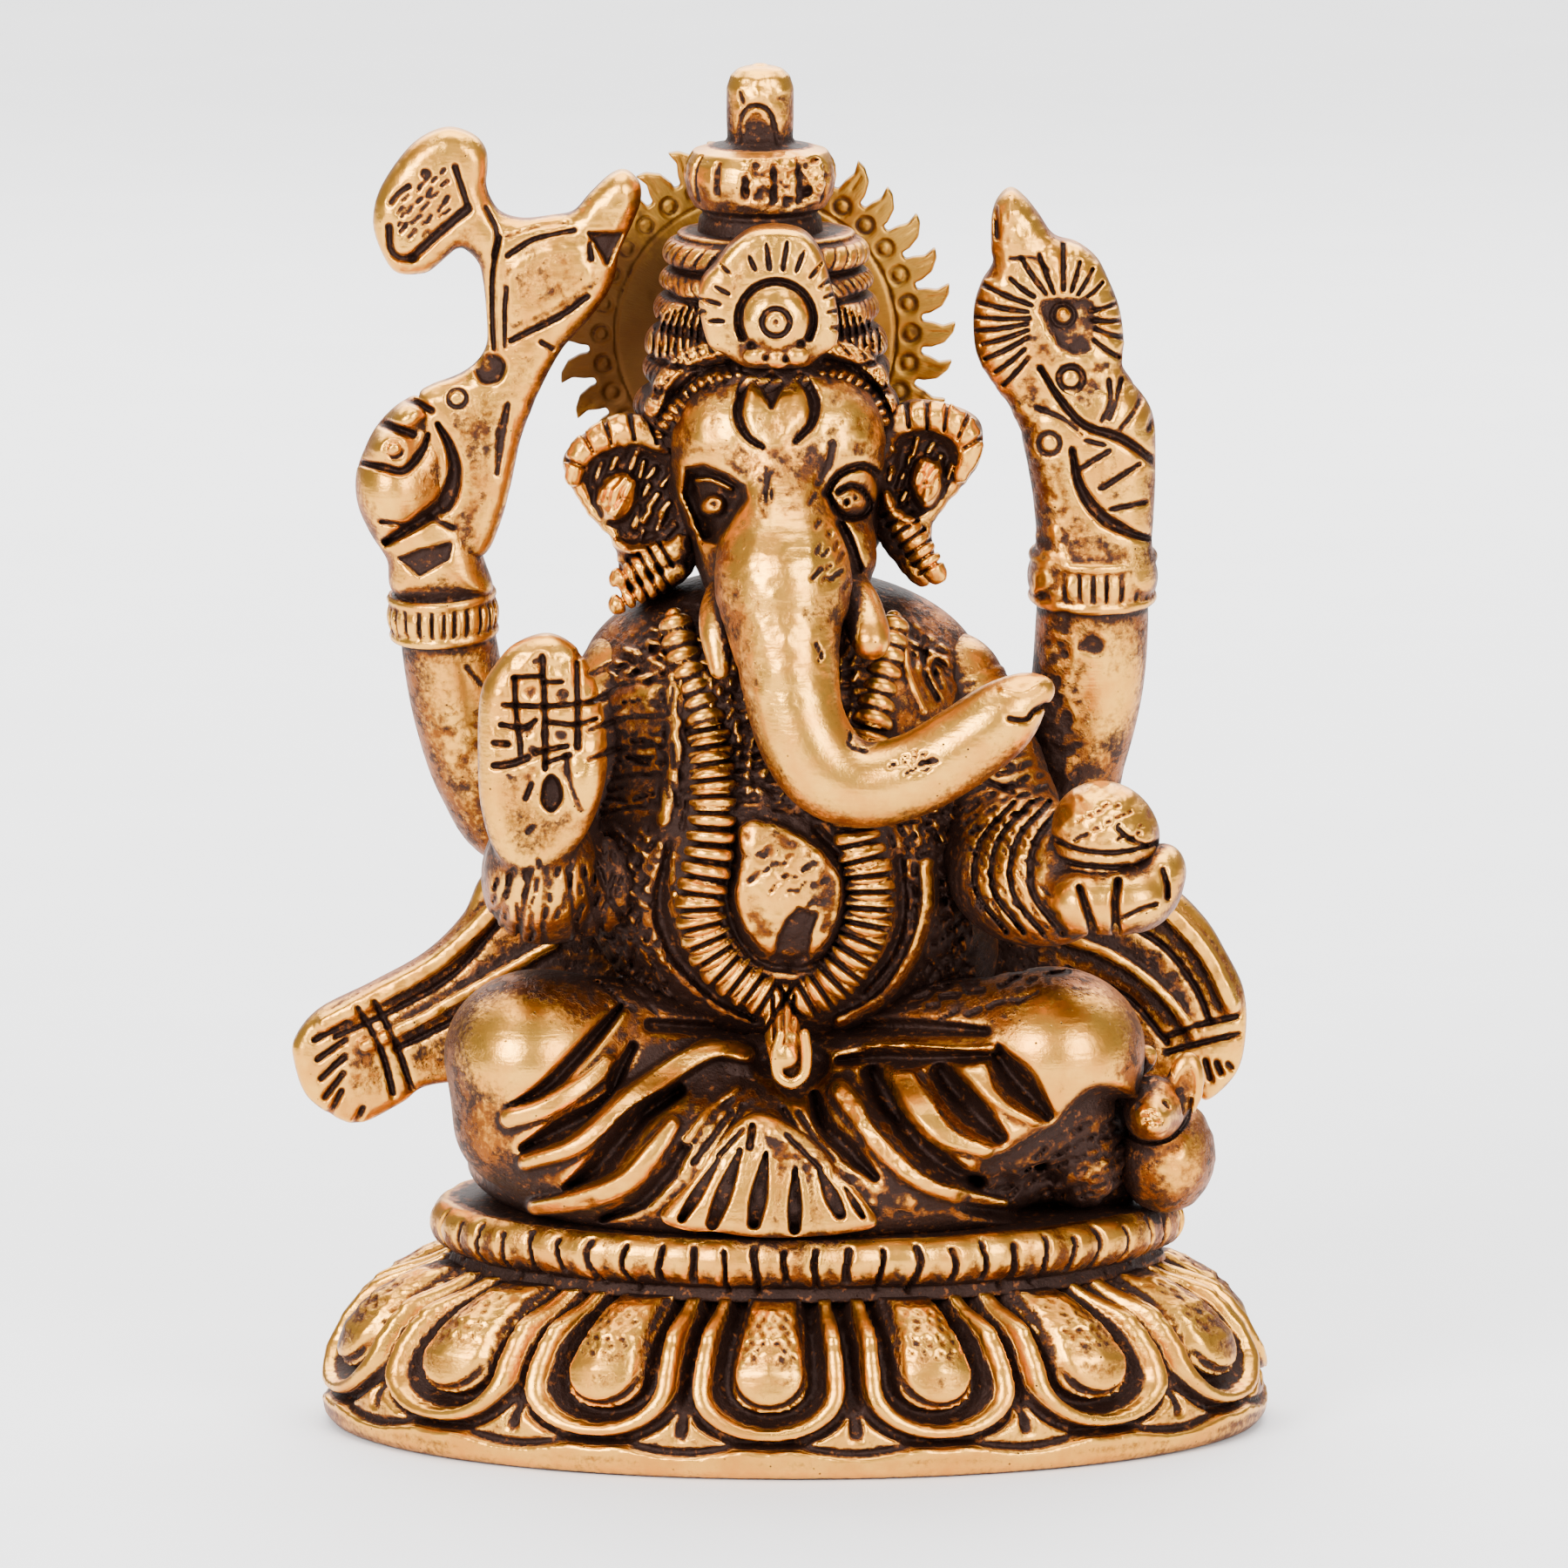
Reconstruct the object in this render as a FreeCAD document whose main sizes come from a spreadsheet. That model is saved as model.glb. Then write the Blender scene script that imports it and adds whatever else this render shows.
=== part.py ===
import FreeCAD, Part
import math
import os

import Sketcher
from FreeCAD import Placement, Rotation, Vector

# A seated four-armed elephant-headed figure on an oval lotus pedestal, built up from separate
# castings that are pegged, riveted and screwed together.
#
# Frame: millimetres, +Z up, the figure faces -Y, and its own left hand is on +X. Every table below
# is written about the pedestal's centre; the finished pieces are then moved by frame_shift, so that
# the origin is the middle of the whole figure's footprint, at the level of its foot.

doc = FreeCAD.newDocument("seated_elephant_figure")
sheet = doc.addObject("Spreadsheet::Sheet", "Dimensions")

# ---------------------------------------------------------------- driving dimensions

PLAIN = {
    # pedestal
    "base_height": 10.8, "base_half_length": 31.0, "base_half_depth": 20.0, "base_wall": 2.4,
    "cavity_height": 7.6, "boss_radius": 5.0, "boss_foot": 3.4, "petal_rise": 0.7,
    "frame_shift": 1.1, "rim_height": 3.8, "rim_half_length": 24.4, "rim_half_depth": 15.8, "rim_round": 1.5, "rim_shift": 0.5,
    # screw that clamps pedestal, seat and legs together
    "screw_radius": 2.0, "screw_length": 16.0, "screw_head_radius": 3.4, "screw_head_height": 2.0,
    "screw_clearance": 0.15, "washer_radius": 4.4, "washer_thickness": 0.6, "slot_width": 0.8, "slot_depth": 1.0,
    # crown, finial and halo, all on the crown's axis
    "crown_x": -1.9, "crown_y": 1.0, "crown_foot": 66.8, "crown_top": 78.8,
    "finial_x": -2.3, "pot_radius": 4.95, "pot_height": 5.6, "knob_radius": 2.25, "knob_height": 5.6,
    "halo_x": -2.6, "halo_front": 7.2, "halo_z": 71.2, "halo_radius": 11.0, "halo_thickness": 1.1,
    "halo_teeth": 32, "tooth_length": 2.1, "tooth_half_width": 0.85, "tooth_lean": 0.7,
    "punch_radius": 0.42, "punch_depth": 0.2, "punch_circle": 9.9,
    "rivet_radius": 1.2, "rivet_head_radius": 2.2, "rivet_head_height": 0.9, "rivet_grip": 3.5,
    # flat pieces
    "shawl_front": 4.6, "shawl_thickness": 2.0, "axe_front": -0.4, "axe_thickness": 2.8,
    "ear_front": -0.6, "ear_thickness": 2.6, "plate_front": -8.4, "plate_thickness": 2.6,
    "palm_front": -15.2, "palm_thickness": 3.2, "pleat_front": -15.0, "pleat_depth": 5.0,
}

# Solid ovals: centre x, y, z, then half sizes along x, y, z.
OVALS = {
    "lap": (0.2, 0.4, 20.6, 20.8, 12.6, 6.4),
    "knee_right": (-16.9, -7.0, 25.6, 6.4, 6.6, 5.9),
    "knee_left": (17.0, -7.4, 26.0, 6.2, 6.2, 5.3),
    "belly": (-1.2, -1.0, 38.4, 13.2, 10.6, 12.6),
    "chest": (-0.9, 1.6, 49.6, 13.4, 7.6, 7.4),
    "skull": (-1.1, -1.6, 63.8, 8.2, 7.6, 8.4),
    "cheeks": (-0.9, -1.4, 58.0, 6.8, 6.8, 5.8),
    "modak_ball": (20.0, -12.6, 41.8, 3.4, 3.4, 3.0),
    "open_hand": (20.9, -12.6, 38.0, 4.4, 4.6, 2.5),
    "flower_heart": (16.5, 1.6, 72.0, 5.0, 2.7, 6.4),
    "mouse_ear_near": (22.4, -7.9, 24.4, 1.1, 0.9, 1.5),
    "mouse_ear_far": (25.5, -7.4, 24.1, 1.2, 0.9, 1.6),
    "fist_right": (-25.0, 1.4, 63.2, 3.8, 3.2, 4.6),
    "fist_left": (19.5, 1.8, 62.2, 3.9, 3.0, 4.8),
    "jewel": (-1.4, -8.0, 74.8, 1.9, 1.7, 2.1),
}

# Round limbs: stations of x, y, z and radius along the middle of each.
LIMBS = {
    "shin_right": [(-17.2, -8.6, 21.4, 4.6), (-11.6, -10.6, 19.6, 3.9), (-5.0, -11.0, 18.2, 3.2)],
    "shin_left": [(17.4, -8.0, 21.2, 4.4), (11.8, -10.4, 20.0, 4.0), (5.0, -11.0, 18.4, 3.3)],
    "thigh_right": [(-4.0, -1.0, 22.0, 6.0), (-10.0, -4.0, 24.6, 6.2), (-15.6, -6.4, 25.4, 5.4)],
    "thigh_left": [(4.0, -1.0, 22.0, 6.0), (10.4, -4.4, 24.8, 6.2), (15.8, -6.8, 25.8, 5.0)],
    "trunk_tube": [(-1.1, -5.4, 62.8, 3.7), (-1.0, -8.4, 58.8, 3.9), (-0.8, -10.6, 55.2, 3.6),
                   (-0.4, -12.0, 51.8, 3.3), (0.4, -12.9, 48.8, 3.1), (2.2, -13.4, 46.4, 2.9),
                   (4.8, -13.9, 45.4, 2.7), (8.0, -14.3, 46.1, 2.65), (11.2, -14.6, 48.2, 2.4),
                   (13.6, -14.8, 50.1, 1.8), (15.7, -15.0, 51.5, 0.9)],
    "upper_arm_back_right": [(-8.0, 3.6, 47.2, 3.6), (-13.0, 4.2, 42.6, 3.5), (-18.2, 4.0, 39.4, 3.3)],
    "forearm_back_right": [(-17.4, 4.0, 38.6, 3.3), (-20.4, 3.6, 42.6, 3.3), (-22.2, 3.0, 47.2, 3.2),
                           (-23.0, 2.4, 51.6, 3.1), (-23.4, 2.0, 55.6, 2.9), (-24.3, 1.6, 60.4, 3.0)],
    "upper_arm_back_left": [(8.0, 3.6, 47.2, 3.6), (12.6, 4.2, 42.8, 3.5), (17.8, 4.0, 39.8, 3.4)],
    "forearm_back_left": [(16.8, 4.0, 39.2, 3.3), (18.4, 3.6, 44.0, 3.3), (19.3, 3.0, 48.6, 3.4),
                          (19.5, 2.4, 53.0, 3.5), (19.6, 2.0, 57.0, 3.4), (19.6, 1.8, 60.6, 3.2)],
    "upper_arm_front_right": [(-10.4, 0.8, 49.0, 4.0), (-13.4, -0.8, 43.2, 4.2), (-15.6, -2.4, 37.6, 4.1)],
    "forearm_front_right": [(-15.2, -0.6, 38.4, 4.0), (-16.3, -6.4, 38.8, 3.9), (-16.8, -12.8, 41.2, 3.1)],
    "upper_arm_front_left": [(10.0, 0.8, 48.6, 4.0), (13.0, -0.8, 43.0, 4.2), (15.4, -2.4, 38.0, 4.1)],
    "forearm_front_left": [(15.0, -0.8, 38.6, 4.0), (17.4, -5.6, 38.0, 3.8), (19.9, -10.4, 38.0, 3.1)],
    "tusk_tube_right": [(-4.2, -4.8, 57.2, 1.1), (-4.9, -7.2, 55.0, 1.3), (-5.3, -9.4, 52.6, 0.8)],
    "tusk_tube_left": [(2.8, -4.8, 57.4, 1.1), (3.9, -7.8, 55.4, 1.5), (4.8, -10.2, 53.8, 1.2)],
    "garland_right": [(-7.8, -3.9, 54.2, 1.1), (-7.2, -5.4, 51.5, 1.3), (-5.9, -7.6, 47.8, 1.4),
                      (-5.4, -10.4, 43.8, 1.5), (-5.6, -11.2, 40.0, 1.6), (-6.2, -11.0, 36.0, 1.7),
                      (-5.0, -10.4, 32.8, 1.7), (-3.0, -9.7, 30.8, 1.6), (0.2, -9.3, 29.6, 1.4)],
    "garland_left": [(6.2, -3.9, 54.2, 1.1), (6.0, -5.4, 51.5, 1.3), (5.0, -7.6, 47.8, 1.4),
                     (4.2, -10.2, 43.8, 1.5), (4.5, -11.0, 40.0, 1.6), (4.8, -10.8, 36.6, 1.7),
                     (4.1, -10.3, 33.4, 1.7), (2.2, -9.8, 31.0, 1.6), (-1.4, -9.3, 29.4, 1.4)],
    "tassel": [(-0.8, -9.8, 29.6, 1.1), (-0.9, -11.3, 27.8, 1.0), (-1.0, -12.4, 25.8, 1.2)],
    "mouse_body": [(24.3, -1.6, 18.4, 3.3), (24.4, -4.2, 18.5, 3.7), (24.1, -7.0, 19.6, 3.1)],
    "mouse_head": [(23.9, -6.4, 21.2, 2.3), (23.7, -9.0, 22.3, 2.2), (23.5, -11.6, 22.2, 1.2)],
    "flower_tip": [(15.8, 1.6, 74.8, 3.2), (14.8, 1.6, 78.6, 2.0), (14.0, 1.6, 81.8, 0.6)],
}

# Plain bands worn round the wrists and the crown's foot: x, y, z of the lower end, vector along, radius.
BANDS = {
    "bracelet_back_right": (-23.1, 2.3, 52.2, -0.5, -0.3, 2.6, 3.5),
    "bracelet_back_left": (19.5, 2.3, 54.2, 0.0, -0.3, 3.2, 3.9),
    "bracelet_front_right": (-16.5, -8.2, 39.4, -0.1, -2.2, 0.8, 4.2),
    "bracelet_front_left": (17.8, -6.4, 38.0, 1.0, -2.0, 0.0, 4.1),
}

# Round pegs, from their inner end: x, y, z, then the vector along the peg, then the radius.
PEGS = {
    "waist_peg": (0.0, 0.0, 21.4, 0.0, 0.0, 11.0, 3.0),
    "neck_peg": (-1.0, 0.5, 50.0, 0.0, 0.0, 9.0, 2.6),
    "crown_peg": (-1.9, 0.6, 65.5, 0.0, 0.0, 8.0, 2.4),
    "finial_peg": (-2.2, 1.0, 74.8, 0.0, 0.0, 6.0, 1.4),
    "tusk_peg_right": (-3.4, -3.0, 58.2, -1.5, -3.6, -2.4, 0.6),
    "tusk_peg_left": (2.0, -3.0, 58.4, 1.5, -3.9, -2.4, 0.6),
    "ear_peg_right": (-5.0, 0.7, 62.6, -7.0, 0.0, 0.0, 0.8),
    "ear_peg_left": (3.0, 0.7, 63.0, 6.6, 0.0, 0.0, 0.8),
    "arm_peg_back_right": (-5.4, 3.2, 49.0, -7.4, 1.0, -6.2, 1.3),
    "arm_peg_back_left": (5.0, 3.2, 49.0, 7.4, 1.0, -6.2, 1.3),
    "arm_peg_front_right": (-6.4, 0.4, 47.0, -7.4, -1.2, -3.4, 1.3),
    "arm_peg_front_left": (5.4, 0.4, 47.0, 7.6, -1.2, -3.4, 1.3),
    "axe_peg": (-24.4, 1.0, 62.2, 2.6, 0.0, 6.4, 0.9),
    "flower_peg": (18.6, 1.7, 63.0, -1.0, 0.0, 5.6, 1.1),
    "modak_peg": (20.4, -12.6, 36.8, -0.2, 0.0, 4.4, 0.8),
    "shawl_peg_right": (-12.6, 5.6, 22.6, -8.4, 0.0, 0.6, 0.7),
    "shawl_peg_left": (13.0, 5.6, 22.6, 8.4, 0.0, 0.6, 0.7),
    "mouse_peg": (22.4, -3.0, 12.0, 0.0, 0.0, 5.2, 0.9),
    "plate_peg": (-1.8, -3.4, 76.0, 0.0, -3.4, 0.0, 0.8),
    "garland_peg": (-1.0, -5.6, 30.2, 0.0, -4.0, 0.0, 0.7),
    "pleat_peg": (-2.2, -10.0, 17.8, 0.0, -3.4, 0.0, 0.7),
}

# Outlines of the flat pieces in the X-Z plane, each point once, going round.
OUTLINES = {
    "shawl_right": [(-12.0, 34.0), (-16.0, 36.4), (-19.8, 35.8), (-22.3, 32.4), (-25.0, 29.8), (-28.4, 27.9),
                    (-31.8, 26.0), (-33.2, 23.4), (-32.2, 20.6), (-30.0, 18.7), (-27.4, 19.4), (-23.6, 21.0),
                    (-18.0, 21.6), (-12.0, 22.4)],
    "shawl_left": [(12.0, 22.4), (17.0, 22.0), (23.0, 21.4), (26.8, 20.4), (29.2, 22.4), (29.8, 25.4),
                   (29.1, 28.6), (27.2, 32.0), (24.2, 34.9), (19.6, 36.4), (15.6, 36.0), (12.0, 34.0)],
    "ear_right": [(-5.6, 64.4), (-8.6, 65.9), (-11.2, 67.2), (-13.9, 66.3), (-15.3, 63.8), (-14.0, 61.2),
                  (-12.3, 58.6), (-10.8, 56.0), (-8.4, 55.2), (-5.4, 58.2)],
    "ear_left": [(3.6, 58.4), (6.6, 56.0), (8.8, 58.2), (10.3, 60.8), (12.0, 63.4), (12.2, 65.6),
                 (10.3, 67.3), (7.4, 67.6), (4.0, 65.0)],
    "palm": [(-13.2, 41.8), (-12.6, 48.0), (-13.9, 52.6), (-17.0, 54.6), (-19.8, 52.2), (-20.7, 47.0),
             (-20.0, 41.8), (-17.6, 39.1), (-14.8, 39.4)],
    "axe": [(-22.4, 58.4), (-20.4, 58.6), (-19.2, 63.6), (-17.5, 68.0), (-15.3, 72.0), (-12.2, 76.8),
            (-12.4, 78.4), (-10.4, 81.6), (-12.2, 83.0), (-14.6, 79.8), (-19.2, 79.6), (-20.4, 78.2),
            (-20.3, 82.3), (-21.4, 84.8), (-23.0, 85.4), (-25.2, 84.6), (-27.0, 82.2), (-27.5, 79.6),
            (-26.7, 77.2), (-25.4, 76.2), (-22.6, 77.3), (-20.3, 76.6), (-20.2, 72.0), (-21.4, 70.2),
            (-24.3, 67.6), (-24.6, 64.0)],
    "crown_plate": [(-1.8, 71.6), (3.2, 72.6), (5.2, 74.4), (2.6, 76.2), (2.1, 78.4), (0.4, 79.9),
                    (-1.7, 80.4), (-3.8, 79.8), (-5.6, 77.6), (-6.2, 76.0), (-8.2, 74.2), (-6.6, 72.6)],
    "pleats": [(-2.2, 23.8), (-0.4, 22.6), (2.0, 20.2), (4.9, 17.0), (5.0, 14.2), (-2.2, 14.2),
               (-9.4, 14.2), (-9.6, 16.4), (-6.6, 19.8), (-3.8, 22.6)],
}

# Which solids make each casting, what it is seated against, its own pegs, and the pegs it is drilled for.
CASTINGS = {
    "folded_legs": (("lap", "knee_right", "knee_left", "thigh_right", "thigh_left", "shin_right", "shin_left"),
                    ("seat_rim",), (),
                    ("waist_peg", "shawl_peg_right", "shawl_peg_left", "pleat_peg")),
    "skirt_pleats": (("pleats",), ("seat_rim", "folded_legs"), ("pleat_peg",), ()),
    "torso": (("belly", "chest"), ("folded_legs",), ("waist_peg",),
              ("neck_peg", "arm_peg_back_right", "arm_peg_back_left", "arm_peg_front_right",
               "arm_peg_front_left", "garland_peg")),
    "head": (("skull", "cheeks", "trunk_tube"), ("torso",), ("neck_peg",),
             ("crown_peg", "tusk_peg_right", "tusk_peg_left", "ear_peg_right", "ear_peg_left")),
    "garland": (("garland_right", "garland_left", "tassel"), ("torso", "head", "folded_legs"), ("garland_peg",), ()),
    "right_tusk": (("tusk_tube_right",), ("head", "torso"), ("tusk_peg_right",), ()),
    "left_tusk": (("tusk_tube_left",), ("head", "torso"), ("tusk_peg_left",), ()),
    "crown": (("crown_turning", "halo_pad"), ("head", "halo_space"), ("crown_peg",),
              ("finial_peg", "plate_peg", "halo_rivet_hole")),
    "crown_front_plate": (("crown_plate", "jewel"), ("crown", "head"), ("plate_peg",), ()),
    "right_ear": (("ear_right",), ("head", "crown", "torso"), ("ear_peg_right",), ()),
    "left_ear": (("ear_left",), ("head", "crown", "torso"), ("ear_peg_left",), ()),
    "front_right_arm": (("upper_arm_front_right", "forearm_front_right", "bracelet_front_right", "palm"),
                        ("torso", "folded_legs", "right_ear"), ("arm_peg_front_right",), ()),
    "front_left_arm": (("upper_arm_front_left", "forearm_front_left", "bracelet_front_left", "open_hand"),
                       ("torso", "folded_legs", "left_ear"), ("arm_peg_front_left",), ("modak_peg",)),
    "modak_sweet": (("modak_ball",), ("front_left_arm",), ("modak_peg",), ()),
    "rear_right_arm": (("upper_arm_back_right", "forearm_back_right", "bracelet_back_right", "fist_right"),
                       ("torso", "front_right_arm", "folded_legs"), ("arm_peg_back_right",), ("axe_peg",)),
    "rear_left_arm": (("upper_arm_back_left", "forearm_back_left", "bracelet_back_left", "fist_left"),
                      ("torso", "front_left_arm", "folded_legs"), ("arm_peg_back_left",), ("flower_peg",)),
    "battle_axe": (("axe",), ("rear_right_arm",), ("axe_peg",), ()),
    "lotus_flower": (("flower_heart", "flower_tip"), ("rear_left_arm",), ("flower_peg",), ()),
    "right_shawl_tail": (("shawl_right",), ("folded_legs", "torso", "front_right_arm", "rear_right_arm"),
                         ("shawl_peg_right",), ()),
    "left_shawl_tail": (("shawl_left",), ("folded_legs", "torso", "front_left_arm", "rear_left_arm"),
                        ("shawl_peg_left",), ()),
    "mouse": (("mouse_body", "mouse_head", "mouse_ear_near", "mouse_ear_far"),
              ("seat_rim", "folded_legs"), ("mouse_peg",), ()),
}

AXES = ("x", "y", "z")
HALVES = ("half_x", "half_y", "half_z")
ALONG = ("along_x", "along_y", "along_z")


def fill_sheet():
    """Writes every driving dimension into the sheet as a plain number with an alias."""
    cells = dict(PLAIN)
    for name, numbers in OVALS.items():
        cells.update({f"{name}_{k}": v for k, v in zip(AXES + HALVES, numbers)})
    for name, stations in LIMBS.items():
        for i, numbers in enumerate(stations):
            cells.update({f"{name}_{k}_{i}": v for k, v in zip(AXES + ("radius",), numbers)})
    for table in (BANDS, PEGS):
        for name, numbers in table.items():
            cells.update({f"{name}_{k}": v for k, v in zip(AXES + ALONG + ("radius",), numbers)})
    for row, (alias, value) in enumerate(cells.items(), 1):
        sheet.set(f"A{row}", alias)
        sheet.set(f"B{row}", str(value))
        sheet.setAlias(f"B{row}", alias)
    doc.recompute()


def size(alias):
    """A dimension, as the sheet holds it."""
    return float(sheet.get(alias))


def bind(thing, **expressions):
    """Ties properties to expressions; a double underscore stands for the dot in a property's path."""
    for prop, expression in expressions.items():
        thing.setExpression(prop.replace("__", "."), expression)
    return thing


def cell(alias):
    """How an expression names a dimension."""
    return "Dimensions." + alias


def at_cells(thing, stem, suffix=""):
    """Ties a shape's position to the three cells named after it."""
    return bind(thing, **{"Placement__Base__" + k: cell(f"{stem}_{k}{suffix}") for k in AXES})


# ---------------------------------------------------------------- solids

def oval(name):
    """A solid ellipsoid from its row of OVALS."""
    solid = doc.addObject("Part::Ellipsoid", "oval_" + name)
    bind(solid, Radius1=cell(name + "_half_z"), Radius2=cell(name + "_half_x"), Radius3=cell(name + "_half_y"))
    solid.Angle1 = -90
    solid.Angle2 = 90
    solid.Angle3 = 360
    return at_cells(solid, name)


def limb(name):
    """A lofted tube through a circle at each station, with a domed end at both ends."""
    body = doc.addObject("PartDesign::Body", "tube_" + name)
    points = [Vector(*station[:3]) for station in LIMBS[name]]
    last = len(points) - 1
    whole = points[last] - points[0]
    whole.normalize()
    across = Vector(1, 0, 0) if abs(whole.y) > 0.75 else Vector(0, 1, 0)
    sketches = []
    for i, point in enumerate(points):
        ahead = points[min(i + 1, last)] - points[max(i - 1, 0)]
        ahead.normalize()
        side = across.cross(ahead)
        side.normalize()
        radius = LIMBS[name][i][3]
        sketch = body.newObject("Sketcher::SketchObject", f"ring_{name}_{i}")
        sketch.addGeometry(Part.Circle(Vector(0, 0, 0), Vector(0, 0, 1), radius), False)
        sketch.addConstraint(Sketcher.Constraint("Coincident", 0, 3, -1, 1))
        sketch.addConstraint(Sketcher.Constraint("Radius", 0, radius))
        sketch.setExpression("Constraints[1]", cell(f"{name}_radius_{i}"))
        sketch.Placement = Placement(point, Rotation(side, ahead.cross(side), ahead, "ZXY"))
        at_cells(sketch, name, f"_{i}")
        sketches.append(sketch)
    loft = body.newObject("PartDesign::AdditiveLoft", "loft_" + name)
    loft.Profile = sketches[0]
    loft.Sections = sketches[1:]
    body.Tip = loft
    ends = [body]
    for i in (0, last):
        dome = doc.addObject("Part::Sphere", f"dome_{name}_{i}")
        bind(dome, Radius=f"{cell(name)}_radius_{i} * 1.06")
        ends.append(at_cells(dome, name, f"_{i}"))
    return fuse("limb_" + name, ends)


def rod(kind, name, extra_radius="0", extra_length=0.0):
    """A cylinder from its row of BANDS or PEGS, optionally larger all round and longer at its inner end."""
    row = PEGS.get(name) or BANDS[name]
    along = Vector(*row[3:6])
    length = along.Length
    solid = doc.addObject("Part::Cylinder", kind + "_" + name)
    solid.Placement = Placement(Vector(*row[:3]), Rotation(Vector(0, 0, 1), along))
    stem = cell(name)
    bind(solid, Radius=f"{stem}_radius + {extra_radius}",
         Height=f"sqrt({stem}_along_x^2 + {stem}_along_y^2 + {stem}_along_z^2) + {extra_length}")
    back = {k: f"{stem}_{k} - {stem}_along_{k} * {extra_length / length}" for k in AXES}
    return bind(solid, **{"Placement__Base__" + k: v for k, v in back.items()})


def plane_sketch(body, name, role, offset=0.0, offset_cell=None, sign=1):
    """A sketch on one of the body's own origin planes, moved along the plane's normal."""
    plane = next(f for f in body.Origin.OriginFeatures if f.Role == role)
    sketch = body.newObject("Sketcher::SketchObject", name)
    sketch.AttachmentSupport = [(plane, "")]
    sketch.MapMode = "FlatFace"
    sketch.AttachmentOffset = Placement(Vector(0, 0, offset), Rotation())
    if offset_cell:
        sketch.setExpression("AttachmentOffset.Base.z", f"{'-' if sign < 0 else ''}{cell(offset_cell)}")
    return sketch


def plate(name, front, thickness, smooth):
    """A flat piece standing in the X-Z plane: its outline pushed back from its front face."""
    body = doc.addObject("PartDesign::Body", "plate_" + name)
    sketch = plane_sketch(body, "outline_" + name, "XZ_Plane", -size(front), front, -1)
    points = [Vector(x, z, 0) for x, z in OUTLINES[name]]
    if smooth:
        curve = Part.BSplineCurve()
        curve.interpolate(Points=points, PeriodicFlag=True)
        sketch.addGeometry(curve, False)
    else:
        count = len(points)
        for i in range(count):
            sketch.addGeometry(Part.LineSegment(points[i], points[(i + 1) % count]), False)
        for i in range(count):
            sketch.addConstraint(Sketcher.Constraint("Coincident", i, 2, (i + 1) % count, 1))
    pad = body.newObject("PartDesign::Pad", "pad_" + name)
    pad.Profile = sketch
    pad.Reversed = True
    pad.setExpression("Length", cell(thickness))
    body.Tip = pad
    return body


def turning(name, profile, x, y):
    """A solid of revolution about an upright axis; the profile lists radius and height pairs."""
    body = doc.addObject("PartDesign::Body", "turned_" + name)
    sketch = plane_sketch(body, "profile_" + name, "XZ_Plane")
    points = [Vector(r, z, 0) for r, z in profile]
    count = len(points)
    for i in range(count):
        sketch.addGeometry(Part.LineSegment(points[i], points[(i + 1) % count]), False)
    for i in range(count):
        sketch.addConstraint(Sketcher.Constraint("Coincident", i, 2, (i + 1) % count, 1))
    spin = body.newObject("PartDesign::Revolution", "spin_" + name)
    spin.Profile = sketch
    spin.ReferenceAxis = (sketch, ["V_Axis"])
    spin.Angle = 360
    body.Tip = spin
    bind(body, Placement__Base__x=x, Placement__Base__y=y)
    return body


def oval_stack(name, rings, shift=0.0):
    """A loft through level ovals, each given as half length, half depth and height."""
    sections = []
    for i, (half_length, half_depth, height) in enumerate(rings):
        ring = doc.addObject("Part::Ellipse", f"level_{name}_{i}")
        bind(ring, MajorRadius=half_length, MinorRadius=half_depth, Placement__Base__z=height,
             Placement__Base__x=str(shift))
        sections.append(ring)
    loft = doc.addObject("Part::Loft", "stack_" + name)
    loft.Sections = sections
    loft.Solid = True
    loft.Ruled = False
    return loft


def upright(name, radius, foot, height):
    """An upright cylinder on the origin's axis."""
    solid = doc.addObject("Part::Cylinder", name)
    return bind(solid, Radius=radius, Height=height, Placement__Base__z=foot)


def fuse(name, solids):
    """All the solids as one."""
    if len(solids) == 1:
        return solids[0]
    union = doc.addObject("Part::MultiFuse", name)
    union.Shapes = solids
    union.Refine = False
    return union


def cut(name, solid, tools):
    """The solid with every tool taken out of it."""
    if not tools:
        return solid
    result = doc.addObject("Part::Cut", name)
    result.Base = solid
    result.Tool = fuse(name + "_tools", tools)
    result.Refine = False
    return result


# ---------------------------------------------------------------- pedestal, seat and their screw

def oval_points(half_length, half_depth, count, start):
    """Points at equal steps along an oval, as angle parameters, from a start parameter."""
    fine = 7200
    lengths = [0.0]
    for i in range(fine):
        t = start + 2 * math.pi * (i + 0.5) / fine
        step = math.hypot(half_length * math.sin(t), half_depth * math.cos(t)) * 2 * math.pi / fine
        lengths.append(lengths[-1] + step)
    found = []
    i = 0
    for k in range(count):
        while lengths[i] < lengths[-1] * k / count:
            i += 1
        found.append(start + 2 * math.pi * i / fine)
    return found


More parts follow.
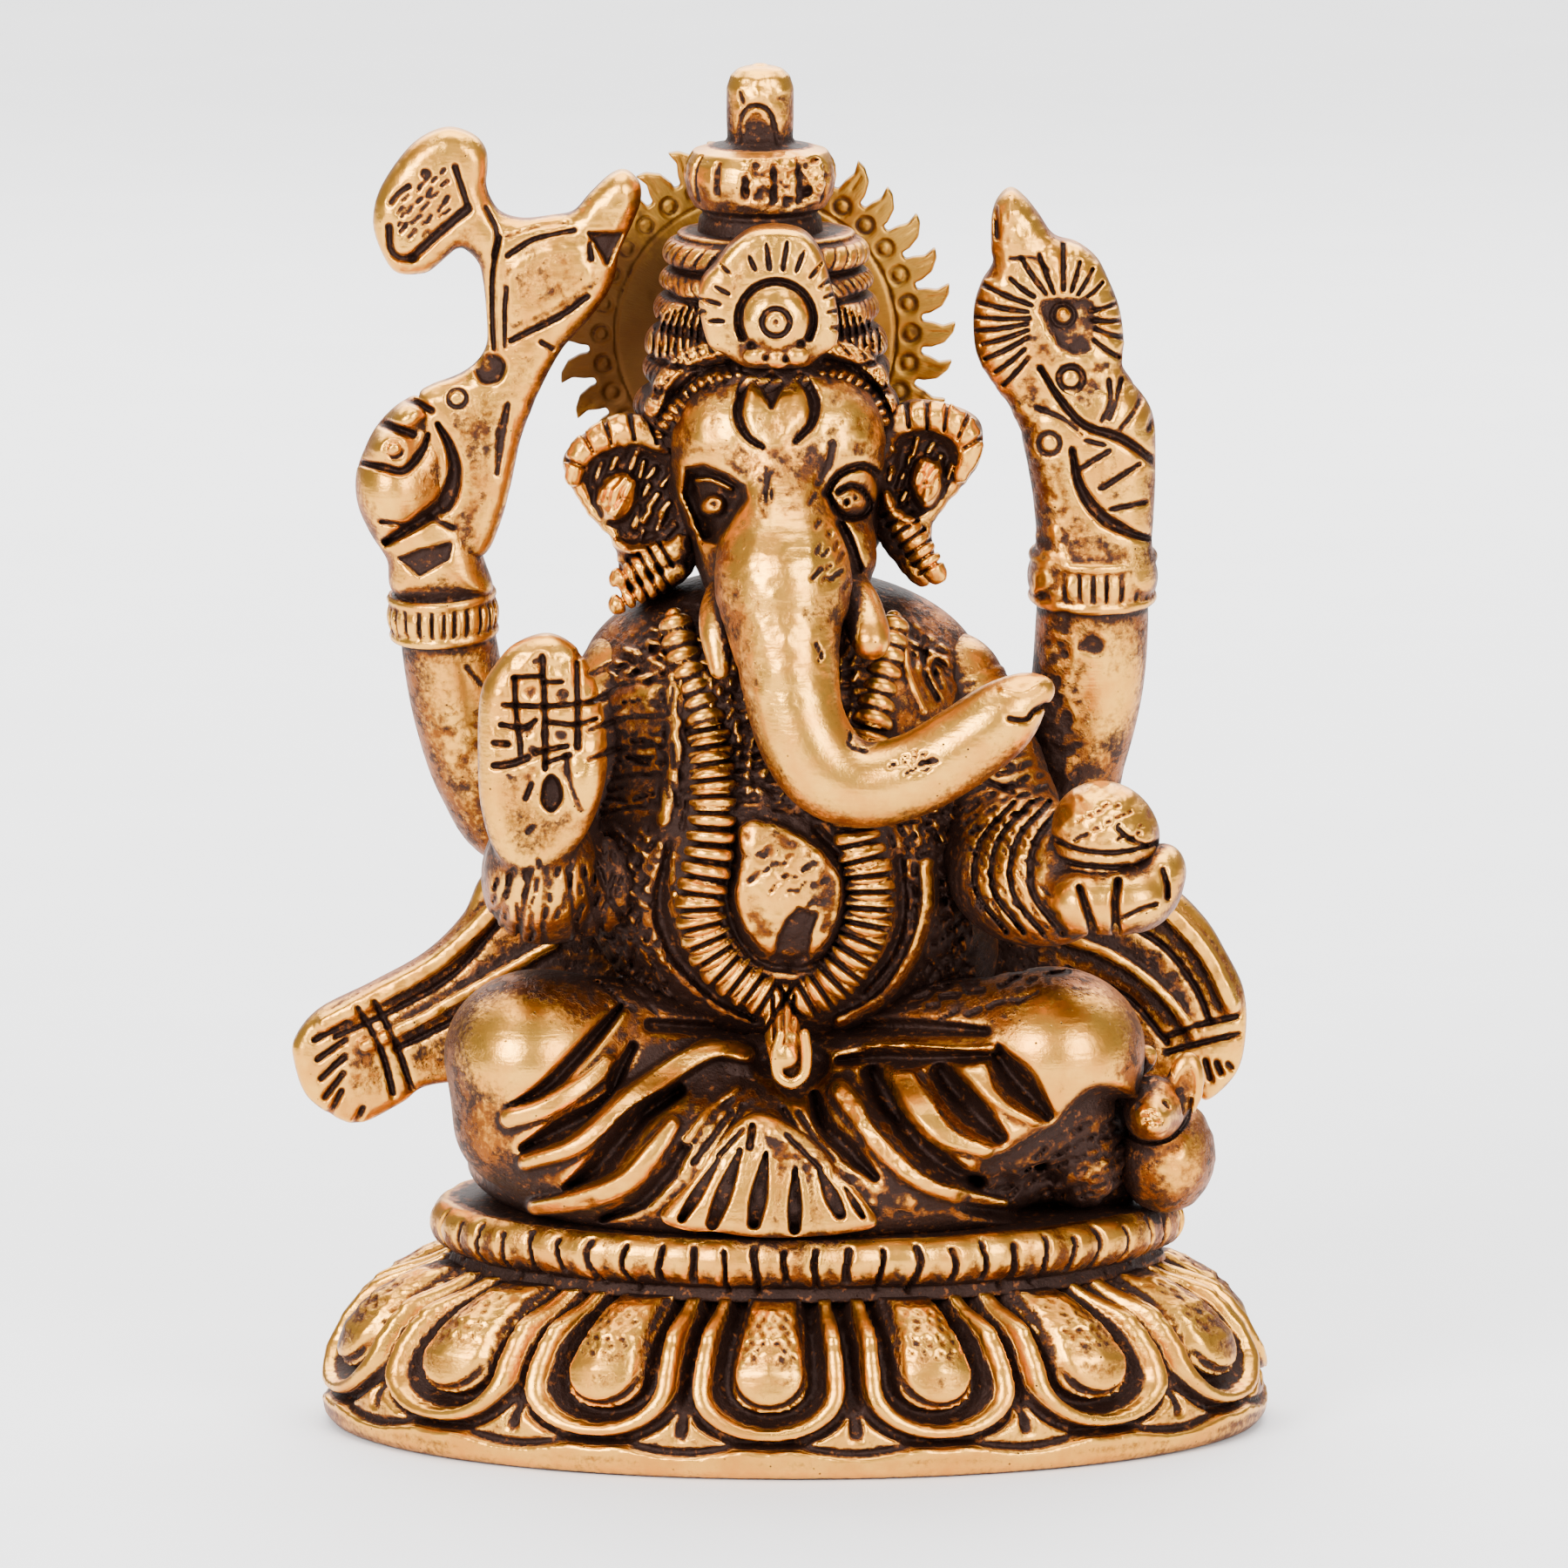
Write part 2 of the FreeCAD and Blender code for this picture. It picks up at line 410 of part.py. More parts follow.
def lotus_base():
    """The hollow pedestal: a domed oval with fourteen raised petals and a screw boss in its roof."""
    long_, deep, tall = cell("base_half_length"), cell("base_half_depth"), cell("base_height")
    shell = oval_stack("pedestal", [(f"{long_} - 0.7", f"{deep} - 0.5", "0"), (long_, deep, "1.6"),
                                    (f"{long_} - 0.9", f"{deep} - 0.7", "4.6"),
                                    (f"{long_} - 3.1", f"{deep} - 2.2", "8.0"),
                                    (f"{long_} - 7.6", f"{deep} - 4.8", tall)])
    wall = cell("base_wall")
    hollow = oval_stack("hollow", [(f"{long_} - {wall} - 0.7", f"{deep} - {wall} - 0.5", "-1"),
                                   (f"{long_} - {wall} - 1.2", f"{deep} - {wall} - 0.8", "4.0"),
                                   (f"{long_} - {wall} - 6.0", f"{deep} - {wall} - 3.6", cell("cavity_height"))])
    boss = upright("boss", cell("boss_radius"), cell("boss_foot"), "8")
    bore = upright("bore_base", f"{cell('screw_radius')} + {cell('screw_clearance')}", "-1", "14")
    petals = []
    a, b = size("base_half_length") - 0.9, size("base_half_depth") - 0.7
    for k, t in enumerate(oval_points(a, b, 14, -math.pi / 2 - 0.06)):
        petal = doc.addObject("Part::Ellipsoid", f"petal_{k}")
        bind(petal, Radius1=f"{cell('base_height')} * 0.36", Radius2=f"{cell('petal_rise')} + 1.0",
             Radius3=f"{long_} * 0.15")
        petal.Angle1 = -90
        petal.Angle2 = 90
        petal.Angle3 = 360
        facing = math.degrees(math.atan2(math.sin(t) / b, math.cos(t) / a))
        tilt = Rotation(Vector(0, 0, 1), facing).multiply(Rotation(Vector(0, 1, 0), -18))
        petal.Placement = Placement(Vector((a - 1.0) * math.cos(t), (b - 1.0) * math.sin(t), 5.4), tilt)
        petals.append(petal)
    outside = fuse("pedestal_with_petals", [shell] + petals)
    inside = fuse("pedestal_inside", [cut("hollow_round_boss", hollow, [boss]), bore])
    return outside, cut("lotus_base", outside, [inside])


def seat_rim():
    """The plinth under the seat, its edge notched all round."""
    long_, deep, foot = cell("rim_half_length"), cell("rim_half_depth"), cell("base_height")
    high = f"{foot} + {cell('rim_height')}"
    shift = cell("rim_shift")
    plinth = oval_stack("plinth", [(f"{long_} - 1.2", f"{deep} - 1.2", foot), (long_, deep, f"{foot} + 1.1"),
                                   (long_, deep, f"{foot} + 2.8"), (f"{long_} - 0.9", f"{deep} - 0.9", high)], shift)
    a, b = size("rim_half_length"), size("rim_half_depth")
    notches = []
    for k, t in enumerate(oval_points(a, b, 58, 0.0)):
        notch = doc.addObject("Part::Cylinder", f"notch_{k}")
        bind(notch, Radius="0.45", Height=f"{cell('rim_height')} + 2")
        notch.Placement = Placement(Vector(size("rim_shift") + (a + 0.12) * math.cos(t), (b + 0.12) * math.sin(t),
                                           size("base_height") - 1), Rotation())
        notches.append(notch)
    bore = upright("bore_rim", f"{cell('screw_radius')} + {cell('screw_clearance')}", "9", "8")
    return plinth, cut("seat_rim", plinth, notches + [bore, rod("socket", "mouse_peg", "0.05", 0.15)])


def base_screw():
    """The slotted screw that clamps pedestal, plinth and legs."""
    head_top = f"{cell('boss_foot')} - {cell('washer_thickness')}"
    foot = size("boss_foot") - size("washer_thickness") - size("screw_head_height")
    body = doc.addObject("PartDesign::Body", "screw_body")
    sketch = plane_sketch(body, "screw_head_outline", "XY_Plane", foot)
    sketch.setExpression("AttachmentOffset.Base.z", f"{head_top} - {cell('screw_head_height')}")
    sketch.addGeometry(Part.Circle(Vector(0, 0, 0), Vector(0, 0, 1), 3.4), False)
    sketch.addConstraint(Sketcher.Constraint("Coincident", 0, 3, -1, 1))
    sketch.addConstraint(Sketcher.Constraint("Radius", 0, 3.4))
    sketch.setExpression("Constraints[1]", cell("screw_head_radius"))
    head = body.newObject("PartDesign::Pad", "screw_head")
    head.Profile = sketch
    head.setExpression("Length", cell("screw_head_height"))
    shank_sketch = plane_sketch(body, "screw_shank_outline", "XY_Plane", foot)
    shank_sketch.setExpression("AttachmentOffset.Base.z", f"{head_top} - {cell('screw_head_height')}")
    shank_sketch.addGeometry(Part.Circle(Vector(0, 0, 0), Vector(0, 0, 1), 2.0), False)
    shank_sketch.addConstraint(Sketcher.Constraint("Coincident", 0, 3, -1, 1))
    shank_sketch.addConstraint(Sketcher.Constraint("Radius", 0, 2.0))
    shank_sketch.setExpression("Constraints[1]", cell("screw_radius"))
    shank = body.newObject("PartDesign::Pad", "screw_shank")
    shank.Profile = shank_sketch
    shank.setExpression("Length", f"{cell('screw_head_height')} + {cell('screw_length')}")
    slot_sketch = plane_sketch(body, "slot_outline", "XY_Plane", foot)
    slot_sketch.setExpression("AttachmentOffset.Base.z", f"{head_top} - {cell('screw_head_height')}")
    wide, half = 5.0, size("slot_width") / 2
    corners = [Vector(-wide, -half, 0), Vector(wide, -half, 0), Vector(wide, half, 0), Vector(-wide, half, 0)]
    for i in range(4):
        slot_sketch.addGeometry(Part.LineSegment(corners[i], corners[(i + 1) % 4]), False)
    for i in range(4):
        slot_sketch.addConstraint(Sketcher.Constraint("Coincident", i, 2, (i + 1) % 4, 1))
    slot = body.newObject("PartDesign::Pocket", "slot")
    slot.Profile = slot_sketch
    slot.Reversed = True
    slot.setExpression("Length", cell("slot_depth"))
    body.Tip = slot
    return body


def base_washer():
    """A plain washer between the screw's head and the boss."""
    body = doc.addObject("PartDesign::Body", "washer_body")
    foot = f"{cell('boss_foot')} - {cell('washer_thickness')}"
    sketch = plane_sketch(body, "washer_outline", "XY_Plane", size("boss_foot") - size("washer_thickness"))
    sketch.setExpression("AttachmentOffset.Base.z", foot)
    for i, (alias, extra) in enumerate((("washer_radius", ""), ("screw_radius", " + 0.15"))):
        sketch.addGeometry(Part.Circle(Vector(0, 0, 0), Vector(0, 0, 1), size(alias) + 0.15 * i), False)
        sketch.addConstraint(Sketcher.Constraint("Coincident", i, 3, -1, 1))
        radius = sketch.addConstraint(Sketcher.Constraint("Radius", i, size(alias) + 0.15 * i))
        sketch.setExpression(f"Constraints[{radius}]", cell(alias) + extra)
    pad = body.newObject("PartDesign::Pad", "washer_pad")
    pad.Profile = sketch
    pad.setExpression("Length", cell("washer_thickness"))
    body.Tip = pad
    return body


# ---------------------------------------------------------------- crown, finial, halo and rivet

def crown_turning():
    """The tall crown: a rolled foot, a waist and a rolled shoulder, turned about its axis."""
    foot, top = size("crown_foot"), size("crown_top")
    profile = [(0, foot - 1.4), (7.6, foot - 1.4), (8.2, foot - 0.6), (8.2, foot + 0.8), (7.8, foot + 1.4),
               (7.9, foot + 2.8), (7.5, foot + 3.6), (7.1, foot + 6.2), (6.6, foot + 8.2), (6.3, foot + 9.8),
               (6.2, top - 1.0), (5.7, top), (0, top)]
    return turning("crown", profile, cell("crown_x"), cell("crown_y"))


def crown_finial():
    """The pot and bud on top of the crown, with its peg."""
    foot, top = size("crown_top"), size("crown_top") + size("pot_height")
    pot, knob, tall = size("pot_radius"), size("knob_radius"), size("knob_height")
    profile = [(0, foot), (pot - 0.9, foot), (pot - 0.7, foot + 1.0), (pot - 0.2, foot + 1.5), (pot, foot + 2.6),
               (pot - 0.1, foot + 4.4), (pot - 0.9, top - 0.2), (knob - 0.3, top), (knob - 0.2, top + 0.6),
               (knob, top + 1.6), (knob - 0.1, top + 3.0), (knob - 0.6, top + 4.4), (knob - 1.3, top + 5.2),
               (0, top + tall)]
    turned = turning("finial", profile, cell("finial_x"), cell("crown_y"))
    return turned, fuse("crown_finial", [turned, rod("peg", "finial_peg")])


def halo():
    """The flat halo: a disc with a ring of leaning teeth, a ring of punched dots and a rivet hole."""
    body = doc.addObject("PartDesign::Body", "halo_body")
    front, thick = "halo_front", "halo_thickness"
    disc_sketch = plane_sketch(body, "disc_outline", "XZ_Plane", -size(front), front, -1)
    disc_sketch.addGeometry(Part.Circle(Vector(0, 0, 0), Vector(0, 0, 1), size("halo_radius")), False)
    disc_sketch.addConstraint(Sketcher.Constraint("Coincident", 0, 3, -1, 1))
    disc_sketch.addConstraint(Sketcher.Constraint("Radius", 0, size("halo_radius")))
    disc_sketch.setExpression("Constraints[1]", cell("halo_radius"))
    disc = body.newObject("PartDesign::Pad", "disc")
    disc.Profile = disc_sketch
    disc.Reversed = True
    disc.setExpression("Length", cell(thick))
    tooth_sketch = plane_sketch(body, "tooth_outline", "XZ_Plane", -size(front), front, -1)
    radius, half, lean = size("halo_radius"), size("tooth_half_width"), size("tooth_lean")
    corners = [Vector(-half, radius - 0.6, 0), Vector(half, radius - 0.6, 0), Vector(half, radius + 0.7, 0),
               Vector(-lean, radius + size("tooth_length"), 0), Vector(-half, radius + 0.9, 0)]
    count = len(corners)
    for i in range(count):
        tooth_sketch.addGeometry(Part.LineSegment(corners[i], corners[(i + 1) % count]), False)
    for i in range(count):
        tooth_sketch.addConstraint(Sketcher.Constraint("Coincident", i, 2, (i + 1) % count, 1))
    tooth = body.newObject("PartDesign::Pad", "tooth")
    tooth.Profile = tooth_sketch
    tooth.Reversed = True
    tooth.setExpression("Length", cell(thick))
    teeth = body.newObject("PartDesign::PolarPattern", "teeth")
    teeth.Originals = [tooth]
    teeth.Axis = (disc_sketch, ["N_Axis"])
    teeth.Angle = 360
    teeth.setExpression("Occurrences", cell("halo_teeth"))
    body.Tip = teeth
    hole_sketch = plane_sketch(body, "rivet_hole_outline", "XZ_Plane", -size(front), front, -1)
    hole_sketch.addGeometry(Part.Circle(Vector(0, 0, 0), Vector(0, 0, 1), 1.25), False)
    hole_sketch.addConstraint(Sketcher.Constraint("Coincident", 0, 3, -1, 1))
    hole_sketch.addConstraint(Sketcher.Constraint("Radius", 0, 1.25))
    hole_sketch.setExpression("Constraints[1]", cell("rivet_radius") + " + 0.05")
    hole = body.newObject("PartDesign::Pocket", "rivet_hole")
    hole.Profile = hole_sketch
    hole.Type = "ThroughAll"
    hole.Midplane = True
    body.Tip = hole
    return bind(body, Placement__Base__z=cell("halo_z"))


def lying(name, radius, start, length):
    """A cylinder along +Y on the halo's axis."""
    solid = doc.addObject("Part::Cylinder", name)
    solid.Placement = Placement(Vector(0, 0, 0), Rotation(Vector(0, 0, 1), Vector(0, 1, 0)))
    return bind(solid, Radius=radius, Height=length, Placement__Base__x=cell("halo_x"),
                Placement__Base__y=start, Placement__Base__z=cell("halo_z"))


def halo_rivet():
    """The rivet through the halo into the crown's back."""
    back = f"{cell('halo_front')} + {cell('halo_thickness')}"
    shank = lying("rivet_shank", cell("rivet_radius"), f"{cell('halo_front')} - {cell('rivet_grip')}",
                  f"{cell('rivet_grip')} + {cell('halo_thickness')} + 0.3")
    head = doc.addObject("Part::Cone", "rivet_head")
    head.Placement = Placement(Vector(0, 0, 0), Rotation(Vector(0, 0, 1), Vector(0, 1, 0)))
    bind(head, Radius1=cell("rivet_head_radius"), Radius2=f"{cell('rivet_head_radius')} - 0.9",
         Height=cell("rivet_head_height"), Placement__Base__x=cell("halo_x"), Placement__Base__y=back,
         Placement__Base__z=cell("halo_z"))
    return fuse("halo_rivet", [shank, head])


def halo_pad():
    """The boss on the back of the crown that the halo lies against."""
    return lying("pad_behind_crown", "4.0", cell("crown_y"), f"{cell('halo_front')} - {cell('crown_y')}")


def halo_space():
    """Everything behind the halo's front face, which the crown is trimmed back from."""
    block = doc.addObject("Part::Box", "space_behind_halo")
    return bind(block, Length="40", Width="20", Height="40", Placement__Base__x="-20",
                Placement__Base__y=cell("halo_front"), Placement__Base__z="50")


# ---------------------------------------------------------------- assembly

PLATES = {
    "shawl_right": ("shawl_front", "shawl_thickness", True),
    "shawl_left": ("shawl_front", "shawl_thickness", True),
    "ear_right": ("ear_front", "ear_thickness", True),
    "ear_left": ("ear_front", "ear_thickness", True),
    "palm": ("palm_front", "palm_thickness", True),
    "axe": ("axe_front", "axe_thickness", False),
    "crown_plate": ("plate_front", "plate_thickness", False),
    "pleats": ("pleat_front", "pleat_depth", False),
}

fill_sheet()
raw = {}
finished = {}
raw["lotus_base"], finished["lotus_base"] = lotus_base()
raw["seat_rim"], finished["seat_rim"] = seat_rim()
finished["base_screw"] = base_screw()
finished["base_washer"] = base_washer()
raw["halo_space"] = halo_space()


def solid_of(name):
    """The plain solid with this name, whichever table it is in."""
    if name in OVALS:
        return oval(name)
    if name in LIMBS:
        return limb(name)
    if name in BANDS:
        return rod("band", name)
    if name in PLATES:
        return plate(name, *PLATES[name])
    return {"crown_turning": crown_turning, "halo_pad": halo_pad}[name]()


def drilled_hole(name):
    """What is taken out for a peg or for the screw and rivet."""
    if name == "halo_rivet_hole":
        return lying("rivet_hole_crown", cell("rivet_radius") + " + 0.05",
                     f"{cell('halo_front')} - {cell('rivet_grip')} - 0.15", f"{cell('rivet_grip')} + 5")
    return rod("socket", name, "0.05", 0.15)


for node, (solids, seated_on, own_pegs, drilled_for) in CASTINGS.items():
    raw[node] = fuse("whole_" + node, [solid_of(name) for name in solids])
    seated = cut("seated_" + node, raw[node], [raw[other] for other in seated_on])
    pegged = fuse("pegged_" + node, [seated] + [rod("peg", name) for name in own_pegs])
    holes = [drilled_hole(name) for name in drilled_for]
    if node == "folded_legs":
        holes.append(upright("screw_thread_hole", cell("screw_radius") + " + 0.05", "12", "7"))
    finished[node] = cut("drilled_" + node, pegged, holes)

raw["crown_finial"], finished["crown_finial"] = crown_finial()
finished["halo_disc"] = halo()
finished["halo_rivet"] = halo_rivet()

# The whole figure is moved sideways so that the origin is the middle of its footprint.
for node, thing in finished.items():
    own = cell("halo_x") + " + " if node == "halo_disc" else ""
    bind(thing, Placement__Base__x=own + cell("frame_shift"))
    thing.Label = node

doc.recompute()

# ---------------------------------------------------------------- check and export

for thing in doc.Objects:
    state = [word for word in thing.State if word in ("Invalid", "Error")]
    if state:
        raise RuntimeError(f"{thing.Name}: {state}")

os.makedirs("parts", exist_ok=True)
for node, thing in finished.items():
    shape = thing.Shape
    if shape.isNull() or not shape.isValid():
        raise RuntimeError(f"{node}: no valid shape")
    shape.exportStep(f"parts/{node}.step")
    box = shape.BoundBox
    print(f"{node:18s} solids {len(shape.Solids)} volume {shape.Volume:9.1f}  "
          f"x {box.XMin:6.1f} {box.XMax:6.1f}  y {box.YMin:6.1f} {box.YMax:6.1f}  z {box.ZMin:6.1f} {box.ZMax:6.1f}")
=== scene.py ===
import math

import bpy
import numpy as np
import openvdb
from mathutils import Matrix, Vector


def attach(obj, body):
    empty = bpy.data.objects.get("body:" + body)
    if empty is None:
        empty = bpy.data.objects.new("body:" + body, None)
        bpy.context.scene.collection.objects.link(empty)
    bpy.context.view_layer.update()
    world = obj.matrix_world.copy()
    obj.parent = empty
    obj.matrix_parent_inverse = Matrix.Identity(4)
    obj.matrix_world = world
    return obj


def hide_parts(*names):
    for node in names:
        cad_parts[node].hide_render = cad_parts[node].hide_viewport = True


# The idol's castings are sculpted here as signed distances on blocks of sample points, in
# millimetres about the pedestal's centre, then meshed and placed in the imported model's frame.
# "Front" coordinates are (x, g), with g = z + TILT * y: what lines up when the figure is seen
# from its front and LOOK_DOWN above the level, which is how its relief was chased.

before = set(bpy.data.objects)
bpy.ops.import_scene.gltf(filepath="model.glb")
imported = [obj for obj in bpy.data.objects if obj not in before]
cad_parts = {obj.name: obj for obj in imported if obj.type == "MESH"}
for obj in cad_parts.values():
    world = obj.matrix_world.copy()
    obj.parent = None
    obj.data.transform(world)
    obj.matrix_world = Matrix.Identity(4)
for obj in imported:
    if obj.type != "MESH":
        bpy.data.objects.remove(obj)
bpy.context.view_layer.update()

MM = 0.001                        # one millimetre in the frame's metres
SHIFT = 1.1                       # the pedestal's centre, along the frame's X
LOOK_DOWN = math.radians(10.0)    # how far down the camera looks
TILT = math.tan(LOOK_DOWN)
FAR = 4.0                         # the distance held by samples that are far from metal
HALO_X, HALO_Z = -2.6, 71.2       # the middle of the halo, and of its pad on the crown
f32 = np.float32


# ---------------------------------------------------------------- small helpers

def smooth(lo, hi, v):
    """A smooth step from 0 at lo to 1 at hi."""
    t = np.clip((v - lo) / (hi - lo), 0.0, 1.0)
    return t * t * (3.0 - 2.0 * t)


def bump(v, half):
    """A rounded hump: 1 where v is 0, falling to 0 where it is half either way."""
    return np.clip(1.0 - (v / half) ** 2, 0.0, 1.0)


def up(x, g, y):
    """The point at depth y that lines up with front coordinates (x, g)."""
    return (x, y, g - TILT * y)


def ups(points, y):
    """Front coordinates turned into x-z points at depth y."""
    return [(x, g - TILT * y) for x, g in points]


def curve(points, closed=False, step=0.35):
    """A Catmull-Rom curve through the points, sampled about every step millimetres."""
    p = np.array(points, float)
    n = len(p)
    if closed:
        ring = [(p[(i - 1) % n], p[i], p[(i + 1) % n], p[(i + 2) % n]) for i in range(n)]
    else:
        q = np.vstack([2 * p[0] - p[1], p, 2 * p[-1] - p[-2]])
        ring = [(q[i], q[i + 1], q[i + 2], q[i + 3]) for i in range(n - 1)]
    out = []
    for a, b, c, d in ring:
        count = max(2, int(math.ceil(np.linalg.norm((c - b)[:3]) / step)))
        for k in range(count):
            t = k / count
            out.append(0.5 * ((2 * b) + (c - a) * t + (2 * a - 5 * b + 4 * c - d) * t * t
                              + (3 * b - a - 3 * c + d) * t ** 3))
    if not closed:
        out.append(p[-1])
    return np.array(out)


# ---------------------------------------------------------------- blocks of distance

class Block:
    """A box of sample points with a signed distance at each, negative inside the metal."""

    def __init__(self, lo, hi, step):
        self.step = step
        self.lo = np.array(lo, float)
        self.axes = [np.arange(a, b + step, step).astype(f32) for a, b in zip(lo, hi)]
        self.f = np.full([len(a) for a in self.axes], FAR, f32)

    def part(self, lo, hi, reach):
        """The slices and open coordinate grids within reach of a box, or None."""
        cuts = []
        for axis, a, b in zip(self.axes, lo, hi):
            i = int(np.searchsorted(axis, a - reach))
            j = int(np.searchsorted(axis, b + reach, "right"))
            if j <= i:
                return None
            cuts.append(slice(i, j))
        x = self.axes[0][cuts[0]][:, None, None]
        y = self.axes[1][cuts[1]][None, :, None]
        z = self.axes[2][cuts[2]][None, None, :]
        return tuple(cuts), x, y, z

    def grids(self):
        """The whole block's open coordinate grids."""
        x, y, z = self.axes
        return x[:, None, None], y[None, :, None], z[None, None, :]


def blend_min(a, b, k):
    """The union of two distances, filleted over about k."""
    if k <= 0:
        return np.minimum(a, b)
    h = np.clip(0.5 + 0.5 * (b - a) / k, 0.0, 1.0)
    return b + (a - b) * h - k * h * (1.0 - h)


def turn_matrix(turn):
    """A rotation from degrees about x, y and z, applied in that order."""
    m = np.eye(3)
    for axis, degrees in zip(range(3), turn):
        c, s = math.cos(math.radians(degrees)), math.sin(math.radians(degrees))
        r = np.eye(3)
        i, j = [(1, 2), (2, 0), (0, 1)][axis]
        r[i, i], r[j, j], r[i, j], r[j, i] = c, c, -s, s
        m = r @ m
    return m


def oval(centre, radii, turn=None):
    """An ellipsoid."""
    c, r = np.array(centre, float), np.array(radii, float)
    m = turn_matrix(turn) if turn else None
    size = r if m is None else np.full(3, r.max())

    def field(block, reach):
        found = block.part(c - size, c + size, reach)
        if found is None:
            return None
        cuts, x, y, z = found
        px, py, pz = x - c[0], y - c[1], z - c[2]
        if m is not None:
            px, py, pz = (m[0, k] * px + m[1, k] * py + m[2, k] * pz for k in range(3))
        px, py, pz = px / r[0], py / r[1], pz / r[2]
        k0 = np.sqrt(px * px + py * py + pz * pz)
        k1 = np.sqrt((px / r[0]) ** 2 + (py / r[1]) ** 2 + (pz / r[2]) ** 2)
        return cuts, (k0 * (k0 - 1.0) / np.maximum(k1, 1e-4)).astype(f32)
    return field


def tube(stations, ripple=None, step=0.5):
    """A round limb through stations of x, y, z, radius. ripple = (pitch, height, sharpness) raises
    rings along it."""
    path = curve(stations, step=step)
    length = np.concatenate([[0.0], np.cumsum(np.linalg.norm(np.diff(path[:, :3], axis=0), axis=1))])

    def field(block, reach):
        r_max = path[:, 3].max()
        found = block.part(path[:, :3].min(0) - r_max, path[:, :3].max(0) + r_max, reach)
        if found is None:
            return None
        cuts = found[0]
        shape = [c.stop - c.start for c in cuts]
        best = np.full(shape, FAR, f32)
        along = np.zeros(shape, f32) if ripple else None
        base = [c.start for c in cuts]
        for i in range(len(path) - 1):
            a, b = path[i], path[i + 1]
            ra, rb = a[3], b[3]
            r = max(ra, rb)
            local = block.part(np.minimum(a[:3], b[:3]) - r, np.maximum(a[:3], b[:3]) + r, reach)
            if local is None:
                continue
            sub, x, y, z = local
            sub = tuple(slice(max(s.start - o, 0), min(s.stop - o, n)) for s, o, n in zip(sub, base, shape))
            x = block.axes[0][base[0] + sub[0].start:base[0] + sub[0].stop][:, None, None]
            y = block.axes[1][base[1] + sub[1].start:base[1] + sub[1].stop][None, :, None]
            z = block.axes[2][base[2] + sub[2].start:base[2] + sub[2].stop][None, None, :]
            v = b[:3] - a[:3]
            px, py, pz = x - a[0], y - a[1], z - a[2]
            t = np.clip((px * v[0] + py * v[1] + pz * v[2]) / max(v @ v, 1e-9), 0.0, 1.0)
            qx, qy, qz = px - v[0] * t, py - v[1] * t, pz - v[2] * t
            d = (np.sqrt(qx * qx + qy * qy + qz * qz) - (ra + (rb - ra) * t)).astype(f32)
            window = best[sub]
            if ripple:
                s = (length[i] + (length[i + 1] - length[i]) * t).astype(f32)
                along[sub] = np.where(d < window, s, along[sub])
            best[sub] = np.minimum(window, d)
        if ripple:
            pitch, height, sharp = ripple
            wave = np.abs(np.sin(np.pi * along / pitch))
            best = best + height * (1.0 - wave ** sharp) * (best > -3 * height)
        return cuts, best
    return field


def polygon_distance(points, x, z):
    """Signed distance in a plane to a closed outline, negative inside."""
    p = np.array(points, float)
    best = np.full(np.broadcast(x, z).shape, 1e9)
    inside = np.zeros(best.shape, bool)
    for a, b in zip(p, np.roll(p, -1, axis=0)):
        v = b - a
        t = np.clip(((x - a[0]) * v[0] + (z - a[1]) * v[1]) / max(v @ v, 1e-9), 0.0, 1.0)
        best = np.minimum(best, (x - a[0] - v[0] * t) ** 2 + (z - a[1] - v[1] * t) ** 2)
        if v[1] != 0:
            crosses = (z < max(a[1], b[1])) & (z >= min(a[1], b[1]))
            inside ^= crosses & (x < a[0] + (z - a[1]) * v[0] / v[1])
    return np.where(inside, -1.0, 1.0) * np.sqrt(best)


def slab(outline, front, back, edge=0.5, dome=0.0, slope=(0.0, 0.0)):
    """A flat piece standing in the x-z plane between two depths. edge rounds its rim, dome swells
    its faces towards the middle, and slope leans it: depth gained per mm of x and of z."""
    line = curve(outline, closed=True)
    middle, half = (front + back) / 2.0, (back - front) / 2.0
    x0, z0 = line.mean(0)
    lean = abs(slope[0]) * np.ptp(line[:, 0]) + abs(slope[1]) * np.ptp(line[:, 1])

    def field(block, reach):
        lo = (line[:, 0].min(), front - dome - lean, line[:, 1].min())
        hi = (line[:, 0].max(), back + dome + lean, line[:, 1].max())
        found = block.part(lo, hi, reach)
        if found is None:
            return None
        cuts, x, y, z = found
        flat = polygon_distance(line, x[:, 0], z[0])[:, None, :]
        swell = half + dome * (1.0 - np.exp(np.minimum(flat, 0.0) / 2.5))
        depth = np.abs(y - middle - slope[0] * (x - x0) - slope[1] * (z - z0)) - swell
        u, w = flat + edge, depth + edge
        corner = np.sqrt(np.maximum(u, 0.0) ** 2 + np.maximum(w, 0.0) ** 2)
        d = np.minimum(np.maximum(u, w), 0.0) + corner - edge
        return cuts, d.astype(f32)
    return field


def build(block, solids):
    """Joins the solids into the block in order. Each is (field, blend) or (field, blend, 'cut')."""
    for entry in solids:
        field, k = entry[0], entry[1]
        found = field(block, max(k, 0.0) + 1.2)
        if found is None:
            continue
        cuts, d = found
        here = block.f[cuts]
        if len(entry) > 2:
            block.f[cuts] = -blend_min(-here, d, k)
        else:
            block.f[cuts] = blend_min(here, d, k)


# ---------------------------------------------------------------- relief drawn from the front

UNTOUCHED = 9.0                   # higher than any relief


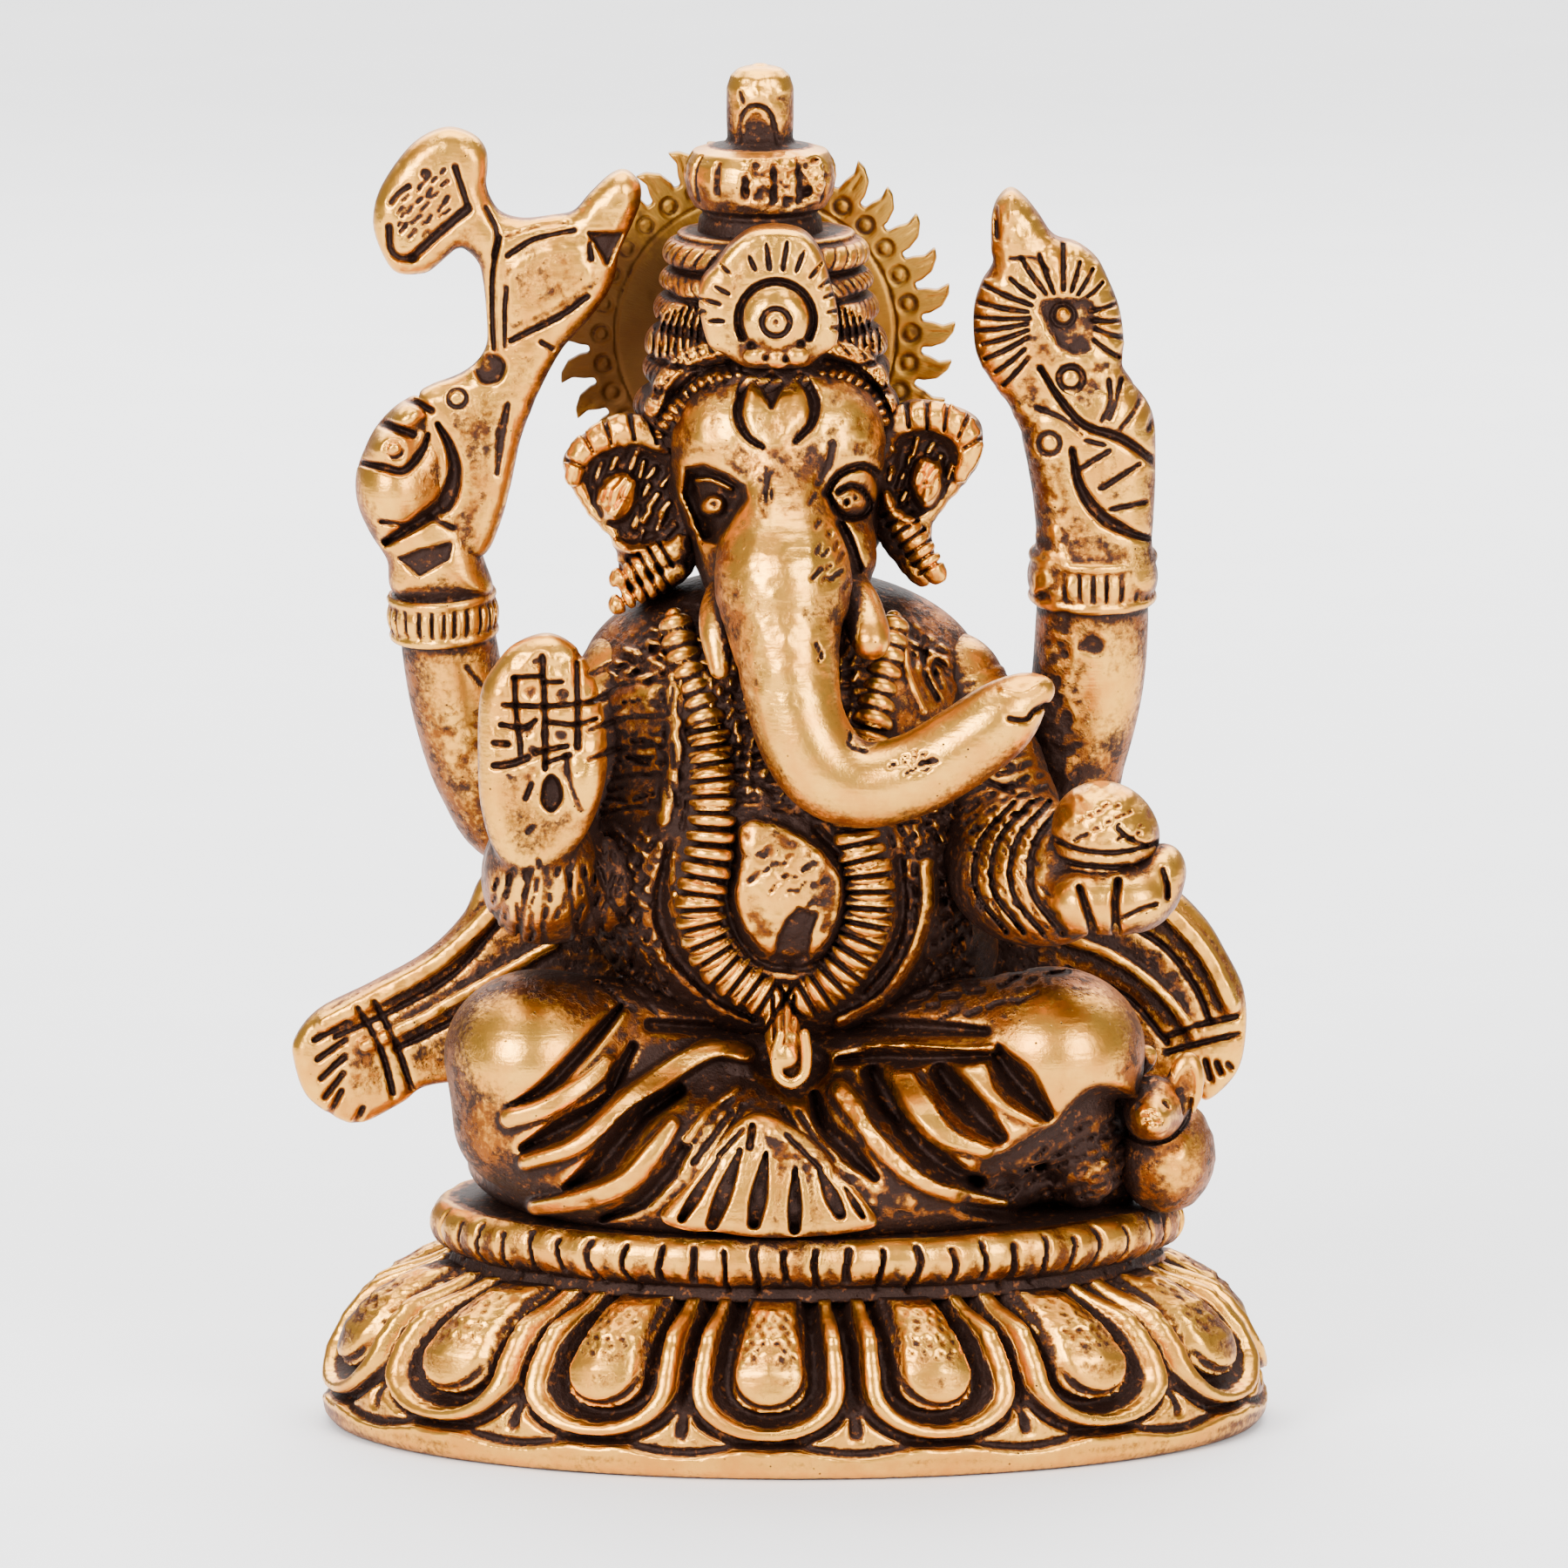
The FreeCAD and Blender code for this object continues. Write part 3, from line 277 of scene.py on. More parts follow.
class Relief:
    """A height map in front coordinates, in millimetres: what is raised or sunk on the front."""

    def __init__(self, x0, x1, g0, g1, step=0.08):
        self.step = step
        self.x = np.arange(x0, x1 + step, step)
        self.g = np.arange(g0, g1 + step, step)
        self.h = np.zeros((len(self.x), len(self.g)))

    def window(self, lo, hi, reach):
        """The slices of the map within reach of a box."""
        i = slice(int(np.searchsorted(self.x, lo[0] - reach)), int(np.searchsorted(self.x, hi[0] + reach)))
        j = slice(int(np.searchsorted(self.g, lo[1] - reach)), int(np.searchsorted(self.g, hi[1] + reach)))
        return i, j

    def line_distance(self, path, reach):
        """The window that a path can reach and, over it, the distance to the path, the length along
        it and its share of the width there."""
        i, j = self.window(path[:, :2].min(0), path[:, :2].max(0), reach)
        x, g = self.x[i][:, None], self.g[j][None, :]
        best = np.full((len(self.x[i]), len(self.g[j])), 1e9)
        along = np.zeros_like(best)
        fat = np.ones_like(best)
        run = 0.0
        for a, b in zip(path[:-1], path[1:]):
            v = b[:2] - a[:2]
            t = np.clip(((x - a[0]) * v[0] + (g - a[1]) * v[1]) / max(v @ v, 1e-9), 0.0, 1.0)
            d = (x - a[0] - v[0] * t) ** 2 + (g - a[1] - v[1] * t) ** 2
            nearer = d < best
            best = np.where(nearer, d, best)
            along = np.where(nearer, run + np.linalg.norm(v) * t, along)
            if path.shape[1] > 2:
                fat = np.where(nearer, a[2] + (b[2] - a[2]) * t, fat)
            run += np.linalg.norm(v)
        return i, j, np.sqrt(best), along, fat

    def line(self, points, width, height, mode="add", flat=0.0, ticks=None, rounded=True):
        """A raised or sunk line. Points may carry a third number that scales the width there. mode
        adds the line to what is there, or keeps the higher ("max") or lower ("min") of the two. flat
        is the share of the width that is level. ticks = (pitch, depth, share) cuts cross ticks."""
        path = curve(points, step=0.3) if rounded and len(points) > 2 else np.array(points, float)
        i, j, d, along, fat = self.line_distance(path, width * 1.6)
        half = width / 2.0 * fat
        ramp = np.maximum(half * (1.0 - flat), 0.12)
        shape = smooth(0.0, 1.0, (half - d) / ramp) * height
        if ticks:
            pitch, depth, share = ticks
            wave = np.abs(((along / pitch) % 1.0) - 0.5) * pitch
            shape = shape - depth * bump(wave, share * pitch) * (d < half * 1.05)
        if mode == "add":
            self.h[i, j] += shape
        elif mode == "max":
            self.h[i, j] = np.maximum(self.h[i, j], np.where(d < half, shape, -UNTOUCHED))
        elif mode == "min":
            self.h[i, j] = np.minimum(self.h[i, j], np.where(d < half, shape, UNTOUCHED))

    def area(self, points, height, edge=0.3, rounded=True, dome=0.0):
        """A raised or sunk patch with a soft edge; dome swells its middle."""
        line = curve(points, closed=True) if rounded else np.array(points, float)
        i, j = self.window(line.min(0), line.max(0), edge + 0.5)
        d = polygon_distance(line, self.x[i][:, None], self.g[j][None, :])
        weight = smooth(-edge, edge, -d)
        shape = height + dome * (1.0 - np.exp(np.minimum(d, 0.0) / 1.5))
        self.h[i, j] += weight * shape

    def ring(self, x, g, radius, width, depth, middle=0.0):
        """A punched circle."""
        i, j = self.window((x, g), (x, g), radius + width)
        d = np.hypot(self.x[i][:, None] - x, self.g[j][None, :] - g)
        self.h[i, j] -= depth * bump(d - radius, width / 2.0)
        if middle:
            self.h[i, j] += middle * bump(d, radius * 0.8)

    def dot(self, x, g, radius, height):
        """A small dimple or bead."""
        i, j = self.window((x, g), (x, g), radius)
        d = np.hypot(self.x[i][:, None] - x, self.g[j][None, :] - g)
        self.h[i, j] += height * bump(d, radius)

    def grain(self, points, height, size, seed):
        """Rough casting texture over a patch: soft random bumps of about this size."""
        line = curve(points, closed=True)
        i, j = self.window(line.min(0), line.max(0), 0.5)
        d = polygon_distance(line, self.x[i][:, None], self.g[j][None, :])
        rng = np.random.default_rng(seed)
        total = np.zeros(d.shape)
        for octave, share in ((1.0, 0.6), (0.5, 0.4)):
            cell = max(size * octave / self.step, 1.5)
            n = (int(d.shape[0] / cell) + 3, int(d.shape[1] / cell) + 3)
            coarse = rng.uniform(-1.0, 1.0, n)
            u = np.arange(d.shape[0]) / cell
            v = np.arange(d.shape[1]) / cell
            iu, iv = u.astype(int), v.astype(int)
            fu, fv = (u - iu)[:, None], (v - iv)[None, :]
            fu, fv = fu * fu * (3 - 2 * fu), fv * fv * (3 - 2 * fv)
            a = coarse[np.ix_(iu, iv)] * (1 - fu) + coarse[np.ix_(iu + 1, iv)] * fu
            b = coarse[np.ix_(iu, iv + 1)] * (1 - fu) + coarse[np.ix_(iu + 1, iv + 1)] * fu
            total += share * (a * (1 - fv) + b * fv)
        self.h[i, j] += height * total * smooth(0.0, 0.5, -d)

    def press(self, block, split, fade=0.8, facing=1.0, slope=TILT):
        """Moves the block's surface by the height map, on the side of depth split that faces it."""
        x, y, z = block.axes
        at = (x - self.x[0]) / self.step
        lo = np.clip(at.astype(int), 0, len(self.x) - 2)
        w = np.clip(at - lo, 0.0, 1.0)[:, None]
        rows = self.h[lo] * (1.0 - w) + self.h[lo + 1] * w
        rows[(x < self.x[0]) | (x > self.x[-1])] = 0.0
        g = z[None, :] + slope * y[:, None]
        k = (g - self.g[0]) / self.step
        outside = (k < 0) | (k > len(self.g) - 2)
        j = np.clip(k.astype(int), 0, len(self.g) - 2)
        w = np.clip(k - j, 0.0, 1.0).astype(f32)
        rows = rows.astype(f32)
        mask = smooth(0.0, 1.0, facing * (split - y) / fade)
        weight = (mask[:, None] * ~outside).astype(f32)
        for n in range(len(y)):
            if weight[n].any():
                raised = rows[:, j[n]] * (1.0 - w[n]) + rows[:, j[n] + 1] * w[n]
                block.f[:, n, :] -= raised * weight[n]


def scatter(r, corners, turn, pitch, length, seed, width=0.4, depth=-0.35):
    """Short uneven cuts, as a graver leaves them, all over one patch; turn is in degrees."""
    draw = np.random.default_rng(seed)
    ring = np.array(corners, float)
    lo, hi = ring.min(0), ring.max(0)
    c, q = math.cos(math.radians(turn)), math.sin(math.radians(turn))
    middle, reach = (lo + hi) / 2.0, np.hypot(*(hi - lo)) / 2.0
    for row in np.arange(-reach, reach, pitch):
        along = -reach + draw.uniform(0.0, length)
        while along < reach:
            size = length * draw.uniform(0.35, 1.0)
            off = row + draw.uniform(-0.3, 0.3) * pitch
            x, g = middle[0] + along * c - off * q, middle[1] + along * q + off * c
            if polygon_distance(ring, np.array([x]), np.array([g]))[0] < 0.0:
                lean = math.radians(turn + draw.uniform(-16.0, 16.0))
                dx, dg = 0.5 * size * math.cos(lean), 0.5 * size * math.sin(lean)
                r.line([(x - dx, g - dg), (x, g + draw.uniform(-0.1, 0.1)), (x + dx, g + dg)],
                       width * draw.uniform(0.7, 1.3), depth * draw.uniform(0.6, 1.2), rounded=False)
            along += size + length * draw.uniform(0.2, 0.7)


def cross_cuts(r, path, pitch, half, width, depth):
    """Cuts across a strand, one every pitch along it."""
    line = curve(path, step=0.1)
    stride = max(int(round(pitch / 0.1)), 2)
    for k in range(stride, len(line) - 1, stride):
        dx, dg = line[k + 1] - line[k - 1]
        n = math.hypot(dx, dg)
        ux, ug = -dg / n * half, dx / n * half
        r.line([(line[k][0] - ux, line[k][1] - ug, 0.7), (line[k][0], line[k][1], 1.1),
                (line[k][0] + ux, line[k][1] + ug, 0.8)], width, depth)


# ---------------------------------------------------------------- meshing

LEAST_SHARE, LEAST_POINTS = 0.05, 60      # a shell smaller than both is a stray speck


def without_specks(points, quads):
    """Keeps the biggest connected shell of a mesh, and any other that is not a stray speck."""
    label = np.arange(len(points))
    edges = np.vstack([quads[:, [0, 1]], quads[:, [1, 2]], quads[:, [2, 3]]])
    while True:
        low = np.minimum(label[edges[:, 0]], label[edges[:, 1]])
        new = label.copy()
        np.minimum.at(new, edges[:, 0], low)
        np.minimum.at(new, edges[:, 1], low)
        new = new[new]
        new = new[new]
        if np.array_equal(new, label):
            break
        label = new
    counts = np.bincount(label, minlength=len(points))
    keep = counts[label] >= max(LEAST_SHARE * counts.max(), LEAST_POINTS)
    index = np.cumsum(keep) - 1
    return points[keep], index[quads[keep[quads[:, 0]]]]


pieces = {}     # each casting's block and mesh, in the order of making


def cast(name, block):
    """Meshes a block's surface and keeps both for the pass of patina, wear and painted shade."""
    grid = openvdb.FloatGrid()
    grid.background = FAR
    grid.copyFromArray(block.f)
    points, quads = grid.convertToQuads(isovalue=0.0)
    points, quads = without_specks(points.astype(float), quads.astype(np.int64))
    points = points * block.step + np.array([a[0] for a in block.axes])
    v = points[quads]
    volume = np.einsum("ij,ij->", np.cross(v[:, 1] - v[:, 0], v[:, 2] - v[:, 0]), v[:, 0]) \
        + np.einsum("ij,ij->", np.cross(v[:, 2] - v[:, 0], v[:, 3] - v[:, 0]), v[:, 0])
    if volume < 0:
        quads = quads[:, ::-1]
    pieces[name] = {"block": block, "points": points, "quads": quads}


def make_mesh(name, points, quads):
    """A Blender object from quads, smooth shaded."""
    mesh = bpy.data.meshes.new(name)
    mesh.vertices.add(len(points))
    placed = (points + np.array([SHIFT, 0.0, 0.0])) * MM
    mesh.vertices.foreach_set("co", placed.astype(f32).ravel())
    mesh.loops.add(len(quads) * 4)
    mesh.loops.foreach_set("vertex_index", quads.astype(np.int32).ravel())
    mesh.polygons.add(len(quads))
    mesh.polygons.foreach_set("loop_start", np.arange(0, len(quads) * 4, 4, dtype=np.int32))
    mesh.polygons.foreach_set("use_smooth", np.ones(len(quads), bool))
    mesh.update(calc_edges=True)
    mesh.validate()
    thing = bpy.data.objects.new(name, mesh)
    bpy.context.scene.collection.objects.link(thing)
    return thing


def normals_of(points, quads):
    """Area-weighted normals at each point."""
    v = points[quads]
    face = np.cross(v[:, 2] - v[:, 0], v[:, 3] - v[:, 1])
    total = np.zeros_like(points)
    for k in range(4):
        for axis in range(3):
            total[:, axis] += np.bincount(quads[:, k], face[:, axis], minlength=len(points))
    return total / np.maximum(np.linalg.norm(total, axis=1, keepdims=True), 1e-12)


def soften(volume, sigma):
    """A separable Gaussian blur of a volume; sigma is in samples."""
    radius = int(math.ceil(sigma * 2.6))
    taps = np.exp(-0.5 * (np.arange(-radius, radius + 1) / sigma) ** 2)
    taps = (taps / taps.sum()).astype(f32)
    for axis in range(3):
        padded = np.pad(volume, [(radius, radius) if a == axis else (0, 0) for a in range(3)], mode="edge")
        out = np.zeros_like(volume)
        for k, tap in enumerate(taps):
            cut = [slice(None)] * 3
            cut[axis] = slice(k, k + volume.shape[axis])
            out += tap * padded[tuple(cut)]
        volume = out
    return volume


def sample(volume, lo, step, points):
    """Trilinear samples of a volume at points."""
    at = (points - lo) / step
    at = np.clip(at, 0.0, np.array(volume.shape) - 1.001)
    i = at.astype(int)
    w = at - i
    total = np.zeros(len(points))
    for a in (0, 1):
        for b in (0, 1):
            for c in (0, 1):
                weight = (w[:, 0] if a else 1 - w[:, 0]) * (w[:, 1] if b else 1 - w[:, 1]) \
                    * (w[:, 2] if c else 1 - w[:, 2])
                total += weight * volume[i[:, 0] + a, i[:, 1] + b, i[:, 2] + c]
    return total


# ---------------------------------------------------------------- pedestal and seat

def oval_radius(x, y, a, b):
    """Distance out from an oval's edge on the level, with half sizes a and b."""
    k = np.sqrt((x / a) ** 2 + (y / b) ** 2)
    slope = np.sqrt((x / a ** 2) ** 2 + (y / b ** 2) ** 2)
    return (k - 1.0) * k / np.maximum(slope, 1e-3)


def about(block, cx, cy):
    """Distance from an upright axis and the angle round it from the front, over a block's plan."""
    x, y = block.grids()[:2]
    px, py = x[:, :, 0] - cx, y[:, :, 0] - cy
    return np.hypot(px, py), np.arctan2(px, -py)


def arc_share(x, y, a, b):
    """How far round an oval a point lies, as a share of its length, from the front going to +X."""
    t = np.linspace(0.0, 2.0 * math.pi, 1441)
    steps = np.hypot(a * np.cos(t), b * np.sin(t))
    run = np.concatenate([[0.0], np.cumsum((steps[1:] + steps[:-1]) / 2.0)])
    run /= run[-1]
    angle = np.arctan2(x / a, -y / b) % (2.0 * math.pi)
    return np.interp(angle, t, run)


# the pedestal's half width at each height
BASE_RINGS = [(0.0, 30.2), (0.7, 30.8), (1.6, 31.0), (3.0, 30.9), (4.6, 30.5), (6.7, 29.4), (8.0, 28.3),
              (8.9, 27.2), (10.0, 25.2), (10.8, 23.5)]
BASE_HALF = (31.0, 20.0)          # half sizes of the pedestal at its widest
BASE_TOP = 10.9
HOLLOW_ROOF = 7.6
BOSS_RADIUS, BOSS_FOOT = 5.0, 3.4
SCREW_BORE = 2.15
PETALS = 14
PERIMETER = 162.0                 # once round the pedestal
PETAL_OFFSET = 1.8                # how far the front petal stands beside the middle


def petal_relief(share, z):
    """The height of the lotus petals' relief at a share round the pedestal and a height."""
    pitch = PERIMETER / PETALS
    place = share * PETALS + 0.5 + PETAL_OFFSET / pitch
    phase = place % 1.0 - 0.5
    index = np.floor(place) % PETALS
    du = phase * pitch * (1.0 + 0.012 * np.sin(index * 2.4))
    leaf = np.sqrt(du ** 2 + (np.minimum(z - 6.0, 0.0) * 4.6 / 3.1) ** 2) - 4.6
    leaf = leaf + 0.05 * np.maximum(z - 7.2, 0.0)
    tear = np.sqrt(du ** 2 + (np.minimum(z - 7.0, 0.0) * 2.5 / 2.3) ** 2) - 2.55
    tear = tear + 0.14 * np.maximum(z - 6.8, 0.0)
    h = -0.75 * bump(leaf - 1.05, 0.6) * smooth(1.1, 1.5, z)
    h = h + 0.5 * np.sqrt(bump(leaf, 0.72))
    h = h - 1.0 * np.sqrt(bump(leaf + 1.3, 0.68))
    inner = smooth(0.1, -0.35, tear)
    h = h - 0.35 * smooth(-0.8, -1.4, leaf) * (1.0 - inner)
    h = h + inner * (0.7 * np.sqrt(np.clip(-tear / 2.5, 0.0, 1.0)) + 0.05)
    # the fine furrow and pits on the upper half of each inner petal
    pits = np.sin(du * 6.8 + 1.4 * np.sin(z * 3.1 + index)) * np.sin(z * 7.0 + index * 1.7)
    h = h - 0.16 * np.clip(pits, 0.0, 1.0) * inner * smooth(7.2, 8.0, z)
    h = h - 0.5 * bump(leaf - 0.2, 1.5) * smooth(9.3, 10.4, z)
    # plain scalloped hem under the petals
    hem = z - 1.75 - 0.35 * np.cos(phase * 2.0 * math.pi)
    h = h + 0.3 * smooth(0.35, -0.2, hem)
    h = h - 0.35 * bump(hem - 0.25, 0.35)
    h = h - 0.75 * bump(np.abs(du) - pitch / 2.0, 0.55) * smooth(2.2, 3.2, z)
    return h.astype(f32)


def lotus_base():
    """The hollow pedestal with its ring of petals."""
    b = Block((-32.3, -21.4, -0.6), (32.3, 21.4, 11.4), 0.19)
    x, y, z = b.grids()
    zs = z[0, 0]
    a = np.interp(zs, *np.array(BASE_RINGS).T)
    wide, deep = BASE_HALF
    share = arc_share(x[:, :, 0], y[:, :, 0], wide, deep)
    for k, level in enumerate(zs):
        depth = a[k] - (wide - deep) + 3.0 * (wide - a[k]) / 8.0
        out = oval_radius(x[:, :, 0], y[:, :, 0], a[k], depth)
        lean = 1.0 / math.sqrt(1.0 + np.gradient(a, zs)[k] ** 2)
        lift = petal_relief(share, np.full_like(share, level)) * smooth(-5.0, -2.0, out)
        b.f[:, :, k] = np.maximum(out * lean - lift, np.maximum(-level, level - BASE_TOP))
    # the hollow underneath, with the screw's boss hanging in it
    for k, level in enumerate(zs):
        inner = np.interp(level, (-1.0, 4.0, HOLLOW_ROOF), (27.9, 27.4, 22.6))
        hollow = oval_radius(x[:, :, 0], y[:, :, 0], inner, inner - (wide - deep) + 0.3 * (27.9 - inner))
        hollow = np.maximum(hollow, level - HOLLOW_ROOF)
        radius = np.hypot(x[:, :, 0], y[:, :, 0])
        hollow = np.maximum(hollow, -np.maximum(radius - BOSS_RADIUS, BOSS_FOOT - level))
        hollow = np.minimum(hollow, radius - SCREW_BORE)
        b.f[:, :, k] = -blend_min(-b.f[:, :, k], hollow, 0.5)
    cast("lotus_base", b)


NOTCHES = 57
SEAT_X = 0.5                      # the plinth sits a little beside the pedestal's centre


def seat_rim():
    """The plinth: a rolled rim cut by notches."""
    b = Block((-25.2, -17.4, 10.2), (26.6, 17.4, 15.3), 0.16)
    x, y, z = b.grids()
    low_face, high_face = 10.6, 14.9
    roll_middle, roll_radius = 13.35, 1.75
    share = arc_share(x[:, :, 0] - SEAT_X, y[:, :, 0], 24.4, 15.8)
    spin = share * 2.0 * math.pi
    phase = share * NOTCHES + 0.16 * np.sin(3.0 * spin) + 0.12 * np.sin(7.0 * spin + 1.0)
    index = np.floor(phase)
    notch = phase - index - 0.5
    wide = 0.12 + 0.03 * np.sin(index * 2.3)
    edge = 0.16 * np.sin(5.0 * spin) * np.sin(11.0 * spin + 2.0) + 0.07 * np.sin(41.0 * spin)
    # a lump of metal left by the casting on the plinth's end
    lump = 0.7 * np.exp(-((share - 0.243) * 80.0) ** 2)
    for k, level in enumerate(z[0, 0]):
        roll = roll_radius * math.sqrt(max(0.0, 1.0 - ((level - roll_middle) / roll_radius) ** 2))
        foot = 0.5 * float(smooth(12.2, low_face, level))
        out = oval_radius(x[:, :, 0] - SEAT_X, y[:, :, 0], 22.75 + roll + foot, 14.15 + roll + foot)
        low = 11.6 + 0.5 * np.sin(index * 1.7)
        cuts = 0.7 * bump(notch + 0.05 * np.sin(level * 2.0 + index), wide)
        cuts = cuts * smooth(low - 0.3, low + 0.3, level) * smooth(14.6 + 0.25 * np.sin(index * 2.9), 14.0,
                                                                   level)
        b.f[:, :, k] = np.maximum(out + (cuts - edge - lump) * smooth(-3.0, -1.0, out),
                                  np.maximum(low_face - level, level - high_face))
    b.f = b.f * 0.92
    cast("seat_rim", b)


# ---------------------------------------------------------------- legs, skirt and mouse

def folded_legs():
    """The lap, the knees and the crossed shins under the wrapped cloth."""
    b = Block((-24.6, -17.9, 14.3), (24.6, 14.4, 33.2), 0.17)
    build(b, [
        (oval((0.0, -0.4, 17.2), (21.6, 15.0, 5.4)), 0),
        (oval((0.2, 0.4, 20.6), (21.4, 12.6, 6.6)), 1.0),
        (oval((-17.3, -6.8, 25.6), (5.7, 6.6, 5.4)), 1.6),
        (oval((17.2, -7.0, 26.0), (5.7, 6.4, 5.2)), 1.6),
        (oval((18.8, -3.0, 18.6), (4.9, 8.4, 5.2)), 1.2),
        (tube([(-4.0, -1.0, 22.0, 6.0), (-10.0, -4.0, 24.4, 5.8), (-15.6, -6.4, 25.0, 5.2)]), 2.2),
        (tube([(4.0, -1.0, 22.0, 6.0), (10.4, -5.0, 24.2, 6.0), (15.8, -6.8, 25.2, 5.2)]), 2.2),
        (tube([(-17.6, -8.0, 21.6, 4.8), (-13.4, -9.8, 20.2, 4.6), (-8.0, -11.0, 19.4, 4.2),
               (-2.0, -11.0, 19.6, 3.8)]), 1.4),
        (tube([(17.6, -7.6, 22.4, 4.8), (12.6, -9.8, 20.8, 4.7), (7.4, -10.9, 19.6, 4.3),
               (2.0, -11.0, 19.4, 3.8)]), 1.4), ])
    r = Relief(-25.0, 25.0, 10.0, 33.0)
    # the picture's left: the knee runs into a broad band, and three more wrap round the shin
    r.line([(-18.7, 20.8, 0.5), (-16.4, 22.2, 1.0), (-14.4, 24.2, 1.1), (-12.6, 26.2, 0.8),
            (-11.4, 27.6, 0.4)], 1.5, -1.4, "min")
    r.line([(-18.6, 20.2), (-16.4, 20.9), (-13.9, 22.4), (-12.2, 23.8)], 1.7, 0.55, "max", flat=0.4)
    r.line([(-17.7, 18.3, 0.4), (-15.2, 19.5, 1.0), (-12.9, 20.6, 1.0), (-11.6, 21.8, 0.6)], 2.2, -1.8,
           "min")
    r.line([(-12.2, 21.0, 0.5), (-11.6, 23.0, 1.0), (-10.6, 25.0, 0.7)], 1.3, -1.1, "min")
    r.line([(-17.6, 17.3, 0.7), (-14.6, 18.3, 0.9), (-12.4, 20.0, 1.0), (-10.6, 21.7, 1.2),
            (-8.6, 23.1, 1.3), (-6.3, 24.5, 1.2), (-4.8, 24.9, 1.1),
            (-3.2, 24.5, 0.9)], 1.8, 1.1, "max", flat=0.4)
    r.dot(-3.6, 24.2, 1.2, 0.5)
    r.line([(-14.8, 15.7, 0.4), (-12.9, 17.0, 1.0), (-11.2, 18.9, 1.0), (-9.8, 20.5, 0.8),
            (-7.6, 22.0, 0.5)], 2.4, -1.9, "min")
    r.line([(-17.0, 14.3, 0.8), (-13.8, 14.9, 1.0), (-11.0, 16.1, 1.1), (-9.2, 18.2, 1.0),
            (-8.0, 19.9, 0.7)], 1.9, 0.95, "max", flat=0.4)
    r.line([(-12.6, 13.6, 0.5), (-9.9, 14.9, 1.0), (-8.0, 17.1, 1.0), (-6.4, 19.8, 0.6)], 1.5, -1.1, "min")
    r.line([(-9.4, 26.4), (-6.6, 26.2), (-3.4, 26.0)], 1.3, -1.0, "min")
    r.line([(-7.0, 19.0), (-5.6, 20.8), (-3.8, 22.2)], 0.9, 0.4, "max")
    # the apron's brown ridges running up to the knot
    for foot, head in (((-6.6, 17.4), (-4.2, 20.6)), ((-5.0, 18.2), (-3.4, 21.0)),
                       ((0.6, 18.4), (-0.8, 20.8)), ((2.4, 17.6), (0.2, 20.6))):
        r.line([foot, head], 0.7, -0.5)
    r.area([(-2.6, 24.2), (-1.2, 22.4), (0.4, 21.6), (1.6, 22.6), (2.0, 24.2), (0.0, 25.0)], -0.9, edge=0.5)
    # the picture's right: the smooth thigh, cut by three wide slots, over two long ridges
    r.line([(1.2, 21.8, 0.6), (2.0, 19.6, 1.0), (3.6, 18.0, 1.0), (5.2, 16.4, 0.4)], 2.0, -1.6, "min")
    r.line([(3.0, 22.1, 1.0), (4.4, 20.2, 1.0), (5.9, 18.2, 1.0), (8.2, 16.2, 0.9), (11.1, 15.1, 0.7),
            (13.6, 14.6, 0.4)], 2.0, 1.0, "max", flat=0.4)
    r.line([(5.1, 23.2, 0.8), (6.2, 21.1, 1.1), (7.6, 19.0, 0.9), (9.6, 17.2, 0.8), (12.0, 16.0, 0.4)], 2.9,
           -2.0, "min")
    r.line([(6.9, 23.1, 1.0), (8.2, 21.1, 1.1), (9.9, 19.3, 1.0), (12.4, 18.2, 0.6)], 2.3, 0.7, "max",
           flat=0.45)
    r.line([(9.5, 23.4, 0.7), (11.2, 21.0, 1.1), (13.3, 19.0, 0.5)], 3.1, -2.0, "min")
    r.line([(11.4, 23.8, 1.0), (13.4, 21.8, 1.0), (15.6, 20.4, 0.8)], 2.2, 0.55, "max", flat=0.45)
    r.line([(13.1, 24.6, 0.6), (14.5, 22.7, 1.1), (16.4, 20.5, 0.5)], 2.7, -1.9, "min")
    r.area([(11.6, 14.0), (22.0, 14.0), (22.2, 20.6), (19.6, 22.2), (16.8, 20.0), (13.6, 18.2),
            (11.6, 16.6)], -1.5, edge=0.6)
    r.line([(4.6, 25.0), (8.0, 25.0), (11.0, 24.9), (12.8, 25.0)], 0.7, 0.5, "max")
    r.line([(2.8, 24.0, 0.6), (5.6, 24.2, 1.1), (9.0, 24.2, 1.0), (13.2, 24.4, 0.4)], 1.4, -1.2, "min")
    r.line([(3.4, 26.2, 0.8), (8.0, 26.2, 1.1), (12.4, 26.0, 0.6)], 1.6, -1.0, "min")
    scatter(r, [(8.0, 26.6), (15.0, 27.4), (19.4, 30.8), (8.0, 31.0)], 15, 0.9, 1.2, 96, 0.5)
    scatter(r, [(-13.0, 27.6), (-8.4, 26.6), (-8.0, 31.0), (-13.6, 31.6)], -40, 0.9, 1.2, 97, 0.5)
    scatter(r, [(13.0, 15.0), (22.0, 15.0), (21.6, 20.0), (17.4, 19.6)], 30, 0.8, 0.9, 98, 0.5)
    r.grain([(-16.0, 14.0), (-6.0, 13.6), (6.0, 13.6), (12.0, 14.0), (22.0, 14.0), (22.0, 19.6),
             (12.0, 17.0), (4.0, 24.0), (-4.0, 24.0), (-10.0, 17.0)], 0.24, 0.8, 3)
    r.press(b, -2.0, 3.0)
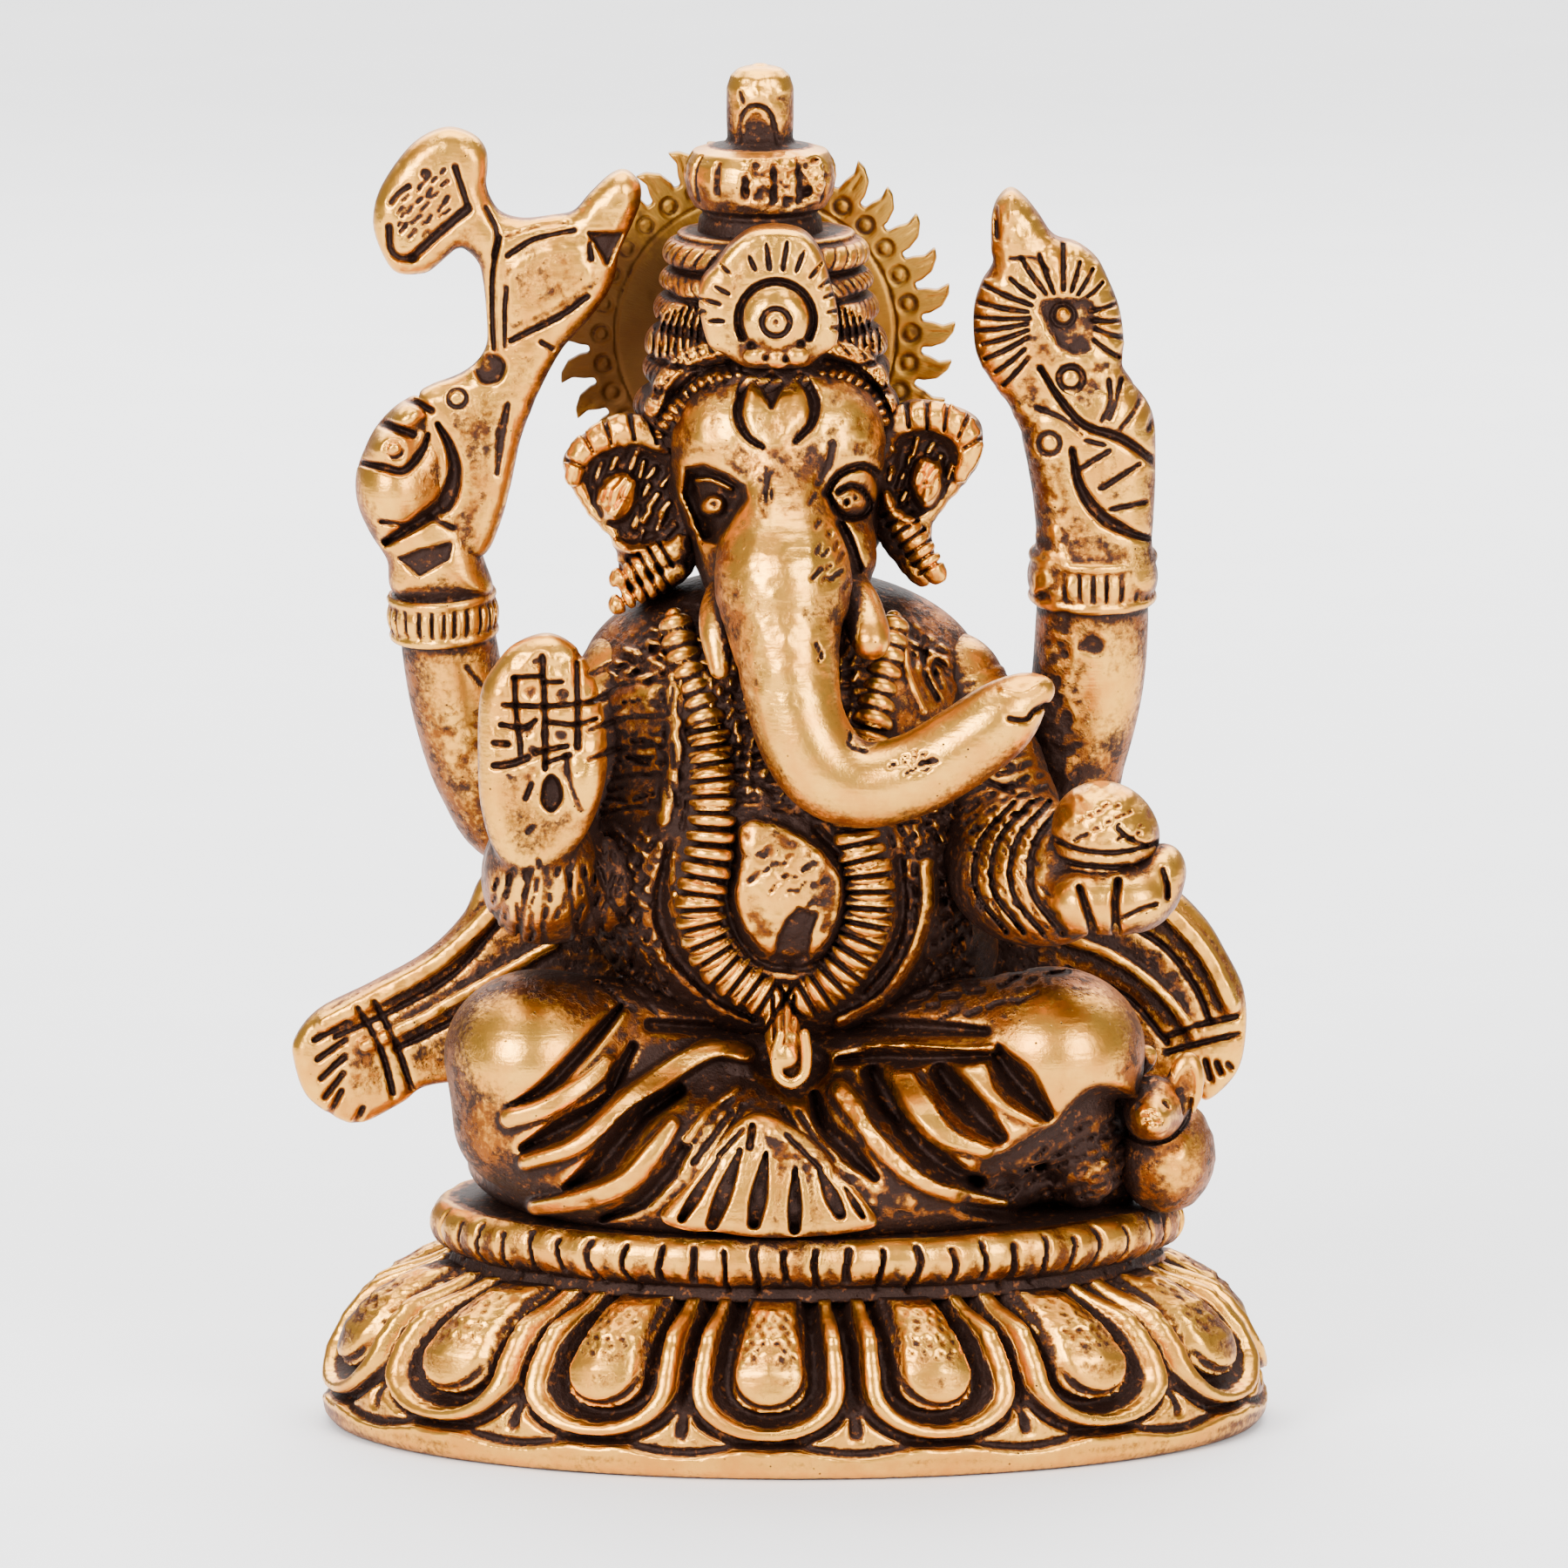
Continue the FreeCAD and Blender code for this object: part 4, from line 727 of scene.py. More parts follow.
    # the back of the seat: folds of cloth falling from the waist
    back = Relief(-23.0, 23.0, 12.0, 34.0, 0.12)
    for x in (-15.0, -11.0, -7.0, -3.0, 1.0, 5.0, 9.0, 13.0):
        back.line([(x * 0.6, 27.5), (x * 0.88, 22.0), (x, 15.6)], 1.5, -0.8)
        back.line([(x * 0.6 + 1.8, 27.0), (x * 0.88 + 2.0, 22.0), (x + 2.1, 15.6)], 1.9, 0.45, flat=0.3)
    back.grain([(-22.0, 15.0), (22.0, 15.0), (20.0, 30.0), (-20.0, 30.0)], 0.16, 0.9, 4)
    back.press(b, 4.0, 3.0, facing=-1.0, slope=0.0)
    b.f = np.maximum(b.f, 14.7 - b.grids()[2])
    cast("folded_legs", b)


def skirt_pleats():
    """The fan of pleats in front of the ankles."""
    b = Block((-11.2, -17.4, 13.6), (7.4, -8.2, 25.0), 0.12)
    y = -15.0
    fan = ups([(-8.8, 13.9), (-7.2, 13.0), (-5.2, 12.9), (-3.2, 12.6), (-1.1, 12.5), (1.2, 12.6),
               (3.2, 12.8), (5.3, 13.4), (4.3, 15.4), (2.4, 17.6), (0.2, 19.4), (-2.6, 20.4), (-5.0, 18.8),
               (-7.0, 16.2)], y)
    build(b, [(slab(fan, -15.6, -10.6, edge=0.8, dome=0.6, slope=(0.0, 0.22)), 0)])
    r = Relief(-11.0, 7.5, 10.0, 25.0)
    flutes = [((-7.4, 13.7), (-5.0, 17.6), 0.9), ((-5.4, 13.4), (-3.6, 18.2), 1.3),
              ((-2.7, 13.4), (-1.9, 18.0), 1.35), ((-0.05, 13.0), (0.0, 17.0), 1.1),
              ((2.9, 14.0), (1.6, 16.8), 1.15), ((4.4, 13.8), (3.2, 15.8), 0.5)]
    for foot, head, w in flutes:
        middle = ((foot[0] * 0.6 + head[0] * 0.4), (foot[1] * 0.6 + head[1] * 0.4))
        r.line([foot + (0.8,), middle + (1.0,), head + (0.25,)], w, -1.3, "min", flat=0.3)
    r.line([(-3.0, 18.4), (-2.8, 19.8)], 0.7, -0.8)
    r.line([(-5.0, 17.8), (-3.4, 19.6)], 0.5, -0.5)
    r.line([(1.6, 17.0), (-0.6, 19.2)], 0.5, -0.5)
    r.grain([(-7.0, 16.6), (-2.4, 20.6), (4.0, 16.0), (2.0, 15.8), (-2.0, 17.4), (-6.0, 16.4)], 0.2, 0.7, 19)
    r.press(b, -11.5, 1.0)
    b.f = np.maximum(b.f, 14.6 - b.grids()[2])
    cast("skirt_pleats", b)


def mouse():
    """The mouse beside the left knee."""
    b = Block((20.0, -14.6, 14.4), (28.8, 3.4, 27.2), 0.13)
    build(b, [
        (oval((24.3, -4.2, 18.5), (3.3, 4.6, 3.9)), 0),
        (oval((23.5, -7.6, 22.0), (2.0, 2.6, 2.3)), 0.8),
        (oval((23.3, -9.8, 22.0), (1.35, 1.9, 1.3)), 0.9),
        (oval((23.3, -11.5, 21.8), (0.6, 0.55, 0.5)), 0.3),
        (oval((25.5, -7.4, 23.6), (1.25, 0.75, 2.3), (0, 8, 0)), 0.3),
        (oval((25.55, -8.2, 23.5), (0.7, 0.6, 1.65), (0, 8, 0)), 0.15, "cut"),
        (oval((22.3, -6.6, 25.1), (1.5, 0.75, 1.0), (0, -30, 0)), 0.4),
        (oval((22.3, -7.4, 25.0), (0.8, 0.5, 0.5), (0, -30, 0)), 0.15, "cut"),
        (oval((22.3, -10.2, 22.8), (0.34, 0.34, 0.34)), 0.15, "cut"),
        (oval((24.2, -10.2, 22.9), (0.34, 0.34, 0.34)), 0.15, "cut"),
        (tube([(22.5, -10.9, 21.1, 0.2), (23.3, -11.5, 20.8, 0.24), (24.1, -10.8, 21.1, 0.2)]), 0.1, "cut"),
    ])
    r = Relief(19.0, 30.0, 12.0, 27.0)
    r.line([(21.6, 19.2), (22.8, 18.6), (24.4, 18.8), (25.6, 20.0), (25.9, 21.4)], 0.45, -0.45)
    scatter(r, [(22.8, 19.9), (23.8, 19.9), (23.8, 20.8), (22.8, 20.8)], 10, 0.25, 0.4, 94, 0.25, -0.3)
    r.grain([(20.6, 14.0), (28.4, 14.0), (28.4, 22.0), (20.6, 22.0)], 0.08, 0.8, 95)
    r.press(b, -2.0, 1.0)
    b.f = np.maximum(b.f, 14.5 - b.grids()[2])
    cast("mouse", b)


# ---------------------------------------------------------------- torso and garland

def torso():
    """Belly and chest, with the cloth over the shoulder and the plate on the belly."""
    b = Block((-15.2, -13.2, 24.6), (14.2, 10.6, 57.8), 0.18)
    build(b, [
        (oval((-1.2, -1.0, 38.0), (13.4, 10.8, 12.6)), 0),
        (oval((-0.9, 1.6, 49.4), (13.2, 7.4, 7.2)), 3.5),
        (oval((-6.6, -3.2, 48.2), (5.0, 4.6, 4.4)), 2.5),
        (oval((5.4, -3.2, 48.0), (5.0, 4.6, 4.4)), 2.5),
        (oval((6.8, 1.6, 31.2), (6.6, 6.4, 6.2)), 2.0), ])
    r = Relief(-15.5, 16.0, 24.0, 58.0)
    # the wrapped cloth on the picture's left: bands of short cuts between folds
    for k, g in enumerate((40.6, 42.7, 44.6, 46.6, 48.9)):
        r.line([(-13.2, g - 0.4), (-10.8, g + 0.2), (-7.6, g + 0.3)], 0.4, -0.3)
        scatter(r, [(-13.2, g + 0.2), (-7.4, g + 0.7), (-7.4, g + 1.7), (-13.2, g + 1.2)], 4 + 7 * k % 11,
                0.5, 1.9, 70 + k)
    r.line([(-7.4, 53.0), (-7.9, 48.6), (-7.8, 44.0), (-8.6, 40.0)], 1.3, 0.45, "max", flat=0.3)
    scatter(r, [(-9.0, 40.0), (-7.0, 40.0), (-6.8, 52.0), (-8.4, 52.6)], 92, 0.5, 2.2, 76)
    scatter(r, [(-12.0, 49.4), (-6.4, 48.6), (-6.6, 52.6), (-11.0, 53.0)], 35, 0.8, 1.0, 77, 0.5)
    for corners, seed in (([(-13.4, 49.6), (-5.4, 49.6), (-5.4, 57.6), (-12.4, 56.0)], 105),
                          ([(7.0, 50.6), (14.0, 47.6), (12.6, 54.0), (7.6, 57.0)], 106)):
        scatter(r, corners, -35, 1.0, 1.3, seed, 0.6, 0.42)
        scatter(r, corners, -40, 1.3, 1.0, seed + 10, 0.5, -0.45)
    for corners, turn, seed in (([(-13.4, 27.0), (-8.0, 27.0), (-8.2, 39.4), (-13.8, 39.4)], 60, 78),
                                ([(7.0, 27.0), (13.6, 27.0), (13.6, 46.0), (8.6, 45.0)], 40, 100),
                                ([(-5.0, 41.4), (4.0, 41.4), (5.0, 53.0), (-6.0, 54.0)], 8, 101)):
        scatter(r, corners, turn, 0.9, 1.2, seed, 0.55)
        scatter(r, corners, turn + 70, 1.1, 0.8, seed + 10, 0.5, 0.38)
    # the shoulder on the picture's right, and the crusted flank below it
    scatter(r, [(7.6, 49.6), (12.6, 46.6), (13.6, 48.0), (8.4, 52.4)], -70, 1.3, 1.2, 79, 0.55)
    r.line([(7.2, 52.6), (7.4, 49.8), (8.4, 47.2)], 0.8, 0.4, "max")
    r.line([(8.3, 51.6), (8.5, 49.6), (9.3, 48.0)], 0.6, -0.5)
    scatter(r, [(5.4, 36.0), (8.6, 33.0), (13.0, 40.0), (13.0, 45.4), (6.6, 42.0)], 20, 0.7, 1.5, 80)
    scatter(r, [(5.4, 36.0), (9.6, 33.0), (13.0, 40.0), (12.4, 43.4), (6.6, 42.0)], 115, 0.9, 1.2, 81)
    scatter(r, [(-4.6, 40.4), (3.4, 40.0), (2.6, 42.6), (-1.0, 43.4), (-4.8, 46.0)], 5, 0.7, 1.6, 82)
    # the shield-shaped plate on the belly, its foot eaten into a dark patch
    r.area([(-3.6, 39.6), (-1.6, 39.9), (1.0, 38.6), (2.8, 36.6), (3.0, 34.2), (2.0, 31.9), (0.4, 31.0),
            (-1.9, 31.3), (-3.3, 32.9), (-3.9, 35.0), (-3.6, 37.4)], 0.7, edge=0.3, dome=0.25)
    r.line([(-4.3, 39.9), (-4.2, 37.2), (-4.5, 35.0), (-3.8, 32.4), (-2.2, 30.6), (0.4, 30.2), (2.6, 31.4),
            (3.6, 34.0), (3.4, 37.0), (1.4, 39.4)], 1.0, -0.85, "min")
    r.area([(-1.5, 30.8), (-1.1, 32.2), (-0.6, 33.4), (0.2, 34.2), (1.4, 33.8), (1.0, 32.4), (0.8, 30.8),
            (-0.4, 30.2)], -0.8, edge=0.25, rounded=False)
    scatter(r, [(-2.8, 38.6), (1.6, 37.4), (2.2, 34.2), (-0.4, 34.6), (-3.0, 36.0)], 30, 1.1, 0.5, 83, 0.4,
            -0.3)
    # the cloth's thick edge round the flank, sweeping under the garland
    r.line([(8.6, 37.0), (8.6, 34.0), (7.6, 30.8), (5.6, 28.0), (3.0, 26.6)], 1.5, 0.75, "max", flat=0.3)
    r.line([(6.8, 37.4), (7.0, 34.0), (6.2, 31.2), (4.4, 28.8)], 1.1, -0.8, "min")
    r.line([(-8.3, 38.0, 0.4), (-8.8, 34.6, 1.0), (-8.0, 31.6, 1.2), (-5.4, 28.6, 1.0), (-2.6, 26.8, 0.5)],
           1.5, -0.9, "min")
    r.grain([(-14.0, 26.0), (13.6, 26.0), (14.0, 56.0), (-14.0, 56.0)], 0.16, 0.8, 5)
    r.press(b, -1.0, 3.0)
    # the back: the cloth's band from one shoulder to the waist, the spine, and the waist cord
    back = Relief(-15.0, 15.0, 24.0, 58.0, 0.12)
    back.line([(-10.0, 54.0), (-4.0, 46.0), (4.0, 37.0), (11.0, 30.0)], 5.2, 0.55, flat=0.6)
    for offset in (-1.4, 0.0, 1.4):
        back.line([(-10.0 + offset, 54.0 + offset), (-4.0 + offset, 46.0 + offset),
                   (4.0 + offset, 37.0 + offset),
                   (11.0 + offset, 30.0 + offset)], 0.6, -0.35)
    back.line([(-0.9, 54.0), (-1.0, 47.0), (-1.2, 40.0)], 1.6, -0.45)
    back.line([(-12.0, 31.0), (-6.0, 29.2), (0.0, 28.8), (6.0, 29.2), (12.0, 31.0)], 1.7, 0.7, flat=0.3,
              ticks=(1.4, 0.35, 0.3))
    back.grain([(-14.0, 26.0), (13.6, 26.0), (14.0, 56.0), (-14.0, 56.0)], 0.12, 1.0, 6)
    back.press(b, 3.0, 3.0, facing=-1.0, slope=0.0)
    cast("torso", b)


def hang(x, g, radius):
    """A station of the tassel's loop, hanging in front of the lap."""
    return up(x, g, -13.2) + (radius,)


def garland():
    """The long garland of links and its tassel."""
    b = Block((-9.6, -15.2, 23.6), (8.6, -1.4, 56.4), 0.13)
    beads = (1.15, 0.5, 0.5)
    build(b, [
        (tube([(-7.9, -4.2, 54.2, 1.15), (-7.2, -5.6, 51.5, 1.3), (-5.8, -7.6, 47.8, 1.45),
               (-5.4, -10.6, 43.9, 1.55), (-5.6, -11.4, 40.0, 1.65), (-6.2, -11.2, 36.0, 1.7),
               (-5.2, -10.6, 32.9, 1.7), (-3.0, -10.0, 30.8, 1.6),
               (-0.6, -9.4, 29.4, 1.4)], ripple=beads), 0),
        (tube([(6.4, -3.8, 54.0, 1.1), (6.0, -5.6, 51.5, 1.25), (5.0, -7.8, 47.8, 1.4),
               (4.1, -10.6, 43.4, 1.5), (4.0, -11.2, 41.0, 1.6), (4.8, -11.0, 37.9, 1.7),
               (4.4, -10.6, 34.4, 1.7), (2.5, -9.9, 31.2, 1.6), (-0.8, -9.4, 29.2, 1.4)], ripple=beads), 0),
        (tube([(-0.8, -10.2, 29.3, 1.2), (-0.9, -11.6, 27.8, 1.1), (-0.8, -12.7, 26.6, 0.9)]), 0.5), ])
    r = Relief(-10.0, 9.0, 20.0, 57.0)
    # the black cuts between the links, down both strands to the point
    cross_cuts(r, [(-6.4, 47.0), (-5.6, 42.0), (-5.7, 38.0), (-6.2, 34.0), (-5.2, 31.0), (-3.0, 29.0),
                   (-0.8, 27.6)], 1.15, 1.9, 0.5, -0.75)
    cross_cuts(r, [(5.6, 47.0), (4.2, 41.5), (4.2, 39.0), (4.8, 36.0), (4.5, 32.4), (2.6, 29.4),
                   (-0.4, 27.4)], 1.15, 1.9, 0.5, -0.75)
    for x0, x1 in ((-1.5, -1.3), (-0.8, -0.8), (-0.1, -0.3)):
        r.line([(x0, 28.4), (x1, 25.4)], 0.4, -0.6)
    r.press(b, -4.0, 1.0)
    # the tassel's loop, open in the middle round a small bar
    build(b, [(tube([hang(-0.95, 25.9, 0.3), hang(-1.25, 24.6, 0.36), hang(-1.15, 23.2, 0.38),
                     hang(-0.3, 22.6, 0.4),
                     hang(0.55, 23.2, 0.38), hang(0.75, 24.6, 0.36), hang(0.6, 25.9, 0.34)], step=0.3), 0.2),
              (tube([hang(-0.6, 24.9, 0.22), hang(-0.5, 24.0, 0.24)], step=0.3), 0.1),
              (tube([(-0.5, -11.0, 28.4, 0.7), (-0.4, -12.4, 27.2, 0.6), (-0.3, -13.0, 26.6, 0.4)],
                    step=0.3), 0.4),
              (oval(up(-0.25, 24.4, -12.4), (0.8, 0.5, 1.7)), 0.2)])
    cast("garland", b)


# ---------------------------------------------------------------- head

def head():
    """The head and the trunk, with the eyes and the mark on the brow."""
    b = Block((-10.4, -17.8, 40.6), (18.0, 6.8, 73.2), 0.17)
    build(b, [
        (oval((-1.15, -2.4, 64.6), (6.9, 6.8, 8.0)), 0),
        (oval((-1.0, 1.2, 63.4), (8.2, 5.4, 8.4)), 0.8),
        (oval((-0.9, -1.8, 58.2), (5.5, 6.2, 6.0)), 1.8),
        (oval((-4.4, -4.8, 66.2), (3.3, 3.4, 3.6)), 1.6),
        (oval((2.3, -4.8, 66.2), (3.3, 3.4, 3.6)), 1.6),
        (oval((-4.5, -5.0, 58.4), (1.9, 2.6, 2.6)), 1.4),
        (oval((3.3, -5.0, 58.4), (2.0, 2.6, 2.8)), 1.4),
        (tube([(-0.9, -4.2, 66.4, 3.2), (-0.8, -6.6, 63.2, 3.2), (-0.8, -8.6, 60.2, 3.7),
               (-0.8, -9.8, 57.8, 4.5), (-0.75, -11.0, 55.2, 3.8), (-0.5, -12.0, 52.8, 3.35),
               (-0.1, -12.7, 50.0, 3.1), (0.7, -13.2, 47.6, 3.05), (2.2, -13.6, 45.6, 3.0),
               (4.6, -14.0, 44.8, 2.8), (7.8, -14.3, 45.6, 2.7), (11.0, -14.4, 47.5, 2.65),
               (13.2, -14.5, 49.2, 2.45), (14.8, -14.7, 50.7, 1.6), (15.8, -14.9, 51.2, 1.0)]), 1.2), ])
    r = Relief(-11.0, 18.5, 38.0, 73.5)
    # eyes: a deep dark socket under a heavy lid on one side, a lid drawn round a small ball on the other
    r.area([(-7.0, 63.2), (-5.9, 63.4), (-4.5, 62.8), (-3.4, 62.0), (-3.2, 61.2), (-3.9, 60.3), (-4.6, 59.3),
            (-5.2, 58.4), (-6.0, 58.6), (-6.5, 60.0), (-7.2, 61.6)], -1.1, edge=0.3, rounded=False)
    r.area([(-6.1, 61.0), (-5.4, 61.5), (-4.7, 61.2), (-4.7, 60.5), (-5.3, 60.2), (-6.0, 60.4)], 1.0,
           edge=0.25, dome=0.3)
    r.line([(-6.4, 62.5), (-5.5, 62.5), (-4.2, 61.9)], 0.5, 0.85, flat=0.2)
    r.dot(-5.3, 60.9, 0.3, -0.45)
    r.line([(2.0, 61.6), (2.8, 62.8), (4.2, 63.4), (5.2, 63.0), (5.7, 61.9), (5.6, 60.9)], 0.75, -0.95)
    r.line([(2.2, 61.4), (2.6, 60.5), (3.4, 60.0), (4.4, 60.2), (4.9, 60.9)], 0.55, -0.85)
    r.line([(2.7, 61.7), (3.5, 62.1), (4.3, 61.9), (4.9, 61.0)], 0.45, -0.7)
    r.area([(2.8, 61.2), (3.5, 61.7), (4.3, 61.4), (4.4, 60.8), (3.6, 60.4), (2.9, 60.7)], 0.35, edge=0.25,
           dome=0.3)
    r.dot(3.3, 61.0, 0.26, -0.6)
    r.dot(3.9, 61.3, 0.2, -0.4)
    r.line([(2.9, 59.6), (3.6, 58.2), (4.1, 56.6)], 0.9, -0.65)
    r.line([(-6.9, 58.9), (-6.3, 57.2), (-5.8, 55.4)], 1.1, -0.6)
    r.line([(1.5, 62.2), (2.2, 63.6), (2.4, 64.8)], 0.8, -0.3)
    scatter(r, [(-2.3, 60.8), (-1.5, 60.8), (-1.5, 63.4), (-2.3, 63.4)], 80, 0.3, 0.35, 90, 0.25, -0.25)
    scatter(r, [(1.2, 56.4), (3.0, 54.4), (3.6, 56.0), (2.0, 60.0), (1.0, 61.6)], 55, 0.75, 0.9, 91, 0.5,
            -0.32)
    # the mark on the brow: two facing curves, broadest in the middle, and a notch between two lobes
    r.line([(-3.2, 69.3, 0.9), (-3.5, 68.2, 1.0), (-3.75, 66.7, 1.1), (-3.1, 65.3, 0.8), (-2.05, 64.6, 0.4)],
           0.85, -0.85)
    r.line([(0.3, 69.3, 0.8), (0.9, 68.5, 1.0), (1.25, 67.4, 1.2), (1.0, 66.1, 0.9), (0.0, 65.0, 0.4)], 0.95,
           -0.85)
    r.area([(-2.4, 68.9), (-1.56, 67.2), (-0.8, 68.8), (-1.5, 69.6)], -0.7, edge=0.2, rounded=False)
    r.area([(-3.1, 68.4), (-2.3, 68.2), (-1.56, 67.2), (-0.8, 68.1), (0.2, 68.2), (0.6, 67.0), (0.0, 65.8),
            (-1.6, 64.4), (-2.8, 65.6), (-3.2, 67.0)], 0.22, edge=0.4)
    # scars and pits in the lapped trunk
    r.line([(-1.9, 62.7), (-1.9, 61.0)], 0.3, -0.2)
    r.line([(1.3, 51.6), (1.7, 50.8), (1.5, 50.5)], 0.35, -0.35)
    scatter(r, [(6.2, 43.6), (7.4, 44.8), (8.6, 44.6), (9.1, 43.6), (8.0, 42.9), (6.9, 43.1)], 20, 0.32, 0.6,
            92, 0.34, -0.4)
    r.line([(3.6, 45.7), (3.5, 44.9), (4.6, 44.5)], 0.3, -0.35)
    r.line([(16.2, 47.6), (15.4, 47.2), (14.9, 46.6), (13.8, 46.7)], 0.55, -0.6)
    r.line([(15.8, 49.0), (14.8, 48.4), (13.4, 48.6)], 0.6, 0.25)
    # the open mouth beside the trunk
    r.area([(3.5, 50.2), (4.6, 50.6), (5.8, 49.4), (6.1, 47.4), (5.2, 46.2), (4.1, 46.3), (3.3, 48.2)], -1.6,
           edge=0.4)
    r.grain([(-9.4, 50.0), (7.6, 50.0), (8.0, 72.0), (-9.6, 72.0)], 0.09, 0.8, 8)
    r.press(b, -2.2, 1.6)
    back = Relief(-10.5, 9.0, 52.0, 73.0, 0.12)
    for k in range(9):
        x = -7.6 + 1.7 * k
        back.line([(x, 69.5), (x * 1.03, 64.0), (x * 0.9, 57.6)], 0.8, -0.4)
    back.line([(-8.0, 61.0), (-1.0, 59.6), (6.4, 61.0)], 1.4, 0.5, flat=0.3, ticks=(1.2, 0.35, 0.3))
    back.press(b, 1.6, 2.0, facing=-1.0, slope=0.0)
    cast("head", b)


def tusk(name, stations, lo, hi):
    """A tusk through its stations, inside the box from lo to hi."""
    b = Block(lo, hi, 0.11)
    build(b, [(tube(stations, step=0.3), 0)])
    cast(name, b)


def ear(name, outline, rim, ribs, hollow, lobe, hem, lappets):
    """A fan ear: a dished blade, its top edge rolled forward and cut with ribs, a lobe, and ribbed
    lappets hanging below."""
    line = np.array(outline)
    b = Block((line[:, 0].min() - 1.4, -5.2, line[:, 1].min() - 1.4), (line[:, 0].max() + 1.4, 3.6,
                                                                       line[:, 1].max() + 1.8), 0.12)
    build(b, [
        (slab(ups(outline, -0.6), -1.6, 1.8, edge=0.9, dome=0.3), 0),
        (tube([up(x, g, -2.0) + (w,) for x, g, w in rim], step=0.3), 0.5),
    ] + [(tube([up(x, g, -2.4) + (w,) for x, g, w in band], step=0.3), 0.3) for band in lappets])
    r = Relief(line[:, 0].min() - 2.0, line[:, 0].max() + 2.0, line[:, 1].min() - 3.0,
               line[:, 1].max() + 3.0)
    for x0, g0, x1, g1 in ribs:
        r.line([(x0, g0, 0.5), ((x0 + x1) / 2.0, (g0 + g1) / 2.0, 1.0), (x1, g1, 0.6)], 0.52, -0.5)
    r.area(hollow, -0.85, edge=0.5)
    scatter(r, hollow, 65, 0.9, 1.2, 99, 0.8, 0.6)
    r.area(lobe, 1.5, edge=0.3, dome=0.45)
    r.line(hem, 0.95, 0.6, flat=0.2)
    for band in lappets:
        path = curve([(x, g) for x, g, w in band], step=0.2)
        for k in range(2, len(path) - 2, 4):
            dx, dg = path[k + 1] - path[k - 1]
            n = math.hypot(dx, dg)
            ux, ug = -dg / n, dx / n
            r.line([(path[k][0] - 0.95 * ux, path[k][1] - 0.95 * ug), (path[k][0] + 0.95 * ux,
                                                                       path[k][1] + 0.95 * ug)], 0.36,
                   -0.5, rounded=False)
    r.grain([(line[:, 0].min(), line[:, 1].min()), (line[:, 0].max(), line[:, 1].min()),
             (line[:, 0].max(), line[:, 1].max()), (line[:, 0].min(), line[:, 1].max())], 0.14, 0.7, 9)
    r.press(b, 0.2, 0.6)
    cast(name, b)


def tusks():
    """Both tusks."""
    tusk("right_tusk", [(-4.0, -4.8, 57.2, 1.1), (-4.8, -7.4, 55.6, 1.3), (-5.1, -9.4, 54.2, 1.15),
                        (-4.9, -10.7, 51.9, 0.7)], (-7.2, -12.4, 50.4), (-2.4, -3.2, 59.0))
    tusk("left_tusk", [(2.8, -4.8, 57.4, 1.2), (4.0, -7.8, 55.8, 1.45), (4.7, -9.8, 54.3, 1.4),
                       (4.9, -10.5, 53.7, 1.25)],
         (0.8, -12.8, 51.4), (7.2, -3.2, 59.6))


